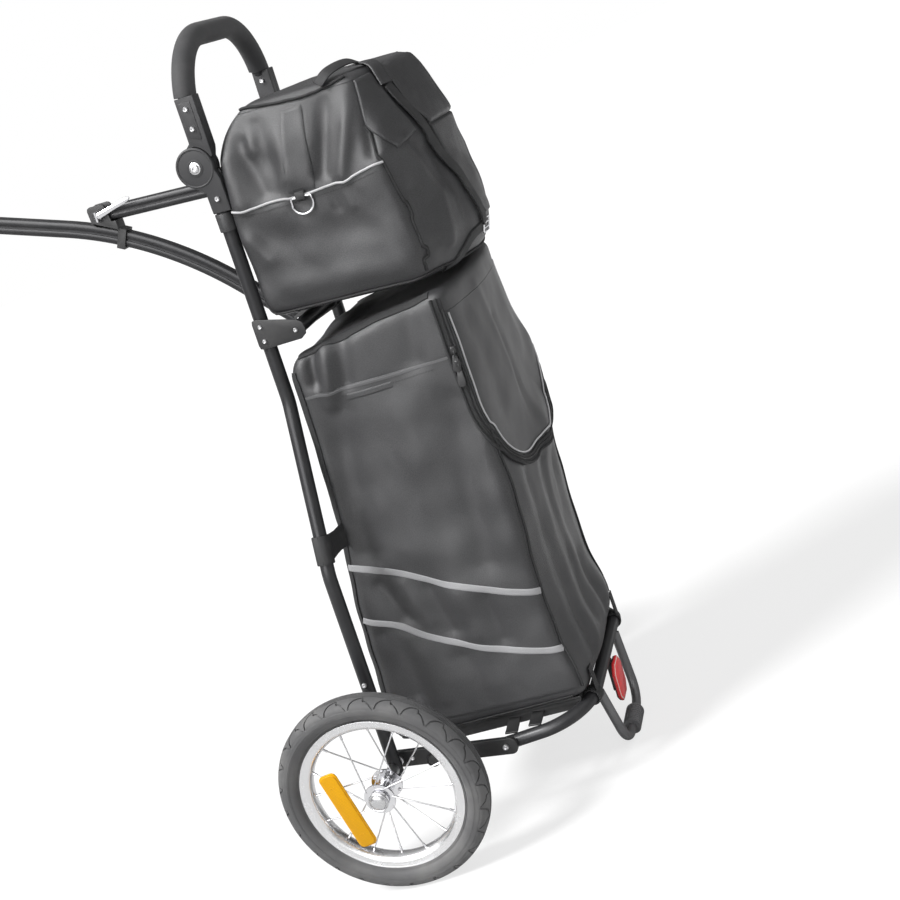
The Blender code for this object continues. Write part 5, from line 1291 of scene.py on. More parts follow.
class Wheel:
    """One spoked wheel: tyre with its tread, rim, hub, spokes, cap and amber strip."""

    def __init__(self, side: str, sizes: WheelSizes = WheelSizes()) -> None:
        """Keeps the side and where its wheel stands."""
        self.side, self.sizes = side, sizes
        self.body = f"{side}_wheel"
        self.place = TRAILER.wheel(side)

    def build(self) -> None:
        """Makes every piece of the wheel."""
        self.tyre()
        self.rim()
        self.hub()
        self.spokes()
        self.reflector()

    def section(self) -> list[Pair]:
        """The tyre's outer half section as (x, radius), from the bead to the crown."""
        w, top = self.sizes.half_width, self.sizes.crown
        points = [(0.45 * w, 0.1343), (0.86 * w, 0.1431), (w, 0.1543), (0.905 * w, 0.1645), (0.6 * w, 0.1703)]
        points += [(0.26 * w, 0.17275), (0.0, top)]
        return softened(points, 8)

    def tyre(self) -> None:
        """The carcass with its ribs, and the tread blocks over it."""
        name, depth = f"{self.side}_tyre", self.sizes.depth
        half = []
        for x, r in self.section():
            worn = min(max((r - 0.16) / 0.0035, 0.0), 1.0)
            half.append((x - 0.5 * depth * worn if x > 0.012 else x, r - depth * worn))
        half[14:14] = [(self.sizes.half_width + 0.0002, 0.1528), (self.sizes.half_width + 0.0002, 0.1536)]
        half.sort(key=lambda pair: pair[1])
        outer = half + [(-x, r) for x, r in reversed(half[:-1])]
        inner = [
            (-0.0072, 0.1343), (-0.019, 0.15), (-0.012, 0.164), (0.012, 0.164), (0.019, 0.15),
            (0.0072, 0.1343)
        ]
        build(
            f"{name}_carcass", lathe(outer + inner, 120, ring=True), RUBBER, self.body, [name], self.place,
            sharp=50
        )
        ribs = Shape()
        for x in (-0.0019, 0.0019):
            line = [(x - 0.0011, 0.171), (x - 0.0009, 0.17295), (x + 0.0009, 0.17295), (x + 0.0011, 0.171)]
            ribs.add(lathe(line, 120, ring=True))
        for sign in (-1.0, 1.0):
            edge = sign * self.sizes.half_width
            line = [
                (edge - sign * 0.002, 0.1505), (edge + sign * 0.0002, 0.1508), (edge + sign * 0.0002, 0.1516),
                (edge - sign * 0.002, 0.1519)
            ]
            ribs.add(lathe(line, 120, ring=True))
            bead = sign * 0.0152
            ribs.add(
                lathe(
                    [
                        (bead - 0.002, 0.1352), (bead, 0.1362), (bead + 0.0012, 0.1378),
                        (bead - 0.0015, 0.1378)
                    ],
                    96, ring=True
                )
            )
        build(f"{name}_ribs", ribs, RUBBER, self.body, (), self.place)
        leaf, crown = self.tread()
        mirror = Matrix.Scale(-1, 4, ACROSS)
        shift = Matrix.Rotation(math.pi / self.sizes.blocks, 4, "X")
        for word, tile in (("leaves", leaf), ("crown", crown)):
            pair = Shape().add(tile).add(tile.moved(shift @ mirror))
            repeated_round(f"{name}_{word}", pair, self.sizes.blocks, 0.0, RUBBER, self.body, self.place)

    def tread(self) -> tuple[Shape, Shape]:
        """One pitch of the tread on the +x side, parted by a scalloped groove.

        Returns:
            The leaf between the shoulder and the groove, and the crown's band beyond it.
        """
        size = self.sizes
        line = [pair for pair in self.section() if pair[1] > 0.1585 and pair[0] >= size.band_start]
        line = np.array([(0.023, 0.1578), *line])
        steps = np.concatenate([[0.0], np.cumsum(np.linalg.norm(np.diff(line, axis=0), axis=1))])
        along_line = np.gradient(line, axis=0)
        outward = np.stack([along_line[:, 1], -along_line[:, 0]], axis=1)
        outward /= np.linalg.norm(outward, axis=1)[:, None]
        band, pitch, gap = float(steps[-1]), 2 * math.pi / size.blocks, size.groove / 2
        fine = np.linspace(-0.2, 1.2, 1121)
        arch = np.interp(fine % 1.0, *zip(*size.scallop)) * band * 0.9

        def edge(share: float, sign: float) -> float:
            """The groove's lower or upper edge at a share of the pitch."""
            away = (fine - share) * pitch * size.crown
            near = np.abs(away) < gap
            heights = arch[near] + sign * np.sqrt(gap**2 - away[near] ** 2)
            return float(heights.max() if sign > 0 else heights.min())

        def place(share: float, height: float, lift: float) -> Vector:
            """The place at a share of the pitch and a height over the shoulder."""
            x, r, nx, nr = (float(np.interp(height, steps, values)) for values in (*line.T, *outward.T))
            angle = pitch * (share - 0.5)
            out = r + lift * nr
            return Vector((x + lift * nx, out * math.sin(angle), out * math.cos(angle)))

        def tile(low: Callable, high: Callable) -> Shape:
            """A tile between two edges, its skirt sunk in the carcass."""
            rows = []
            for share in np.concatenate(
                [
                    np.linspace(0, 0.12, 10), np.linspace(0.15, 0.5, 8), np.linspace(0.52, 0.6, 8),
                    np.linspace(0.64, 1, 10)
                ]
            ):
                foot, top = low(share), high(share)
                if top - foot < 0.0012:
                    continue
                inner = [foot + (top - foot) * k / 4 for k in range(5)]
                row = [place(share, foot, -1.4 * size.depth)]
                row += [place(share, height, 0.0002 if height > 0.002 else -0.0003) for height in inner]
                rows.append(row + [place(share, top, -1.4 * size.depth)])
            return loft(rows)

        return tile(lambda share: 0.0, lambda share: edge(share, -1.0)), tile(
            lambda share: max(edge(share, 1.0), 0.0), lambda share: band
        )

    def rim(self) -> None:
        """The rim with its rolled lips and its well."""
        half = [(0.0118, 0.1348), (0.014, 0.1354), (0.0153, 0.135), (0.0156, 0.134), (0.0153, 0.133)]
        half += [
            (0.0149, 0.1318), (0.0149, 0.129), (0.0141, 0.127), (0.0143, 0.1262), (0.0128, 0.1225),
            (0.0098, 0.1185), (0.004, 0.1166)
        ]
        back = [(0.004, 0.1184), (0.0094, 0.1204), (0.0122, 0.126), (0.0122, 0.1335)]
        outer = half + [(-x, r) for x, r in reversed(half)]
        inner = [(-x, r) for x, r in reversed(back)] + back
        build(
            f"{self.side}_wheel_rim", lathe(outer + inner, 128, ring=True), RIM_ALLOY, self.body,
            [f"{self.side}_rim"], self.place
        )

    def hub(self) -> None:
        """The hub shell with its flanges, and the cap over its outer end."""
        half = [
            (0.0, 0.0115), (0.014, 0.0118), (0.0195, 0.014), (0.0205, 0.024), (0.0208, 0.0258),
            (0.0222, 0.026), (0.0232, 0.0257)
        ]
        half += [
            (0.0236, 0.024), (0.024, 0.015), (0.0262, 0.0132), (0.0294, 0.0126), (0.03, 0.0118),
            (0.03, 0.0064)
        ]
        outline = [(-x, r) for x, r in reversed(half)] + half[1:]
        build(
            f"{self.side}_hub", lathe(outline, 64, ring=True), CHROME, self.body, [f"{self.side}_spoked_hub"],
            self.place
        )
        cap = [
            (0.0303, 0.0163), (0.0318, 0.0165), (0.0332, 0.0161), (0.0336, 0.0152), (0.0332, 0.0143),
            (0.0322, 0.0139), (0.0322, 0.0131)
        ]
        cap += [(0.0338, 0.0126), (0.0352, 0.0114), (0.0362, 0.0085), (0.0368, 0.0045), (0.037, 0.0002)]
        build(f"{self.side}_cap", lathe(cap, 48), SILVER_CAP, self.body, [f"{self.side}_hub_cap"], self.place)

    def spokes(self) -> None:
        """Sixteen thin spokes with their elbows and nipples."""
        size = self.sizes
        for word, plane in (("inner", -1.0), ("outer", 1.0)):
            foot = Vector((plane * size.flange, 0.0, size.spoke_foot))
            lay = plane * size.sweep
            head = Vector(
                (plane * size.head, size.spoke_head * math.sin(lay), size.spoke_head * math.cos(lay))
            )
            way = (head - foot).normalized()
            elbow = foot + ACROSS * (plane * 0.0016) - way * 0.0004
            spoke = pipe(
                [
                    foot - ACROSS * (plane * 0.003), foot + ACROSS * (plane * 0.0008), elbow + way * 0.002,
                    head
                ],
                UPWARD.cross(way), size.spoke, sides=10
            )
            button = lathe([(-0.0042, 0.0019), (-0.0036, 0.0024), (-0.0028, 0.0024), (-0.0022, 0.0014)], 12)
            spoke.add(button.moved(facing(foot, plane)))
            name = f"{self.side}_{word}_spokes"
            repeated_round(name, spoke, size.spokes, 0.0, BRIGHT_STEEL, self.body, self.place)
            seat = head - way * 0.0005
            shank = pipe(
                [seat - way * 0.0105, seat - way * 0.0095, seat - way * 0.004, seat + way * 0.002],
                UPWARD.cross(way), 0.002, sides=12
            )
            repeated_round(
                f"{self.side}_{word}_nipples", shank, size.spokes, 0.0, CHROME, self.body, self.place
            )

    def reflector(self) -> None:
        """The amber strip: a moulded frame round a field of prism cells, with its two clips."""
        size = self.sizes
        turn = self.place @ Matrix.Rotation(size.reflector_turn, 4, "X")
        plans = ((0.0, size.reflector_x, 0.0033), (0.0022, size.reflector_x + 0.003, 0.0018))
        for word, (inset, low, thick) in zip(("frame", "cells"), plans):
            length, width = size.reflector_length / 2 - inset, size.reflector_width / 2 - inset
            half = [
                (length - 0.5 * width, -width), (length - 0.22 * width, -0.9 * width),
                (length - 0.04 * width, -0.66 * width), (length, -0.4 * width)
            ]
            half += [(u, -v) for u, v in reversed(half)]
            outline = [
                (u, v + size.reflector_distance) for u, v in half + [(-u, v) for u, v in reversed(half)]
            ]
            replaces = [f"{self.side}_wheel_reflector"] if word == "frame" else []
            shape = prism(outline, low, low + thick)
            build(f"{self.side}_strip_{word}", shape, AMBER_LENS, self.body, replaces, turn, Bevel(0.0007, 3))
        ribs = Shape()
        for u in (-0.046, 0.046):
            for v in (-0.0035, 0.0035):
                middle = Vector((size.reflector_x + 0.0044, u, size.reflector_distance + v))
                ribs.add(
                    lathe(
                        [(-0.0008, 0.0016), (0.0004, 0.0016), (0.0008, 0.001)], 16
                    ).moved(Matrix.Translation(middle))
                )
        build(f"{self.side}_strip_pegs", ribs, AMBER_LENS, self.body, (), turn)


@dataclass(frozen=True)
class FrameSizes:
    """The frame's tubes and plates."""

    tube: float = 0.011
    wall: float = 0.0015
    rail_top_x: float = 0.164
    rail_foot_x: float = 0.2365
    crank_top_z: float = 0.617
    crank_foot_z: float = 0.346
    crank_bend: float = 0.09
    rail_top_z: float = 0.9237
    rail_foot_z: float = -0.0145
    casting_in: float = 0.1515
    casting_out: float = 0.1765
    hinge: Pair = (0.0155, 0.996)
    disc: float = 0.0305
    upper_cross_z: float = 0.945
    mid_cross: Pair = (-0.055, 0.727)
    plate_x: float = 0.1753
    leg_top: float = 1.0968
    bow_foot: float = 1.081
    bow_top: float = 1.177
    bow_bend: float = 0.112
    bow_lean: float = 0.0625
    grip: float = 0.017


class Frame:
    """The fixed frame above the axles: rails, cross tubes, plates, axles and hinge brackets."""

    def __init__(self, sizes: FrameSizes = FrameSizes()) -> None:
        """Keeps the sizes."""
        self.sizes = sizes

    def build(self) -> None:
        """Makes every piece of the frame."""
        for side, sign in SIDES.items():
            self.rail(side, sign)
            self.axle(side, sign)
            self.bracket(side, sign)
            self.hinge_bolt(side, sign)
            self.mid_plate(side, sign)
        self.cross_tubes()
        self.arm_bracket()

    def rail(self, side: str, sign: float) -> None:
        """One rail and the plug in its foot."""
        size = self.sizes
        corners = [
            Vector((sign * size.rail_top_x, 0.0, size.rail_top_z)),
            Vector((sign * size.rail_top_x, 0.0, size.crank_top_z)),
            Vector((sign * size.rail_foot_x, 0.0, size.crank_foot_z)),
            Vector((sign * size.rail_foot_x, 0.0, size.rail_foot_z)),
        ]
        path = rounded(corners, size.crank_bend)
        build(
            f"{side}_rail_tube", pipe(path, AHEAD, size.tube, size.wall), FRAME_PAINT, "frame",
            [f"{side}_rail"]
        )
        foot = Matrix.Translation(corners[-1]) @ Matrix.Rotation(math.pi / 2, 4, "Y")
        plug = lathe(
            [
                (-0.008, 0.0093), (-0.0003, 0.0093), (0.0002, 0.0108), (0.0012, 0.0107), (0.002, 0.009),
                (0.0022, 0.001)
            ],
            28
        )
        build(f"{side}_rail_plug", plug, BLACK_PLASTIC, "frame", (), TRAILER.matrix @ foot)

    def axle(self, side: str, sign: float) -> None:
        """One stub axle with its collars and its inner nut."""
        outline = [
            (0.2063, 0.0062), (0.207, 0.01), (0.2078, 0.0105), (0.2106, 0.0105), (0.211, 0.006),
            (0.2196, 0.006)
        ]
        outline += [
            (0.2198, 0.01), (0.2204, 0.0105), (0.2246, 0.0105), (0.225, 0.01), (0.2252, 0.006),
            (0.2478, 0.006)
        ]
        outline += [
            (0.2479, 0.01), (0.2485, 0.0105), (0.274, 0.0105), (0.277, 0.0098), (0.2785, 0.0085),
            (0.2787, 0.0057), (0.338, 0.0057)
        ]
        build(
            f"{side}_axle_stub", lathe([(sign * x, r) for x, r in outline], 40), BRIGHT_STEEL, "frame",
            [f"{side}_axle"]
        )

    def bracket(self, side: str, sign: float) -> None:
        """The casting on the rail: a block with its outer half grown into the hinge disc."""
        size = self.sizes
        y, z = size.hinge
        disc = arc(size.hinge, size.disc, range(-72, 206, 9))
        outline = [
            (0.0115, 0.9242), (0.012, 0.956), *disc, (-0.0165, 0.978), (-0.018, 0.972), (-0.018, 0.9242)
        ]
        middle = sign * size.rail_top_x
        outer = prism(outline, middle + sign * 0.0002, sign * size.casting_out)
        name = f"{side}_bracket_casting"
        build(name, outer, CAST_GREY, "frame", [f"{side}_hinge_bracket"], bevel=Bevel(0.0015, 4), sharp=50)
        cup = arc(size.hinge, size.disc + 0.0012, range(-97, -168, -6))
        inner = prism(
            [(0.0115, 0.9242), (0.0115, 0.964), *cup, (-0.018, 0.983), (-0.018, 0.9242)],
            sign * size.casting_in, middle + sign * 0.001
        )
        build(f"{side}_bracket_inner", inner, CAST_GREY, "frame", bevel=Bevel(0.0012, 3), sharp=50)
        place = facing(Vector((sign * size.casting_out, y, z)), sign)
        ring = lathe(
            [
                (-0.001, 0.0262), (0.0005, 0.0264), (0.0009, 0.0272), (0.0009, 0.0284), (0.0004, 0.0292),
                (-0.001, 0.0294)
            ],
            64, ring=True
        )
        face = lathe(
            [(-0.001, 0.013), (0.0006, 0.0128), (0.0008, 0.012), (0.0008, 0.01), (-0.001, 0.0098)], 48,
            ring=True
        )
        build(f"{side}_disc_rim", ring.add(face).moved(place), CAST_GREY, "frame")

    def hinge_bolt(self, side: str, sign: float) -> None:
        """The bolt through both castings: a domed head outside and its nut inside."""
        size = self.sizes
        y, z = size.hinge
        outside = facing(Vector((sign * (size.casting_out + 0.0003), y, z)), sign)
        inside = facing(Vector((sign * (size.casting_in - 0.0003), y, z)), -sign)
        head = socket_head(0.0072, 0.0036, 0.46).add(
            lathe([(-0.001, 0.009), (0.0004, 0.009), (0.0008, 0.0084)], 36)
        )
        shape = head.moved(outside).add(hex_nut(0.0066, 0.0034).moved(inside))
        build(f"{side}_hinge_screw", shape, BRIGHT_STEEL, "frame", [f"{side}_hinge_bolt"], sharp=35)

    def mid_plate(self, side: str, sign: float) -> None:
        """The plate that bolts the middle cross tube to the rail."""
        outline = [
            (0.011, 0.716), (0.0095, 0.71), (0.003, 0.7085), (-0.06, 0.7118), (-0.069, 0.718),
            (-0.0708, 0.727)
        ]
        outline += [(-0.069, 0.736), (-0.06, 0.7425), (0.002, 0.756), (0.0095, 0.755), (0.011, 0.749)]
        low = sign * self.sizes.plate_x
        shape = prism(outline, low, low + sign * 0.003)
        build(f"{side}_plate", shape, BLACK_STEEL, "frame", [f"{side}_mid_plate"], bevel=Bevel(0.0006, 3))

    def cross_tubes(self) -> None:
        """The upper and middle cross tubes."""
        size = self.sizes
        ends = [
            Vector((x, 0.0, size.upper_cross_z))
            for x in (-size.casting_in + 0.0003, size.casting_in - 0.0003)
        ]
        build(
            "upper_cross", pipe(ends, AHEAD, size.tube, size.wall), FRAME_PAINT, "frame", ["upper_cross_tube"]
        )
        y, z = size.mid_cross
        ends = [Vector((x, y, z)) for x in (-size.plate_x, size.plate_x)]
        build(
            "middle_cross", pipe(ends, AHEAD, size.tube, size.wall), FRAME_PAINT, "frame", ["mid_cross_tube"]
        )

    def arm_bracket(self) -> None:
        """The clevis that carries the tow arm, and its pin."""
        dressed_copy("arm_bracket", "arm_clevis", BLACK_STEEL, "frame", Bevel(0.0008, 3))
        pin = Matrix.Translation(Vector((0.0, 0.0, 0.705)))
        head = socket_head(0.0078, 0.003).moved(pin @ Matrix.Translation(Vector((0.0141, 0, 0))))
        nut = hex_nut(0.0064, 0.003).moved(
            pin @ Matrix.Rotation(math.pi, 4, "Z") @ Matrix.Translation(Vector((0.0141, 0, 0)))
        )
        shank = lathe([(-0.0142, 0.0048), (0.0142, 0.0048)], 24).moved(pin)
        build("arm_pin", head.add(nut).add(shank), BRIGHT_STEEL, "frame", ["arm_pivot_pin"], sharp=35)


@dataclass(frozen=True)
class PlatformSizes:
    """The platform behind the axle, its loop and its reflector."""

    half_width: float = 0.2
    front_y: float = -0.15
    rear: Pair = (-0.328, 0.018)
    slope: float = 0.19
    bend: float = 0.084
    tube: float = 0.011
    wall: float = 0.0015
    bar_in: float = 0.2113
    bar_out: float = 0.2193
    cross: Pair = (-0.06, -0.01)
    loop: float = 0.008
    lens_half: float = 0.031
    lens_top: float = 0.005
    lens_foot: float = -0.065
    lens_corner: float = 0.014

    def tube_z(self, y: float) -> float:
        """The height of the platform tube's middle at y."""
        return self.rear[1] + (self.rear[0] - y) * self.slope


class Platform:
    """The side bars, the tubes under the lower bag, the board, the foot loop and the rear reflector."""

    def __init__(self, sizes: PlatformSizes = PlatformSizes()) -> None:
        """Keeps the sizes."""
        self.sizes = sizes

    def build(self) -> None:
        """Makes every piece of the platform."""
        self.bars()
        self.tubes()
        self.board()
        self.foot_loop()
        self.reflector()

    def bars(self) -> None:
        """The two flat side bars."""
        size = self.sizes
        drop = size.tube_z(-0.205)
        corners = [(0.02, -0.0145), (0.02, 0.0145), (-0.205, drop + 0.0145), (-0.205, drop - 0.0145)]
        start = ((corners[0][0] + corners[3][0]) / 2, (corners[0][1] + corners[3][1]) / 2)
        outline = [start, *rounded_loop(corners, 0.011, 6)]
        for side, sign in SIDES.items():
            shape = prism(outline, sign * size.bar_in, sign * size.bar_out)
            build(f"{side}_bar", shape, BLACK_STEEL, "frame", [f"{side}_side_bar"], bevel=Bevel(0.001, 3))

    def tubes(self) -> None:
        """The lower cross tube with plugs in its ends, and the U-shaped tube behind it."""
        size = self.sizes
        y, z = size.cross
        ends = [Vector((x, y, z)) for x in (-0.2223, 0.2223)]
        build(
            "lower_cross", pipe(ends, AHEAD, size.tube, size.wall), FRAME_PAINT, "frame", ["lower_cross_tube"]
        )
        plug = lathe([(-0.006, 0.0093), (0.0004, 0.0093), (0.001, 0.008), (0.0012, 0.001)], 28)
        plugs = Shape()
        for sign in SIDES.values():
            plugs.add(plug.moved(facing(Vector((sign * 0.2213, y, z)), sign)))
        build("lower_cross_plugs", plugs, BLACK_PLASTIC, "frame")
        w, front = size.half_width, (size.front_y, size.tube_z(size.front_y))
        corners = [
            Vector((-w, *front)), Vector((-w, *size.rear)), Vector((w, *size.rear)), Vector((w, *front))
        ]
        path = rounded(corners, size.bend, 20)
        across = Vector((0.0, size.slope, 1.0)).normalized()
        build("u_tube", pipe(path, across, size.tube, size.wall), FRAME_PAINT, "frame", ["platform_tube"])

    def board_top(self, y: float) -> float:
        """The height of the board's top at y."""
        return 0.0077 + (-0.06 - y) * BOARD_SLOPE

    def board(self) -> None:
        """The board under the lower bag, with its front lip, and the two strips that carry it."""
        dressed_copy("base_board", "bag_board", BLACK_PLASTIC, "frame", Bevel(0.0012, 3))
        rim = Shape()
        spans = [((x - 0.0015, x + 0.0015), -0.0365, -0.312) for x in (-0.1585, 0.1585)]
        for widths, front, rear in (*spans, ((-0.157, 0.157), -0.309, -0.312)):
            corners = ((front, 0.004), (front, 0.021), (rear, 0.021), (rear, 0.004))
            rim.add(loft([[Vector((x, y, self.board_top(y) - drop)) for y, drop in corners] for x in widths]))
        build("board_rim", rim, BLACK_PLASTIC, "frame", bevel=Bevel(0.0006, 2))
        for word in ("front", "rear"):
            dressed_copy(f"{word}_cross_strip", f"{word}_strip", BLACK_STEEL, "frame", Bevel(0.0006, 2))

    def foot_loop(self) -> None:
        """The loop that the trailer stands on, with its ribbed clip."""
        size = self.sizes
        corners = [
            Vector((-0.103, -0.3298, 0.0051)), Vector((-0.077, -0.346, -0.112)),
            Vector((0.077, -0.346, -0.112)), Vector((0.103, -0.3298, 0.0051))
        ]
        path = rounded(corners, 0.044, 20)
        plane = Vector((0.0, -0.1171, 0.0162)).normalized()
        build("standing_loop", pipe(path, plane, size.loop, 0.0015), GREY_TUBE, "frame", ["foot_loop"])
        drop = 0.0135
        outline = []
        for u, v in circle(drop + 0.0012, 36):
            outline.append((u, max(v, -drop)))
        body = sweep(
            [Vector((-0.028, 0, 0)), Vector((-0.0268, 0, 0)), Vector((0.0268, 0, 0)), Vector((0.028, 0, 0))],
            outline, AHEAD
        )
        ribs = Shape()
        for k in range(9):
            x = -0.0244 + 0.0061 * k
            ring = [(u * 1.07, max(v * 1.07, -drop)) for u, v in circle(drop + 0.0012, 36)]
            ribs.add(sweep([Vector((x - 0.0013, 0, 0)), Vector((x + 0.0013, 0, 0))], ring, AHEAD))
        lean = math.atan2(TRAILER.matrix[2][1], TRAILER.matrix[1][1])
        turn = Matrix.Translation(Vector((0.0, -0.346, -0.112))) @ Matrix.Rotation(-lean, 4, "X")
        build("loop_clip", body.add(ribs).moved(turn), GREY_PLASTIC, "frame", ["foot_clip"])

    def lens_plate(self, inset: float, low: float, high: float) -> Shape:
        """An octagonal slab between two depths behind the stay.

        Args:
            inset: how much smaller it is than the reflector all round.
            low: its rear face's y.
            high: its front face's y.

        Returns:
            The slab.
        """
        size = self.sizes
        u, k = size.lens_half - inset, size.lens_corner - 0.4 * inset
        t, f = size.lens_top - inset, size.lens_foot + inset
        outline = [
            (-u + k, f), (u - k, f), (u, f + k), (u, t - k), (u - k, t), (-u + k, t), (-u, t - k), (-u, f + k)
        ]
        return loft([[Vector((x, y, z)) for x, z in outline] for y in (low, high)])

    def reflector(self) -> None:
        """The red reflector: lens, pale edge, backing plate and stay."""
        dressed_copy("reflector_stay", "reflector_arm", BLACK_PLASTIC, "frame", Bevel(0.0012, 3))
        build(
            "reflector_back", self.lens_plate(0.0008, -0.3387, -0.3363), BLACK_PLASTIC, "frame",
            bevel=Bevel(0.0006, 2)
        )
        build(
            "reflector_edge", self.lens_plate(0.0, -0.3437, -0.3385), RED_LENS, "frame",
            bevel=Bevel(0.0012, 3)
        )
        build(
            "reflector_rim", self.lens_plate(0.0012, -0.3446, -0.3432), CLEAR_LENS, "frame",
            bevel=Bevel(0.0004, 2)
        )
        build(
            "reflector_lens", self.lens_plate(0.0026, -0.3453, -0.3425), RED_LENS, "frame",
            ["rear_reflector"], bevel=Bevel(0.0009, 3)
        )


class Handle:
    """The folding handle: two leg castings, the arched tube and its foam grip."""

    def __init__(self, sizes: FrameSizes = FrameSizes()) -> None:
        """Keeps the sizes."""
        self.sizes = sizes

    def build(self) -> None:
        """Makes every piece of the handle."""
        for side, sign in SIDES.items():
            self.leg(side, sign)
        tube, wall = self.sizes.tube, self.sizes.wall
        build(
            "handle_bow", pipe(self.path(tube), self.plane(), tube, wall), FRAME_PAINT, "handle",
            ["handle_tube"]
        )
        self.grip()

    def plane(self) -> Vector:
        """The way square to the handle's plane."""
        return Vector((0.0, 1.0, self.sizes.bow_lean)).normalized()

    def path(self, radius: float) -> list[Vector]:
        """The handle's middle line for a tube of that radius."""
        size = self.sizes
        foot = size.bow_foot + radius * 0.955
        ends = ((-1, 0.94), (-1, size.bow_top), (1, size.bow_top), (1, 0.94))
        corners = [Vector((side * size.rail_top_x, -(z - 1.097) * size.bow_lean, z)) for side, z in ends]
        path = rounded(corners, size.bow_bend, 24)
        kept = [point for point in path if point.z > foot]
        first = path[path.index(kept[0]) - 1]
        start = kept[0].lerp(first, (kept[0].z - foot) / max(kept[0].z - first.z, 1e-9))
        return [start, *kept, Vector((-start.x, start.y, start.z))]

    def leg(self, side: str, sign: float) -> None:
        """One leg casting: a disc below its inner half, a hollow round the bracket's below its outer half."""
        size = self.sizes
        middle, top = sign * size.rail_top_x, size.leg_top
        disc = arc(size.hinge, size.disc, range(72, -206, -9))
        inner = prism(
            [(0.0115, top), (0.012, 1.036), *disc, (-0.0165, 1.014), (-0.018, 1.02), (-0.018, top)],
            sign * size.casting_in, middle - sign * 0.0002
        )
        build(
            f"{side}_leg_inner", inner, CAST_GREY, "handle", [f"{side}_handle_leg"], bevel=Bevel(0.0015, 4),
            sharp=50
        )
        hollow = arc(size.hinge, size.disc + 0.0014, range(97, 168, 6))
        outer = prism(
            [(0.0115, top), (0.0115, 1.028), *hollow, (-0.018, 1.009), (-0.018, top)], middle - sign * 0.001,
            sign * size.casting_out
        )
        build(f"{side}_leg_outer", outer, CAST_GREY, "handle", bevel=Bevel(0.0015, 4), sharp=50)
        edge = sign * size.casting_out
        panel = [
            (0.008, 1.09), (0.008, 1.0405), (0.003, 1.0378), (-0.009, 1.033), (-0.0115, 1.035),
            (-0.0115, 1.09)
        ]
        build(
            f"{side}_leg_panel", prism(panel, edge - sign * 0.001, edge + sign * 0.0007), CAST_GREY, "handle",
            bevel=Bevel(0.0006, 3)
        )

    def grip(self) -> None:
        """The foam grip, with its ends drawn in."""
        path = self.path(self.sizes.grip)
        outline = circle(self.sizes.grip, 44)
        rows = []
        side = self.plane()
        upright = Vector((0.0, -self.sizes.bow_lean, 1.0)).normalized()
        ways = [upright, *directions(path)[1:-1], -upright]
        for point, way in zip(path, ways):
            across = (side - way * side.dot(way)).normalized()
            other = way.cross(across)
            rows.append([point + across * u + other * v for u, v in outline])
        shape = loft(rows)
        build(
            "grip", shape, GRIP_FOAM, "handle", ["foam_grip"], bevel=Bevel(0.0024, 4, math.radians(50)),
            sharp=60
        )


@dataclass(frozen=True)
class ArmSizes:
    """The tow arm, the strut and their clamp, in the trailer's middle plane."""

    pivot_z: float = 0.705
    start_angle: float = math.radians(44.65)
    end_angle: float = math.radians(17.1)
    straight: float = 0.116
    bend: float = 0.659
    front_y: float = 0.602
    width: float = 0.019
    depth: float = 0.028
    strut_depth: float = 0.025
    strut_z: float = 0.945
    skewer: Pair = (0.281, 0.95455)
    pitch: Pair = (0.6144, 1.0283)


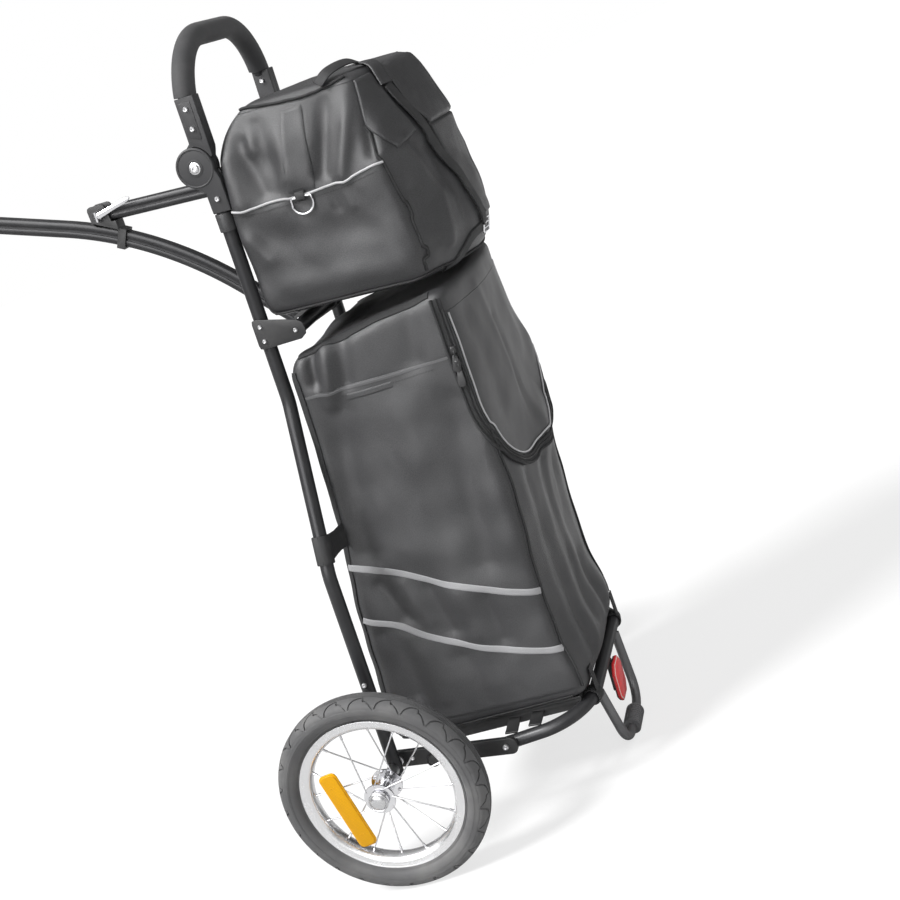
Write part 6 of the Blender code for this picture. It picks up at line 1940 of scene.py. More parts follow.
class TowArm:
    """The tow arm with its clamp, lever and strut, and the hitch at its end."""

    def __init__(self, sizes: ArmSizes = ArmSizes()) -> None:
        """Keeps the sizes."""
        self.sizes = sizes

    def build(self) -> None:
        """Makes every piece of the arm, the strut and the hitch."""
        self.arm()
        self.strut()
        self.clamp()
        self.lever()
        self.hitch()

    def bar(self, width: float, depth: float) -> list[Pair]:
        """A soft oval section with a groove along the middle of each side."""
        w, d = width / 2, depth / 2
        side = [
            (w - 0.0062, d), (w - 0.003, d - 0.0008), (w - 0.001, d - 0.0028), (w, d - 0.0062), (w, 0.003),
            (w - 0.0004, 0.0024)
        ]
        side += [(w - 0.0014, 0.002), (w - 0.0016, 0.0)]
        right = side + [(u, -v) for u, v in reversed(side[:-1])]
        return right + [(-u, v) for u, v in reversed(right)]

    def path(self, steps: int = 40) -> list[Vector]:
        """The arm's middle line."""
        size = self.sizes
        pivot = Vector((0.0, 0.0, size.pivot_z))
        way = Vector((0.0, math.cos(size.start_angle), math.sin(size.start_angle)))
        middle = pivot + way * size.straight + Vector(
            (0.0, math.sin(size.start_angle), -math.cos(size.start_angle))
        ) * size.bend
        path = [pivot]
        for step in range(steps + 1):
            angle = size.start_angle + (size.end_angle - size.start_angle) * step / steps
            path.append(middle + Vector((0.0, -math.sin(angle), math.cos(angle))) * size.bend)
        out = Vector((0.0, math.cos(size.end_angle), math.sin(size.end_angle)))
        path.append(path[-1] + out * ((size.front_y - path[-1].y) / out.y))
        return path

    def arm(self) -> None:
        """The grooved arm with its two eyes."""
        size = self.sizes
        shape = sweep(self.path(), self.bar(size.width, size.depth), ACROSS)
        half = size.width / 2
        for y, z in ((0.0, size.pivot_z), size.pitch):
            ring = [(y + u, z + v) for u, v in circle(size.depth / 2, 40)]
            shape.add(prism(ring, -half, half))
        build("arm_bar", shape, FRAME_PAINT, "arm", ["tow_arm"], sharp=35)

    def strut(self) -> None:
        """The strut: a collar on the upper cross tube and a grooved bar that forks round the skewer."""
        size = self.sizes
        root = Vector((0.0, 0.0, size.strut_z))
        tip = Vector((0.0, *size.skewer))
        way = (tip - root).normalized()
        up = Vector((0.0, -way.z, way.y))
        back = tip - way * 0.0065
        shape = sweep([root + way * 0.013, back], self.bar(size.width, size.strut_depth), ACROSS)
        half = size.width / 2
        end = root + way * (0.291 / way.y)
        for sign in (1.0, -1.0):
            near, far = 0.0056, size.strut_depth / 2
            seat, lip = back - way * 0.002, end - way * 0.002
            rows = []
            for x in (-half, -half + 0.001, half - 0.001, half):
                outline = [
                    seat + up * (sign * near), lip + up * (sign * near), end + up * (sign * (near + 0.0015)),
                    end + up * (sign * (far - 0.0025)), lip + up * (sign * far), seat + up * (sign * far)
                ]
                rows.append([point + ACROSS * x for point in outline])
            shape.add(loft(rows))
        collar = pipe([root - ACROSS * half, root + ACROSS * half], AHEAD, 0.016, 0.0047, 48)
        build("strut_bar", shape.add(collar), FRAME_PAINT, "strut", ["upper_strut"], sharp=35)

    def clamp(self) -> None:
        """The clamp's body and its skewer with an acorn nut."""
        dressed_copy("strut_clamp", "clamp_block", BLACK_PLASTIC, "arm", Bevel(0.0009, 3))
        y, z = self.sizes.skewer
        place = Matrix.Translation(Vector((0.0, y, z)))
        profile = [
            (-0.0175, 0.0062), (-0.0172, 0.0068), (-0.0142, 0.0068), (-0.0141, 0.0024), (0.0141, 0.0024),
            (0.0141, 0.0074)
        ]
        profile += [
            (0.015, 0.0076), (0.0196, 0.0076), (0.0202, 0.007), (0.0206, 0.0052), (0.0226, 0.0046),
            (0.0238, 0.003), (0.0241, 0.0004)
        ]
        build("clamp_screw", lathe(profile, 32).moved(place), CHROME, "arm", ["clamp_skewer"], sharp=35)

    def lever(self) -> None:
        """The cam lever: a round barrel at its root and a tapered blade."""
        y, z = self.sizes.skewer
        x = -0.0218
        root = Vector((x, y, z))
        tip = root + Vector((0.0, -0.068, 0.0163))
        path = curved(
            [
                root + Vector((0, 0.002, 0)), root.lerp(tip, 0.3) + ACROSS * -0.0008,
                root.lerp(tip, 0.7) + ACROSS * -0.0014, tip
            ],
            8
        )
        ways = directions(path)
        rows = []
        for k, (point, way) in enumerate(zip(path, ways)):
            t = k / (len(path) - 1)
            up = Vector((0.0, -way.z, way.y)).normalized()
            thick = 0.0026 - 0.0008 * t
            deep = 0.0052 - 0.0022 * abs(t - 0.15) + (
                0.0006 * math.sin(math.pi * min(1.0, max(0.0, (t - 0.55) / 0.45)))
            )
            deep = deep if 0 < k < len(path) - 1 else 0.5 * deep
            rows.append(
                [
                    point + ACROSS * (thick * math.cos(a)) + up * (deep * math.sin(a))
                    for a in (2 * math.pi * j / 20 for j in range(20))
                ]
            )
        blade = loft(rows)
        barrel = lathe([(-0.0085, 0.0032), (-0.008, 0.004), (0.008, 0.004), (0.0085, 0.0032)], 32)
        blade.add(barrel.moved(Matrix.Translation(root) @ Matrix.Rotation(math.pi / 2, 4, "Y")))
        build("lever_blade", blade, CHROME, "lever", ["clamp_lever"], sharp=50)

    def hitch(self) -> None:
        """The yoke, the seat-post clamp with its cap, and their pins."""
        dressed_copy("hitch_yoke", "yoke", BLACK_STEEL, "hitch", Bevel(0.001, 3))
        dressed_copy("hitch_pitch_pin", "yoke_pin", BRIGHT_STEEL, "hitch", Bevel(0.0006, 2))
        dressed_copy("seat_post_clamp", "post_block", BLACK_PLASTIC, "post_clamp", Bevel(0.001, 3))
        dressed_copy("seat_post_cap", "post_cap", BLACK_PLASTIC, "post_clamp", Bevel(0.0008, 3))
        dressed_copy("hitch_yaw_pin", "post_pin", BRIGHT_STEEL, "post_clamp", Bevel(0.0006, 2))


def fit_screws() -> None:
    """The small screws on the frame and the handle."""
    frame_spots, handle_spots = [], []
    for sign in SIDES.values():
        out = Vector((sign, 0.0, 0.0))
        handle_spots += [Spot(Vector((sign * 0.177, -0.002, z)), out) for z in (1.08, 1.051)]
        handle_spots += [Spot(Vector((sign * 0.1512, -0.002, z)), -out) for z in (1.08, 1.051)]
        frame_spots.append(Spot(Vector((sign * 0.1765, -0.003, 0.945)), out))
        frame_spots.append(Spot(Vector((sign * 0.2475, 0.0, 0.157)), out))
        frame_spots += [
            Spot(Vector((sign * 0.1783, y, z)), out, 0.85)
            for y, z in ((-0.001, 0.744), (-0.001, 0.721), (-0.055, 0.727))
        ]
        frame_spots.append(Spot(Vector((sign * 0.2193, -0.186, -0.005)), out, 1.25))
        frame_spots.append(Spot(Vector((sign * 0.2193, -0.026, -0.001)), out, 0.9))
    fasteners("handle_screws", socket_head(), handle_spots, BRIGHT_STEEL, "handle")
    fasteners("frame_screws", socket_head(), frame_spots, BRIGHT_STEEL, "frame")


@dataclass(frozen=True)
class Fold:
    """A ridge (or a valley where the height is negative) along a line on a bag."""

    line: tuple[tuple[float, float, float], ...]
    width: float
    height: float
    mirrored: bool = True


class Grid:
    """A bag's surface: rows of rings from the middle of its foot, up its walls, to the middle of its top."""

    def __init__(self, places: np.ndarray) -> None:
        """Keeps an array of rows, columns and coordinates."""
        self.places = places

    def smoothed(self, along: float, up: float) -> "Grid":
        """The grid with its edges softened.

        Args:
            along: how far the rings are blurred, in columns.
            up: how far the rows are blurred.

        Returns:
            A softened grid with its two middles kept.
        """
        places = self.places.copy()
        for axis, sigma in ((1, along), (0, up)):
            reach = int(3 * sigma) + 1
            weights = np.exp(-0.5 * (np.arange(-reach, reach + 1) / sigma) ** 2)
            weights /= weights.sum()
            if axis == 1:
                padded = np.concatenate([places[:, -reach:], places, places[:, :reach]], axis=1)
            else:
                start = 2 * places[:1] - places[reach:0:-1]
                end = 2 * places[-1:] - places[-2 : -reach - 2 : -1]
                padded = np.concatenate([start, places, end], axis=0)
            size = places.shape[axis]
            places = sum(w * np.take(padded, range(k, k + size), axis=axis) for k, w in enumerate(weights))
        places[0], places[-1] = self.places[0], self.places[-1]
        return Grid(places)

    def normals(self) -> np.ndarray:
        """Unit normals that point out of the bag."""
        around = np.roll(self.places, -1, axis=1) - np.roll(self.places, 1, axis=1)
        up = np.gradient(self.places, axis=0)
        normals = np.cross(around, up)
        length = np.linalg.norm(normals, axis=2, keepdims=True)
        normals = normals / np.maximum(length, 1e-12)
        outward = self.places - self.places.mean(axis=(0, 1))
        return normals if (normals * outward).sum() > 0 else -normals

    def moved(self, heights: np.ndarray) -> "Grid":
        """The grid moved along its normals, its two middles kept."""
        places = self.places + self.normals() * heights[..., None]
        places[0], places[-1] = self.places[0], self.places[-1]
        return Grid(places)

    def shape(self, step: int = 1) -> Shape:
        """The grid as a closed shape, every step-th point of it.

        Args:
            step: how many points are passed over.

        Returns:
            The shape, with flat places in metres.
        """
        rows = sorted({*range(0, len(self.places), step), len(self.places) - 1})
        places = self.places[rows][:, ::step]
        middle = places[len(places) // 2]
        around = np.concatenate([[0.0], np.cumsum(np.linalg.norm(np.diff(middle, axis=0), axis=1))])
        up = np.concatenate([[0.0], np.cumsum(np.linalg.norm(np.diff(places, axis=0), axis=2).max(axis=1))])
        count = places.shape[1]
        shape = Shape([Vector(point) for point in places.reshape(-1, 3)])
        shape.flat = [(float(u), float(v)) for v in up for u in around]
        for j in range(len(places) - 1):
            for i in range(count):
                k = (i + 1) % count
                shape.faces.append((j * count + i, j * count + k, (j + 1) * count + k, (j + 1) * count + i))
        return shape


def pressed(places: np.ndarray, folds: Sequence[Fold]) -> np.ndarray:
    """How far folds move each place of a grid out or in.

    Args:
        places: rows, columns and coordinates.
        folds: the ridges and valleys.

    Returns:
        Heights in rows and columns.
    """
    flat = places.reshape(-1, 3)
    total = np.zeros(len(flat))
    for fold in folds:
        for sign in (1.0, -1.0) if fold.mirrored else (1.0,):
            line = np.array(fold.line) * (sign, 1.0, 1.0)
            nearest = np.full(len(flat), np.inf)
            for start, end in zip(line[:-1], line[1:]):
                way = end - start
                share = np.clip((flat - start) @ way / (way @ way), 0.0, 1.0)
                away = np.linalg.norm(flat - start - share[:, None] * way, axis=1)
                nearest = np.minimum(nearest, away)
            total += fold.height * np.exp(-((nearest / fold.width) ** 2))
    return total.reshape(places.shape[:2])


def lumps(places: np.ndarray, seed: int, waves: Sequence[tuple[float, float]]) -> np.ndarray:
    """Soft seeded unevenness.

    Args:
        places: rows, columns and coordinates.
        seed: the seed.
        waves: (length, height) pairs in metres.

    Returns:
        Heights in rows and columns.
    """
    random = np.random.default_rng(seed)
    total = np.zeros(places.shape[:2])
    for length, height in waves:
        for _ in range(7):
            way = random.normal(size=3)
            way *= 2 * np.pi / (length * random.uniform(0.8, 1.3)) / np.linalg.norm(way)
            total += height / 3.0 * np.sin(places @ way + random.uniform(0, 2 * np.pi))
    return total


@dataclass(frozen=True)
class Touch:
    """A point on a bag's skin, and the way out of it."""

    place: Vector
    out: Vector


class Skin:
    """A bag's outer surface, for trims that lie on it."""

    def __init__(self, shape: Shape) -> None:
        """Keeps the surface as a search tree."""
        self.tree = BVHTree.FromPolygons(shape.points, shape.faces)
        self.middle = sum(shape.points, Vector()) / len(shape.points)

    def touch(self, point: Vector, lift: float = 0.0) -> Touch:
        """The nearest point on the skin, lifted off it.

        Args:
            point: where to look.
            lift: how far to lift.

        Returns:
            The touched place.
        """
        place, out, _, _ = self.tree.find_nearest(point)
        if out.dot(place - self.middle) < 0:
            out = -out
        return Touch(place + out * lift, out)

    def line(
        self, points: Sequence[Sequence[float]], lift: float = 0.0, step: float = 0.005, smooth: bool = True
    ) -> list[Touch]:
        """An evenly spaced line on the skin through points.

        Args:
            points: the points to pass.
            lift: how far the line lies off the skin.
            step: the spacing.
            smooth: whether the line bends softly at the points.

        Returns:
            The touched places in order.
        """
        corners = [Vector(point) for point in points]
        path = curved(corners, 10) if smooth and len(corners) > 2 else corners
        found = []
        for start, end in zip(path[:-1], path[1:]):
            count = max(1, round((end - start).length / step))
            found += [self.touch(start.lerp(end, k / count), lift) for k in range(count)]
        found.append(self.touch(path[-1], lift))
        even = [found[0]]
        for touch in found[1:]:
            if (touch.place - even[-1].place).length > 0.35 * step:
                even.append(touch)
        return even

    def places(self, points: Sequence[Sequence[float]], lift: float) -> list[Vector]:
        """The places of an evenly spaced line on the skin."""
        return [touch.place for touch in self.line(points, lift)]

    def ribbon(
        self, points: Sequence[Sequence[float]], width: float, thick: float, lift: float = 0.0,
        smooth: bool = True
    ) -> Shape:
        """A flat strip that follows the skin.

        Args:
            points: the points on its middle line.
            width: its width.
            thick: its thickness.
            lift: how far its underside lies off the skin.
            smooth: whether the line bends softly at the points.

        Returns:
            The strip.
        """
        path = self.line(points, 0.0, 0.005, smooth)
        ways = directions([touch.place for touch in path])
        rows = []
        half = width / 2
        for touch, way in zip(path, ways):
            beside = way.cross(touch.out).normalized()
            across = [
                self.touch(touch.place + beside * half * share)
                for share in (-1.0, -0.9, -0.45, 0.0, 0.45, 0.9, 1.0)
            ]
            heights = (0.35, 1.0, 1.0, 1.0, 1.0, 1.0, 0.35)
            top = [spot.place + spot.out * (lift + thick * h) for spot, h in zip(across, heights)]
            low = [spot.place + spot.out * (lift - 0.0004) for spot in across]
            rows.append(top + low[::-1])
        shape = loft(rows)
        shape.flat = [(v, u) for u, v in shape.flat]
        return shape

    def cord(
        self, points: Sequence[Sequence[float]], radius: float, sunk: float = 0.3, smooth: bool = True
    ) -> Shape:
        """A round cord along the skin, sunk into it by a share of its radius."""
        path = self.line(points, radius * (1 - sunk), 0.004, smooth)
        return pipe([touch.place for touch in path], path[0].out, radius, sides=10)

    def patch(
        self, first: Sequence[Sequence[float]], last: Sequence[Sequence[float]], thick: float,
        count: int = 24, lift: float = 0.0
    ) -> Shape:
        """A panel on the skin between two lines.

        Args:
            first: the points of one edge.
            last: the points of the other.
            thick: the panel's thickness.
            count: how many rows lie between.
            lift: how far its underside lies off the skin.

        Returns:
            The panel.
        """
        edges = [[touch.place for touch in self.line(edge, 0.0, 0.003)] for edge in (first, last)]
        size = max(len(edge) for edge in edges)
        even = []
        for edge in edges:
            spots = np.array(edge)
            run = np.concatenate([[0.0], np.cumsum(np.linalg.norm(np.diff(spots, axis=0), axis=1))])
            at = np.linspace(0.0, run[-1], size)
            even.append([Vector([float(np.interp(t, run, spots[:, axis])) for axis in range(3)]) for t in at])
        rows = []
        for k in range(count + 1):
            share = k / count
            across = [self.touch(a.lerp(b, share)) for a, b in zip(*even)]
            high = 0.35 if k in (0, count) else 1.0
            heights = [high * (0.35 if j in (0, size - 1) else 1.0) for j in range(size)]
            top = [spot.place + spot.out * (lift + thick * h) for spot, h in zip(across, heights)]
            low = [spot.place + spot.out * (lift - 0.0006) for spot in across]
            rows.append(top + low[::-1])
        return loft(rows)


def mirrored(points: Sequence[Sequence[float]]) -> list[tuple[float, float, float]]:
    """The same points on the other side of the middle plane."""
    return [(-x, y, z) for x, y, z in points]


def both(make: Callable, *lines: Sequence[Sequence[float]], **sizes: object) -> Shape:
    """One shape from a maker's shapes on both sides of the middle plane."""
    return make(*lines, **sizes).add(make(*(mirrored(line) for line in lines), **sizes))


def carved(base: bpy.types.Object, tool: Shape, operation: str, name: str) -> bpy.types.Object:
    """A copy of an object cut or crossed with a shape, in the trailer's axes.

    Args:
        base: the object.
        tool: the cutter.
        operation: the Boolean operation.
        name: the copy's name.

    Returns:
        The new object.
    """
    made = linked(name, base.data.copy())
    cutter = mesh_object(f"{name}_cutter", tool, Matrix.Identity(4))
    modifier = made.modifiers.new(operation, "BOOLEAN")
    modifier.operation, modifier.solver, modifier.object = operation, "EXACT", cutter
    apply_modifiers(made)
    bpy.data.objects.remove(cutter)
    return made


def block(low: Vector, high: Vector) -> Shape:
    """A plain block."""
    return prism([(low.y, low.z), (high.y, low.z), (high.y, high.z), (low.y, high.z)], low.x, high.x)


def sliced(base: bpy.types.Object, height: float, above: bool, name: str) -> bpy.types.Object:
    """One side of a two-walled cloth cut level, its cut edge closed between the walls.

    Args:
        base: the cloth, in the trailer's axes.
        height: where it is cut.
        above: whether the upper side is kept.
        name: the piece's name.

    Returns:
        The new object.
    """
    made = linked(name, base.data.copy())
    skin = bmesh.new()
    skin.from_mesh(made.data)
    geometry = [*skin.verts, *skin.edges, *skin.faces]
    plane = {"plane_co": (0.0, 0.0, height), "plane_no": (0.0, 0.0, 1.0)}
    bmesh.ops.bisect_plane(skin, geom=geometry, clear_inner=above, clear_outer=not above, **plane)
    open_edges = [edge for edge in skin.edges if edge.is_boundary]
    bmesh.ops.bridge_loops(skin, edges=open_edges)
    skin.to_mesh(made.data)
    skin.free()
    return made


class Bag:
    """What both bags share: a hollow cloth form in two parts, and trims on its skin."""

    name = "bag"
    side_columns = 60
    face_columns = 76
    cloth = 0.0035

    def ring(self, share: float) -> np.ndarray:
        """The bag's ring at a share of its height."""
        raise NotImplementedError

    def caps(self) -> tuple[int, float, float]:
        """How many rows each cap has, and how far the foot's and the top's middle stand out."""
        return 30, 0.0, 0.004

    def grid(self, walls: int) -> Grid:
        """The bag's sharp-edged grid.

        Args:
            walls: how many rows its walls have.

        Returns:
            The grid.
        """
        rows = [self.ring(k / (walls - 1)) for k in range(walls)]
        count, foot, crown = self.caps()
        for end, sign, swell in ((0, -1.0, foot), (-1, 1.0, crown)):
            edge = rows[end]
            middle = (edge[:, 1].min() + edge[:, 1].max()) / 2
            half = np.abs(edge[:, 0]).max() - (edge[:, 1].max() - edge[:, 1].min()) / 2
            spine = edge.copy()
            spine[:, 0] = np.clip(edge[:, 0], -half, half)
            spine[:, 1] = middle
            spine[:, 2] = np.interp(middle, *self.fall(edge))
            cap = []
            for k in range(1, count + 1):
                share = k / count
                row = edge + (spine - edge) * share
                row[:, 2] += sign * swell * math.sin(math.pi / 2 * share)
                cap.append(row)
            rows = cap[::-1] + rows if sign < 0 else rows + cap
        return Grid(np.array(rows))

    def fall(self, edge: np.ndarray) -> tuple[list[float], list[float]]:
        """A ring's heights by y, from its rear to its front."""
        order = np.argsort(edge[:, 1])
        return list(edge[order, 1]), list(edge[order, 2])

    def loop(self, front: float, back: float, swell: float, half: float, height: Callable) -> np.ndarray:
        """A ring of four sides, the rear one swollen.

        Args:
            front: its front's y.
            back: its rear's y at the sides.
            swell: how far the rear's middle stands out.
            half: its half width.
            height: gives z from y.

        Returns:
            The ring's places, from the left front corner round by the rear.
        """
        s = np.arange(self.side_columns) / self.side_columns
        f = np.arange(self.face_columns) / self.face_columns
        rear_x = -half + 2 * half * f
        x = np.concatenate([np.full(len(s), -half), rear_x, np.full(len(s), half), -rear_x])
        rear_y = back - swell * (1 - (rear_x / half) ** 2)
        y = np.concatenate(
            [front + (back - front) * s, rear_y, back + (front - back) * s, np.full(len(f), front)]
        )
        return np.stack([x, y, height(y)], axis=1)

    def hollow(self, grid: Grid, wall: float) -> bpy.types.Object:
        """The cloth as one hollow object in the trailer's axes, its inside coarser than its outside.

        Args:
            grid: the outer surface.
            wall: the cloth's thickness.

        Returns:
            The object.
        """
        outer = mesh_object(f"{self.name}_cloth", grid.shape(), Matrix.Identity(4))
        inner = mesh_object(
            f"{self.name}_lining", grid.moved(np.full(grid.places.shape[:2], -wall)).shape(3),
            Matrix.Identity(4)
        )
        skin = bmesh.new()
        skin.from_mesh(inner.data)
        bmesh.ops.reverse_faces(skin, faces=skin.faces)
        skin.from_mesh(outer.data)
        skin.to_mesh(outer.data)
        skin.free()
        bpy.data.objects.remove(inner)
        return outer

    def settle(
        self, made: bpy.types.Object, finish: Finish, body: str, replaces: Sequence[str], bends: bool = False
    ) -> None:
        """Puts a cloth part in the world and hands it over."""
        made.data.transform(TRAILER.matrix)
        hand_over(made, finish, body, replaces, 60.0, bends)


class LowerBag(Bag):
    """The tall shopping bag with its zipped rear flap, side pockets, stripes and straps."""

    name = "lower_bag"
    face_columns = 84
    side_columns = 68
    half_width = 0.176
    flap_half = 0.1705
    flap_foot = 0.419
    flap_top = 0.699
    strap_z = 0.3875
    folds = (
        Fold(((-0.176, -0.066, 0.72), (-0.176, -0.056, 0.64)), 0.011, -0.011),
        Fold(((-0.176, -0.094, 0.722), (-0.176, -0.082, 0.66), (-0.176, -0.07, 0.6)), 0.012, 0.006),
        Fold(((-0.176, -0.122, 0.715), (-0.176, -0.104, 0.63)), 0.013, -0.005),
        Fold(((-0.176, -0.18, 0.72), (-0.176, -0.17, 0.64)), 0.022, 0.003),
        Fold(((-0.176, -0.235, 0.72), (-0.176, -0.22, 0.64)), 0.018, -0.004),
        Fold(((-0.176, -0.078, 0.585), (-0.176, -0.052, 0.4423), (-0.176, -0.045, 0.355)), 0.03, -0.011),
        Fold(
            ((-0.176, -0.205, 0.6), (-0.176, -0.178, 0.507), (-0.176, -0.15, 0.428), (-0.176, -0.135, 0.345)),
            0.036, 0.0055
        ),
        Fold(((-0.176, -0.262, 0.56), (-0.176, -0.245, 0.42), (-0.176, -0.235, 0.3)), 0.026, -0.007),
        Fold(((-0.176, -0.05, 0.29), (-0.176, -0.075, 0.23)), 0.014, -0.0045),
        Fold(((-0.176, -0.09, 0.285), (-0.176, -0.11, 0.215)), 0.013, 0.003),
        Fold(((-0.176, -0.13, 0.27), (-0.176, -0.145, 0.195)), 0.014, -0.0045),
        Fold(((-0.176, -0.17, 0.255), (-0.176, -0.18, 0.18)), 0.014, 0.0032),
        Fold(((-0.176, -0.215, 0.235), (-0.176, -0.222, 0.165)), 0.014, -0.0035),
        Fold(((-0.176, -0.03, 0.205), (-0.176, -0.05, 0.09)), 0.014, -0.005),
        Fold(((-0.176, -0.075, 0.19), (-0.176, -0.095, 0.08)), 0.022, 0.004),
        Fold(((-0.176, -0.15, 0.14), (-0.176, -0.165, 0.06)), 0.022, -0.005),
        Fold(((-0.176, -0.24, 0.12), (-0.176, -0.25, 0.06)), 0.024, 0.0025),
        Fold(((-0.13, -0.32, 0.42), (-0.11, -0.325, 0.3), (-0.12, -0.325, 0.08)), 0.02, 0.0045),
        Fold(((-0.085, -0.32, 0.4), (-0.07, -0.325, 0.25), (-0.08, -0.325, 0.06)), 0.016, -0.0055),
        Fold(((-0.03, -0.32, 0.39), (-0.03, -0.325, 0.23), (-0.045, -0.325, 0.08)), 0.018, 0.0045),
        Fold(((0.015, -0.32, 0.38), (0.015, -0.325, 0.23), (0.0, -0.325, 0.09)), 0.012, -0.0045, False),
        Fold(((0.06, -0.32, 0.38), (0.075, -0.325, 0.2)), 0.018, 0.004, False),
        Fold(((-0.02, -0.32, 0.64), (0.03, -0.325, 0.43)), 0.013, -0.0045, False),
        Fold(((-0.05, -0.32, 0.7), (-0.01, -0.325, 0.52)), 0.014, 0.003, False),
        Fold(((-0.12, -0.31, 0.68), (-0.09, -0.32, 0.52)), 0.022, -0.0035, False),
        Fold(((0.08, -0.31, 0.68), (0.1, -0.32, 0.52)), 0.026, 0.0034, False),
        Fold(((0.06, -0.325, 0.43), (0.14, -0.315, 0.445), (0.172, -0.3, 0.54)), 0.05, 0.019, False),
        Fold(((-0.11, -0.32, 0.43), (-0.05, -0.325, 0.412), (0.03, -0.325, 0.412)), 0.026, 0.0055, False),
        Fold(((-0.05, -0.1, 0.7), (0.05, -0.16, 0.712)), 0.03, -0.004, False),
    )

    def back(self, z: float) -> float:
        """The y of the rear's side edges at a height."""
        return float(
            np.interp(
                z, (0.035, 0.085, 0.14, 0.25, 0.4, 0.55, 0.735),
                (-0.327, -0.324, -0.309, -0.304, -0.302, -0.297, -0.289)
            )
        )

    def ring(self, share: float) -> np.ndarray:
        """The ring at a share of the bag's height."""
        front = float(
            np.interp(
                0.7 * share, (0.0, 0.11, 0.31, 0.45, 0.62, 0.675, 0.7),
                (0.014, 0.014, -0.001, -0.012, -0.0175, -0.0175, -0.03)
            )
        )
        back = self.back(0.035 + 0.7 * share)

        def height(y: np.ndarray) -> np.ndarray:
            """Heights on the ring, tilted from the board's slope to the top's."""
            foot = 0.0019 + (-0.002 - np.minimum(y, -0.002)) * BOARD_SLOPE
            top = 0.681 + (-0.031 - y) * 0.2093
            return foot + (top - foot) * share

        swell = float(np.interp(share, (0.0, 0.35, 0.55, 0.78, 1.0), (0.01, 0.01, 0.014, 0.022, 0.02)))
        return self.loop(front, back, swell, self.half_width, height)

    def unrolled(self, x: float, z: float, lift: float = 0.002) -> tuple[float, float, float]:
        """A place near the rear, its x measured along the cloth round the rear corners.

        Args:
            x: the way along the cloth from the middle.
            z: the height.
            lift: how far it stands off.

        Returns:
            The place.
        """
        radius, side = 0.016, math.copysign(1.0, x)
        flat = self.half_width - radius
        turn = min(max(abs(x) - flat, 0.0) / radius, math.pi / 2)
        away = max(abs(x) - flat - radius * math.pi / 2, 0.0)
        y = self.back(z) + radius - (radius + lift) * math.cos(turn) + away
        if abs(x) <= flat:
            y -= 0.02
        return (side * (min(abs(x), flat) + (radius + lift) * math.sin(turn)), y, z)

    def surface(self) -> Grid:
        """The cloth's outer surface with its folds."""
        grid = self.grid(168).smoothed(3.4, 3.2)
        heights = pressed(grid.places, self.folds) + lumps(
            grid.places, 7, ((0.17, 0.0026), (0.07, 0.0008), (0.03, 0.00015))
        )
        walls = np.clip((grid.places[..., 2] - 0.03) / 0.04, 0.0, 1.0) * np.clip(
            (0.76 - grid.places[..., 2]) / 0.05, 0.15, 1.0
        )
        return grid.moved(heights * walls)

    def build(self) -> None:
        """Makes the cloth, its flap and every trim."""
        grid = self.surface()
        self.skin = Skin(grid.shape())
        cloth = self.hollow(grid, self.cloth)
        bag = carved(cloth, self.flap_cutter(0.0), "DIFFERENCE", "lower_bag_shell")
        flap = carved(cloth, self.flap_cutter(0.0006), "INTERSECT", "lower_flap_cloth")
        bpy.data.objects.remove(cloth)
        self.settle(bag, BAG_CLOTH, "frame", ["lower_bag"])
        self.settle(flap, BAG_CLOTH, "flap", ["lower_flap"], True)
        self.pockets()
        self.stripes()
        self.seams()
        self.zip()
        self.straps()

    def flap_outline(self, margin: float, foot: float, radius: float = 0.14, count: int = 24) -> list[Pair]:
        """The flap's outline as (x, z), smaller by a margin, from its top left corner round by its foot."""
        w, low, r = self.flap_half - margin, foot + margin, radius - margin
        line = [(-w, self.flap_top - margin)]
        for start, x in ((math.pi, r - w), (1.5 * math.pi, w - r)):
            for k in range(count + 1):
                turn = start + math.pi / 2 * k / count
                line.append((x + r * math.cos(turn), low + r + r * math.sin(turn)))
        return line + [(w, self.flap_top - margin)]

    def flap_cutter(self, margin: float) -> Shape:
        """A prism with the flap's outline."""
        rows = [
            [Vector((x, y, z)) for x, z in self.flap_outline(margin, self.flap_foot)] for y in (-0.42, -0.262)
        ]
        return loft(rows)

    def on_rear(self, outline: Sequence[Pair]) -> list[tuple[float, float, float]]:
        """Outline pairs as places near the rear of the bag, round its corners."""
        line = [Vector((x, 0.0, z)) for x, z in outline]
        places = []
        for start, end in zip(line[:-1], line[1:]):
            count = max(1, round((end - start).length / 0.012))
            places += [start.lerp(end, k / count) for k in range(count)]
        return [self.unrolled(point.x, point.z) for point in [*places, line[-1]]]

    def seam_line(self) -> list[tuple[float, float, float]]:
        """The near seam between the side and the rear, from under the zip to the foot."""
        high = [
            (-0.1642, -0.2979, 0.5039), (-0.1608, -0.3005, 0.4438), (-0.161, -0.3029, 0.3792),
            (-0.1634, -0.3026, 0.3081)
        ]
        return high + [
            (-0.1634, -0.3024, 0.2381), (-0.1627, -0.306, 0.1748), (-0.166, -0.3125, 0.1249),
            (-0.169, -0.324, 0.056)
        ]

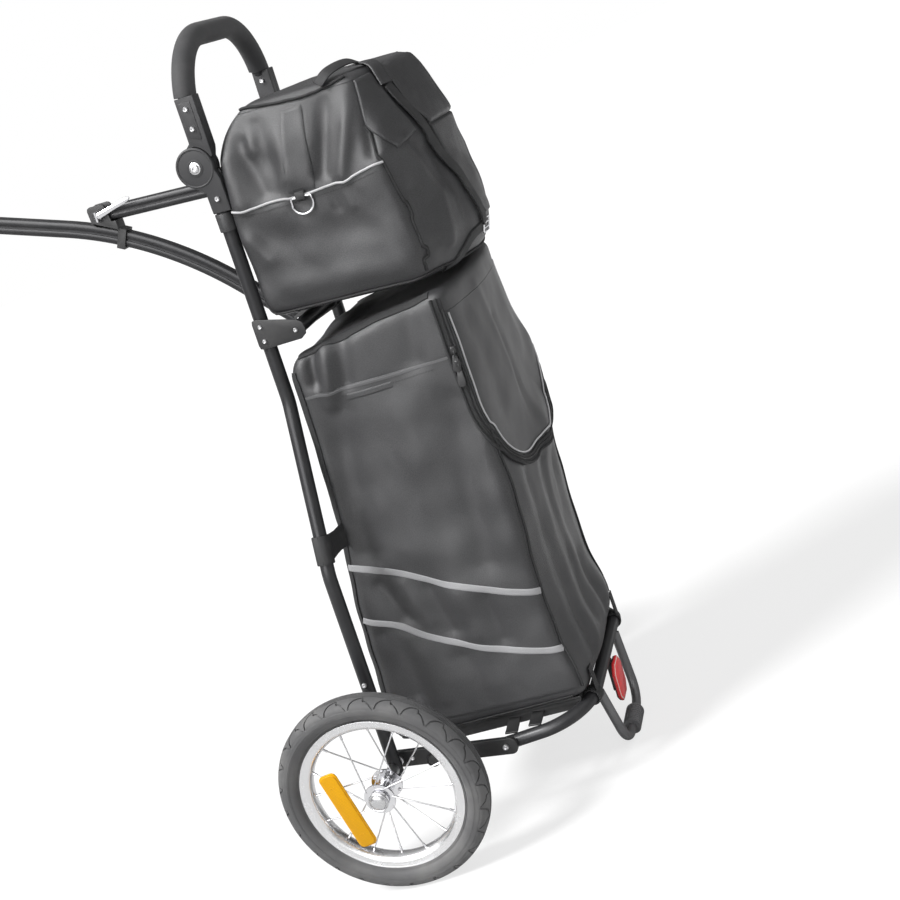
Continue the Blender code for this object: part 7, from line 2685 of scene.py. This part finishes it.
    def pockets(self) -> None:
        """The side pockets: a panel with a turned hem that stands off a little."""
        front = [
            (-0.175, -0.034, 0.6205), (-0.175, -0.024, 0.45), (-0.175, -0.012, 0.31), (-0.175, 0.002, 0.1),
            (-0.174, 0.002, 0.03)
        ]
        rear = [(-0.1743, -0.276, 0.6333), (-0.174, -0.283, 0.57), (-0.171, -0.292, 0.53), *self.seam_line()]
        panels = both(self.skin.patch, front, rear, thick=0.0018, count=64)
        build("pocket_panels", panels, BAG_CLOTH, "frame", sharp=60)
        hem = [
            (-0.176, -0.034, 0.6185), (-0.176, -0.0927, 0.62), (-0.177, -0.1798, 0.624),
            (-0.176, -0.2429, 0.6295), (-0.1743, -0.274, 0.632)
        ]
        build(
            "pocket_hems", both(self.skin.ribbon, hem, width=0.004, thick=0.001, lift=0.0018), PALE_CLOTH,
            "frame", sharp=60
        )
        low = [(x, y, z - 0.011) for x, y, z in hem[1:4]]
        lines = [self.skin.places(line, 0.002) for line in (low, mirrored(low))]
        stitches("pocket_stitches", lines, 0.003, 0.005, THREAD, "frame")
        tab = [(-0.176, -0.1, 0.606), (-0.177, -0.14, 0.608), (-0.177, -0.175, 0.611)]
        build(
            "pocket_tabs", both(self.skin.ribbon, tab, width=0.01, thick=0.0007, lift=0.0018), BAG_CLOTH,
            "frame", sharp=60
        )

    def stripes(self) -> None:
        """Two curved pale stripes a side, from the front edge to the rear seam."""
        high = [
            (-0.1707, -0.008, 0.33), (-0.1755, -0.0427, 0.3204), (-0.1763, -0.0903, 0.3063),
            (-0.1777, -0.15, 0.2777)
        ]
        high += [
            (-0.1775, -0.2111, 0.2572), (-0.1751, -0.2561, 0.2421), (-0.1695, -0.2983, 0.2314),
            (-0.1645, -0.302, 0.2305)
        ]
        low = [
            (-0.174, -0.006, 0.237), (-0.1771, -0.0191, 0.2311), (-0.1761, -0.0611, 0.2156),
            (-0.1777, -0.1051, 0.1883)
        ]
        low += [
            (-0.1756, -0.1652, 0.1618), (-0.1734, -0.2269, 0.1423), (-0.173, -0.28, 0.131),
            (-0.167, -0.3112, 0.1267)
        ]
        for word, line in (("upper", high), ("lower", low)):
            shape = both(self.skin.ribbon, line, width=0.0112, thick=0.0007, lift=0.0019)
            build(f"{word}_stripes", shape, PALE_TRIM, "frame", sharp=60)

    def seams(self) -> None:
        """The dark seams at the rear corners, the front edges' trims and the bands along the top and foot."""
        rear = self.seam_line()
        front = [
            (-0.17, -0.028, 0.66), (-0.172, -0.024, 0.56), (-0.173, -0.014, 0.415), (-0.173, 0.0, 0.263),
            (-0.173, 0.009, 0.12), (-0.172, 0.009, 0.02)
        ]
        shape = both(self.skin.ribbon, rear, width=0.0046, thick=0.001, lift=0.001)
        shape.add(both(self.skin.cord, rear, radius=0.0017, sunk=-0.7))
        shape.add(both(self.skin.ribbon, front, width=0.013, thick=0.0014, lift=0.0008))
        top = [(-0.165, -0.036, 0.688), (-0.168, -0.1, 0.702), (-0.168, -0.2, 0.721), (-0.167, -0.266, 0.734)]
        shape.add(both(self.skin.ribbon, top, width=0.016, thick=0.0014, lift=0.0004))
        foot = [(-0.174, 0.002, 0.008), (-0.175, -0.1, 0.017), (-0.175, -0.2, 0.027), (-0.174, -0.305, 0.038)]
        shape.add(both(self.skin.ribbon, foot, width=0.008, thick=0.0012, lift=0.001))
        build("lower_bag_trims", shape, DARK_CLOTH, "frame", sharp=60)
        beside = [(x - 0.004, y + 0.0045, z) for x, y, z in rear]
        lines = [self.skin.places(line, 0.0022) for line in (beside, mirrored(beside))]
        stitches("lower_bag_stitches", lines, 0.0026, 0.004, THREAD, "frame")

    def zip(self) -> None:
        """The flap's pale piping, and round it the zip's tape, teeth and two sliders a side."""
        inner = self.on_rear(self.flap_outline(0.0032, self.flap_foot))
        build("flap_piping", self.skin.cord(inner, 0.0015, 0.0), PALE_CORD, "flap", bends=True)
        outer = self.flap_outline(-0.0092, self.flap_foot)
        outer[0], outer[-1] = (outer[0][0], 0.722), (outer[-1][0], 0.722)
        line = self.on_rear(outer)
        build("zip_tape", self.skin.ribbon(line, 0.015, 0.0022), DARK_CLOTH, "frame", sharp=60)
        cover = self.flap_outline(-0.0175, self.flap_foot)
        cover[0], cover[-1] = (cover[0][0], 0.722), (cover[-1][0], 0.722)
        build("zip_cover", self.skin.cord(self.on_rear(cover), 0.0026, 0.1), DARK_CLOTH, "frame")
        lip = self.flap_outline(-0.0042, self.flap_foot)
        build("zip_lip", self.skin.cord(self.on_rear(lip), 0.002, 0.2), DARK_CLOTH, "frame")
        tooth = lathe([(-0.0007, 0.0011), (0.0007, 0.0011)], 6)
        line_object("zip_teeth", [self.skin.places(line, 0.0026)], tooth, 0.002, BLACK_STEEL, "frame")
        for side, sign in SIDES.items():
            pulls, bodies = Shape(), Shape()
            for z, drop in ((0.642, 0.034), (0.62, 0.036)):
                spot = self.unrolled(sign * (self.flap_half + 0.0092), z)
                seat = self.skin.touch(Vector(spot), 0.0028)
                foot = self.skin.touch(seat.place - UPWARD * drop + AHEAD * 0.002, 0.0058)
                bodies.add(pad(seat, 0.0115, 0.0085, 0.005))
                link = [
                    seat.place + seat.out * 0.0034, seat.place + seat.out * 0.0052 - UPWARD * 0.005,
                    seat.place.lerp(foot.place, 0.42)
                ]
                bodies.add(pipe(curved(link, 5), AHEAD, 0.0011, sides=8))
                pulls.add(tag(seat.place.lerp(foot.place, 0.25), foot.place, foot.out, 0.012, 0.0032))
            build(f"{side}_zip_sliders", bodies, BLACK_STEEL, "frame", bevel=Bevel(0.0004, 2))
            build(f"{side}_zip_pulls", pulls, BLACK_PLASTIC, "frame", bevel=Bevel(0.0006, 3))

    def straps(self) -> None:
        """The webbing round the rails and round the platform tube."""
        rail = FrameSizes()
        for side, sign in SIDES.items():
            slant = (rail.rail_top_x - rail.rail_foot_x) / (rail.crank_top_z - rail.crank_foot_z)
            x = rail.rail_foot_x + slant * (self.strap_z - rail.crank_foot_z)
            middle = Vector((sign * x, 0.0, self.strap_z))
            along = Vector((sign * slant, 0.0, 1.0)).normalized()
            turn = Matrix((along, AHEAD, along.cross(AHEAD))).transposed().to_4x4()
            band = cuff(0.0225, 0.021, 0.0118, 0.014, 0.0144)
            band = band.moved(Matrix.Translation(middle) @ turn)
            rows = []
            for share in (0.0, 0.25, 0.5, 0.75, 1.0):
                x = sign * (abs(middle.x) - 0.01 + (0.1735 - abs(middle.x) + 0.008) * share)
                y = -0.009 - 0.011 * share
                half = 0.0205 - 0.003 * math.sin(math.pi * share)
                edges = ((0.0011, half), (0.0011, -half), (-0.0011, -half), (-0.0011, half))
                rows.append([Vector((x, y + out, self.strap_z + high)) for out, high in edges])
            tail = loft(rows)
            build(f"{side}_rail_webbing", band.add(tail), WEBBING, "frame", [f"{side}_lower_strap"], sharp=50)
            self.base_strap(side, sign)

    def base_strap(self, side: str, sign: float) -> None:
        """The webbing round one rear bend of the platform tube, with its tail on the bag's rear."""
        tube, turned = PlatformSizes(), math.radians(11)
        back = Vector((0.0, -1.0, tube.slope)).normalized()
        x = sign * (tube.half_width - tube.bend * (1 - math.sin(turned)))
        place = Vector((x, *tube.rear)) - back * (tube.bend * (1 - math.cos(turned)))
        way = (Vector((sign * math.cos(turned), 0.0, 0.0)) - back * math.sin(turned)).normalized()
        other = way.cross(UPWARD).normalized()
        turn = Matrix((way, other, way.cross(other))).transposed().to_4x4()
        band = cuff(0.01, 0.009, 0.0118, 0.0144, 0.0148)
        band = band.moved(Matrix.Translation(place) @ turn)
        top = self.skin.touch(Vector((place.x, -0.335, place.z + 0.052)), 0.0012)
        foot = place + Vector((0.0, -0.01, 0.009))
        line = curved([foot, foot.lerp(top.place, 0.5), top.place], 6)
        tail = sweep(line, box_outline(0.019, 0.002, 0.0006, 2), ACROSS)
        build(f"{side}_base_webbing", band.add(tail), WEBBING, "frame", [f"{side}_base_strap"], sharp=50)


def pad(seat: Touch, length: float, width: float, height: float) -> Shape:
    """A small block standing on a skin, long upwards."""
    up = (UPWARD - seat.out * UPWARD.dot(seat.out)).normalized()
    side = up.cross(seat.out)
    outline = box_outline(length, width, 0.3 * width)
    rows = []
    for high, share in ((-0.0006, 1.0), (0.7 * height, 1.0), (height, 0.7)):
        rows.append([seat.place + seat.out * high + up * u * share + side * v * share for u, v in outline])
    return loft(rows)


def tag(start: Vector, end: Vector, out: Vector, width: float, thick: float) -> Shape:
    """A flat pull, narrow at its start and round at its end."""
    way = (end - start).normalized()
    side = way.cross(out).normalized()
    length = (end - start).length
    half = [(0.0, 0.2), (0.12, 0.34), (0.45, 0.42), (0.75, 0.5), (0.92, 0.44), (1.0, 0.22)]
    outline = half + [(share, -wide) for share, wide in reversed(half)]
    rows = [
        [start + way * length * share + side * width * wide + out * high for share, wide in outline]
        for high in (-thick / 2, thick / 2)
    ]
    return loft(rows)


class UpperBag(Bag):
    """The upper bag with its lid, cover flaps, buckled strap, piping and D-rings."""

    name = "upper_bag"
    face_columns = 92
    side_columns = 58
    half_width = 0.172
    seam = 1.0505
    ring_y = -0.129
    folds = (
        Fold(((-0.172, -0.238, 1.04), (-0.172, -0.222, 0.985), (-0.172, -0.2, 0.93)), 0.011, 0.0085),
        Fold(((-0.172, -0.2, 1.035), (-0.172, -0.182, 0.975), (-0.172, -0.17, 0.94)), 0.012, -0.0085),
        Fold(((-0.172, -0.262, 1.02), (-0.172, -0.252, 0.95)), 0.01, -0.008),
        Fold(((-0.172, -0.13, 1.04), (-0.172, -0.115, 0.945)), 0.014, 0.003),
        Fold(((-0.172, -0.09, 1.03), (-0.172, -0.095, 0.93)), 0.016, -0.005),
        Fold(((-0.172, -0.06, 1.01), (-0.172, -0.075, 0.935)), 0.013, -0.007),
        Fold(((-0.172, -0.085, 1.05), (-0.172, -0.075, 1.0)), 0.012, 0.006),
        Fold(((-0.172, -0.03, 0.99), (-0.172, -0.035, 0.93)), 0.016, 0.007),
        Fold(((-0.172, -0.06, 0.86), (-0.172, -0.2, 0.85)), 0.026, -0.003),
        Fold(((-0.172, -0.06, 0.79), (-0.172, -0.24, 0.785)), 0.02, 0.0035),
        Fold(((-0.172, -0.03, 0.87), (-0.172, -0.05, 0.84)), 0.014, 0.005),
        Fold(((-0.172, -0.195, 0.912), (-0.172, -0.2, 0.885)), 0.009, 0.004),
        Fold(((-0.172, -0.175, 0.908), (-0.172, -0.178, 0.885)), 0.006, -0.003),
        Fold(((-0.168, -0.27, 0.93), (-0.168, -0.29, 0.8), (-0.16, -0.28, 0.757)), 0.01, -0.006),
        Fold(((-0.14, -0.285, 0.94), (-0.11, -0.315, 0.86), (-0.12, -0.315, 0.79)), 0.014, 0.008),
        Fold(((-0.15, -0.29, 0.88), (-0.15, -0.3, 0.8)), 0.012, -0.005),
        Fold(((-0.09, -0.31, 0.93), (-0.07, -0.325, 0.85), (-0.07, -0.33, 0.8)), 0.014, -0.005),
        Fold(((-0.15, -0.3, 0.775), (-0.13, -0.31, 0.76)), 0.007, 0.005),
        Fold(((-0.14, -0.305, 0.795), (-0.12, -0.315, 0.778)), 0.006, -0.0045),
        Fold(((0.02, -0.33, 0.85), (0.02, -0.335, 0.79)), 0.03, 0.004, False),
    )

    def ring(self, share: float) -> np.ndarray:
        """The ring at a share of the bag's height."""
        z = 0.746 + 0.317 * share
        front = float(
            np.interp(
                z, (0.746, 0.95, 1.0, 1.024, 1.0425, 1.063), (-0.0125, -0.0125, -0.02, -0.03, -0.044, -0.075)
            )
        )
        back = float(np.interp(z, (0.746, 0.8, 0.97, 1.063), (-0.266, -0.286, -0.263, -0.248)))
        swell = float(np.interp(z, (0.746, 0.8, 0.97, 1.063), (0.054, 0.06, 0.06, 0.036)))
        half = float(
            np.interp(
                z, (0.746, 0.785, 0.85, 0.89, 0.918, 0.99, 1.05),
                (0.164, 0.17, 0.1722, 0.175, 0.1797, 0.169, 0.156)
            )
        )
        return self.loop(front, back, swell, half, lambda y: np.full(y.shape, z))

    def caps(self) -> tuple[int, float, float]:
        """How many rows each cap has, and how far their middles stand out."""
        return 28, 0.0, 0.002

    def surface(self) -> Grid:
        """The cloth's outer surface with its folds."""
        grid = self.grid(84).smoothed(3.2, 3.2)
        heights = pressed(grid.places, self.folds) + lumps(
            grid.places, 3, ((0.14, 0.0024), (0.06, 0.001), (0.026, 0.0002))
        )
        z = grid.places[..., 2]
        walls = np.clip((z - 0.745) / 0.03, 0.1, 1.0) * np.clip((1.068 - z) / 0.03, 0.25, 1.0)
        ring_zone = np.exp(-(((grid.places[..., 1] - self.ring_y) / 0.022) ** 2) - ((z - 0.91) / 0.022) ** 2)
        return grid.moved(heights * walls * (1 - 0.9 * ring_zone) - 0.0055 * ring_zone)

    def build(self) -> None:
        """Makes the cloth, its lid and every trim."""
        grid = self.surface()
        self.skin = Skin(grid.shape())
        cloth = self.hollow(grid, self.cloth)
        bag = sliced(cloth, self.seam, False, "upper_bag_shell")
        lid = sliced(cloth, self.seam + 0.0006, True, "upper_lid_cloth")
        bpy.data.objects.remove(cloth)
        self.settle(bag, BAG_CLOTH, "frame", ["upper_bag"])
        self.settle(lid, BAG_CLOTH, "lid", ["upper_lid"], True)
        self.piping()
        self.cover()
        self.strap()
        self.tabs()

    def piping(self) -> None:
        """The pale piping round the sides, the darker cloth's seams and the stitched lines."""
        line = [
            (-0.1735, -0.02, 0.9205), (-0.1735, -0.0459, 0.918), (-0.1713, -0.1097, 0.918),
            (-0.1712, -0.159, 0.9195)
        ]
        line += [(-0.1728, -0.2095, 0.9239), (-0.1725, -0.2509, 0.9308), (-0.1702, -0.2601, 0.9324)]
        build("upper_piping", both(self.skin.cord, line, radius=0.0019, sunk=0.0), PALE_CORD, "frame")
        rear = [
            (-0.1674, -0.2541, 0.9876), (-0.1702, -0.2601, 0.9324), (-0.169, -0.284, 0.86),
            (-0.169, -0.293, 0.797), (-0.166, -0.286, 0.757)
        ]
        shape = both(self.skin.cord, rear, radius=0.0019, sunk=0.2)
        shape.add(both(self.skin.ribbon, rear, width=0.0065, thick=0.0008))
        foot = [
            (-0.166, -0.024, 0.75), (-0.168, -0.12, 0.749), (-0.168, -0.24, 0.749), (-0.15, -0.29, 0.75),
            (-0.06, -0.32, 0.75), (0.0, -0.325, 0.75)
        ]
        shape.add(both(self.skin.cord, foot, radius=0.0018, sunk=0.2))
        build("upper_bag_seams", shape, DARK_CLOTH, "frame", sharp=60)
        low = [(x, y, z - 0.0085) for x, y, z in line[:-1]]
        dart = [(-0.1698, -0.1665, 1.0321), (-0.1682, -0.1592, 0.9764), (-0.1698, -0.154, 0.9228)]
        lines = [self.skin.places(points, 0.0008) for points in (low, mirrored(low), dart, mirrored(dart))]
        stitches("upper_bag_stitches", lines, 0.003, 0.0048, THREAD, "frame")
        first = [(-0.1761, -0.1355, 1.043), (-0.1741, -0.1248, 0.9866), (-0.1724, -0.1135, 0.9248)]
        last = [(-0.1701, -0.168, 1.043), (-0.1682, -0.1602, 0.9764), (-0.1698, -0.1545, 0.9228)]
        build(
            "side_strips", both(self.skin.patch, first, last, thick=0.0014, count=12), BAG_CLOTH, "frame",
            sharp=60
        )

    def cover(self) -> None:
        """The lid's three cover flaps that hang down over the bag's rear, with its edging."""
        near = (
            [
                (-0.156, -0.256, 1.054), (-0.1674, -0.2541, 0.9876), (-0.1641, -0.2678, 0.9659),
                (-0.1483, -0.282, 0.9418)
            ],
            [(-0.118, -0.27, 1.056), (-0.1156, -0.2885, 0.9997), (-0.1047, -0.3015, 0.956)],
        )
        middle = (
            [
                (-0.082, -0.276, 1.058), (-0.0919, -0.29, 1.0196), (-0.0864, -0.3013, 0.9905),
                (-0.0656, -0.3144, 0.9583)
            ],
            [
                (0.082, -0.276, 1.058), (0.0919, -0.29, 1.0196), (0.0864, -0.3013, 0.9905),
                (0.0656, -0.3144, 0.9583)
            ],
        )
        shape = both(self.skin.patch, *near, thick=0.0032, lift=0.0012)
        shape.add(self.skin.patch(*middle, thick=0.0036, lift=0.0014, count=40))
        build("cover_flaps", shape, BAG_CLOTH, "lid", sharp=60)
        edging = [
            (-0.15, -0.07, 1.058), (-0.166, -0.12, 1.057), (-0.168, -0.172, 1.053), (-0.166, -0.206, 1.057),
            (-0.15, -0.24, 1.062)
        ]
        build(
            "lid_edging", both(self.skin.cord, edging, radius=0.0021, sunk=0.1), DARK_CLOTH, "lid", bends=True
        )
        handle = curved(
            [
                Vector((-0.16, -0.2, 1.06)), Vector((-0.146, -0.218, 1.0735)),
                Vector((-0.108, -0.238, 1.077)), Vector((-0.08, -0.25, 1.066))
            ],
            8
        )
        build(
            "carry_loop", sweep(handle, box_outline(0.018, 0.0024, 0.0007, 2), AHEAD), WEBBING, "lid",
            sharp=50
        )

    def strap(self) -> None:
        """The closing strap: over the lid, down the rear to its buckle, and its loose tail."""
        over = [(-0.0787, -0.23, 1.066), (-0.09, -0.26, 1.06), (-0.106, -0.276, 1.038)]
        build("lid_strap", self.skin.ribbon(over, 0.0175, 0.0024, 0.004), WEBBING, "lid", sharp=50)
        keeper = [(-0.09, -0.256, 1.064), (-0.103, -0.272, 1.048), (-0.107, -0.28, 1.03)]
        build(
            "strap_keeper", self.skin.ribbon(keeper, 0.027, 0.0018, 0.0066, False), BAG_CLOTH, "lid", sharp=60
        )
        down = [
            (-0.108, -0.284, 1.03), (-0.105, -0.292, 1.0061), (-0.0934, -0.3019, 0.9765),
            (-0.0823, -0.3099, 0.9456), (-0.0676, -0.3187, 0.9088)
        ]
        down += [(-0.0459, -0.3284, 0.8683), (-0.0367, -0.3353, 0.8286), (-0.02, -0.3377, 0.7906)]
        build("rear_strap", self.skin.ribbon(down, 0.0165, 0.0022, 0.0046), WEBBING, "frame", sharp=50)
        groove = [
            (-0.07, -0.312, 0.96), (-0.056, -0.3187, 0.9088), (-0.035, -0.3284, 0.8683),
            (-0.026, -0.3353, 0.8286), (-0.01, -0.3377, 0.7906)
        ]
        build("panel_seam", self.skin.cord(groove, 0.0016, 0.2), DARK_CLOTH, "frame")
        left = [
            (-0.064, -0.314, 0.956), (-0.05, -0.325, 0.905), (-0.029, -0.335, 0.86), (-0.015, -0.338, 0.82),
            (0.0, -0.338, 0.8)
        ]
        right = [
            (0.064, -0.314, 0.956), (0.07, -0.325, 0.905), (0.072, -0.335, 0.86), (0.062, -0.338, 0.82),
            (0.04, -0.338, 0.8)
        ]
        build("rear_panel", self.skin.patch(left, right, 0.003, 30), BAG_CLOTH, "frame", sharp=60)
        tail = [
            (-0.022, -0.338, 0.785), (-0.0552, -0.3297, 0.7803), (-0.0797, -0.3158, 0.7643),
            (-0.094, -0.3009, 0.7526), (-0.112, -0.288, 0.748)
        ]
        build("strap_tail", self.skin.ribbon(tail, 0.0165, 0.0022, 0.001), WEBBING, "frame", sharp=50)
        seat = self.skin.touch(Vector((-0.012, -0.348, 0.782)), 0.005)
        up = (UPWARD - seat.out * UPWARD.dot(seat.out)).normalized()
        side = up.cross(seat.out)
        outline = rounded_loop(
            [(0.0125, 0.011), (-0.0125, 0.011), (-0.0125, -0.011), (0.0125, -0.011)], 0.003
        )
        bars = sweep(
            [seat.place + side * u + up * v for u, v in outline], circle(0.0017, 10), seat.out, closed=True
        )
        for v in (0.0035, -0.0045):
            bars.add(
                pipe([seat.place + side * u + up * v for u in (-0.012, 0.012)], seat.out, 0.0014, sides=10)
            )
        build("ladder_buckle", bars, CHROME, "frame", sharp=50)

    def tabs(self) -> None:
        """The tabs round the rails, and the webbing tabs with their D-rings."""
        for side, sign in SIDES.items():
            centre = Vector((sign * FrameSizes().rail_top_x, 0.0, 0.9085))
            turn = Matrix.Rotation(math.pi / 2, 4, "Y")
            band = cuff(0.0135, 0.0125, 0.0117, 0.0138, 0.0141)
            band = band.moved(Matrix.Translation(centre) @ turn)
            tail = block(
                Vector((sign * 0.156 - 0.0011, -0.055, 0.896)), Vector((sign * 0.156 + 0.0011, -0.009, 0.921))
            )
            build(f"{side}_rail_tab", band.add(tail), BAG_CLOTH, "frame", sharp=50)
            up = [(sign * 0.173, self.ring_y, z) for z in (0.929, 0.918)]
            strip = self.skin.ribbon(up, 0.017, 0.0008, 0.0008, False)
            loop = [
                Vector((sign * x, 0.0, z))
                for x, z in (
                    (0.1735, 0.925), (0.1785, 0.9215), (0.1797, 0.9165), (0.179, 0.9125), (0.1765, 0.912),
                    (0.1735, 0.914)
                )
            ]
            shape = sweep(
                curved([point + AHEAD * self.ring_y for point in loop], 5),
                box_outline(0.015, 0.0016, 0.0005, 2), AHEAD
            )
            build(f"{side}_ring_webbing", strip.add(shape), WEBBING, "frame", sharp=50)
            self.ring_piece(side, sign)

    def ring_piece(self, side: str, sign: float) -> None:
        """One chrome D-ring hung from its straight bar."""
        bar = Vector((sign * 0.1768, self.ring_y, 0.916))
        arc = [
            (0.0165 * math.cos(t), -0.0095 + 0.0158 * math.sin(t))
            for t in (math.radians(a) for a in range(180, 361, 12))
        ]
        outline = [(-0.015, 0.0), (0.015, 0.0), (0.0163, -0.0015), *reversed(arc), (-0.0163, -0.0015)]
        loop = [bar + Vector((0.0, u, v)) for u, v in outline]
        build(
            f"{side}_ring", sweep(loop, circle(0.0018, 12), ACROSS, closed=True), CHROME, f"{side}_ring",
            [f"{side}_d_ring"], sharp=60
        )


def rounded_loop(corners: Sequence[Pair], radius: float, steps: int = 5) -> list[Pair]:
    """A closed outline of pairs with round corners."""
    line = [Vector((u, v, 0.0)) for u, v in corners]
    start = (line[-1] + line[0]) / 2
    path = rounded([start, *line, start], radius, steps)
    return [(point.x, point.y) for point in path[1:-1]]


def main() -> None:
    """Builds every sub-assembly and the stage."""
    Stage().set_up()
    for side in SIDES:
        Wheel(side).build()
    Frame().build()
    Platform().build()
    Handle().build()
    TowArm().build()
    LowerBag().build()
    UpperBag().build()
    fit_screws()


if __name__ == "__main__":
    main()
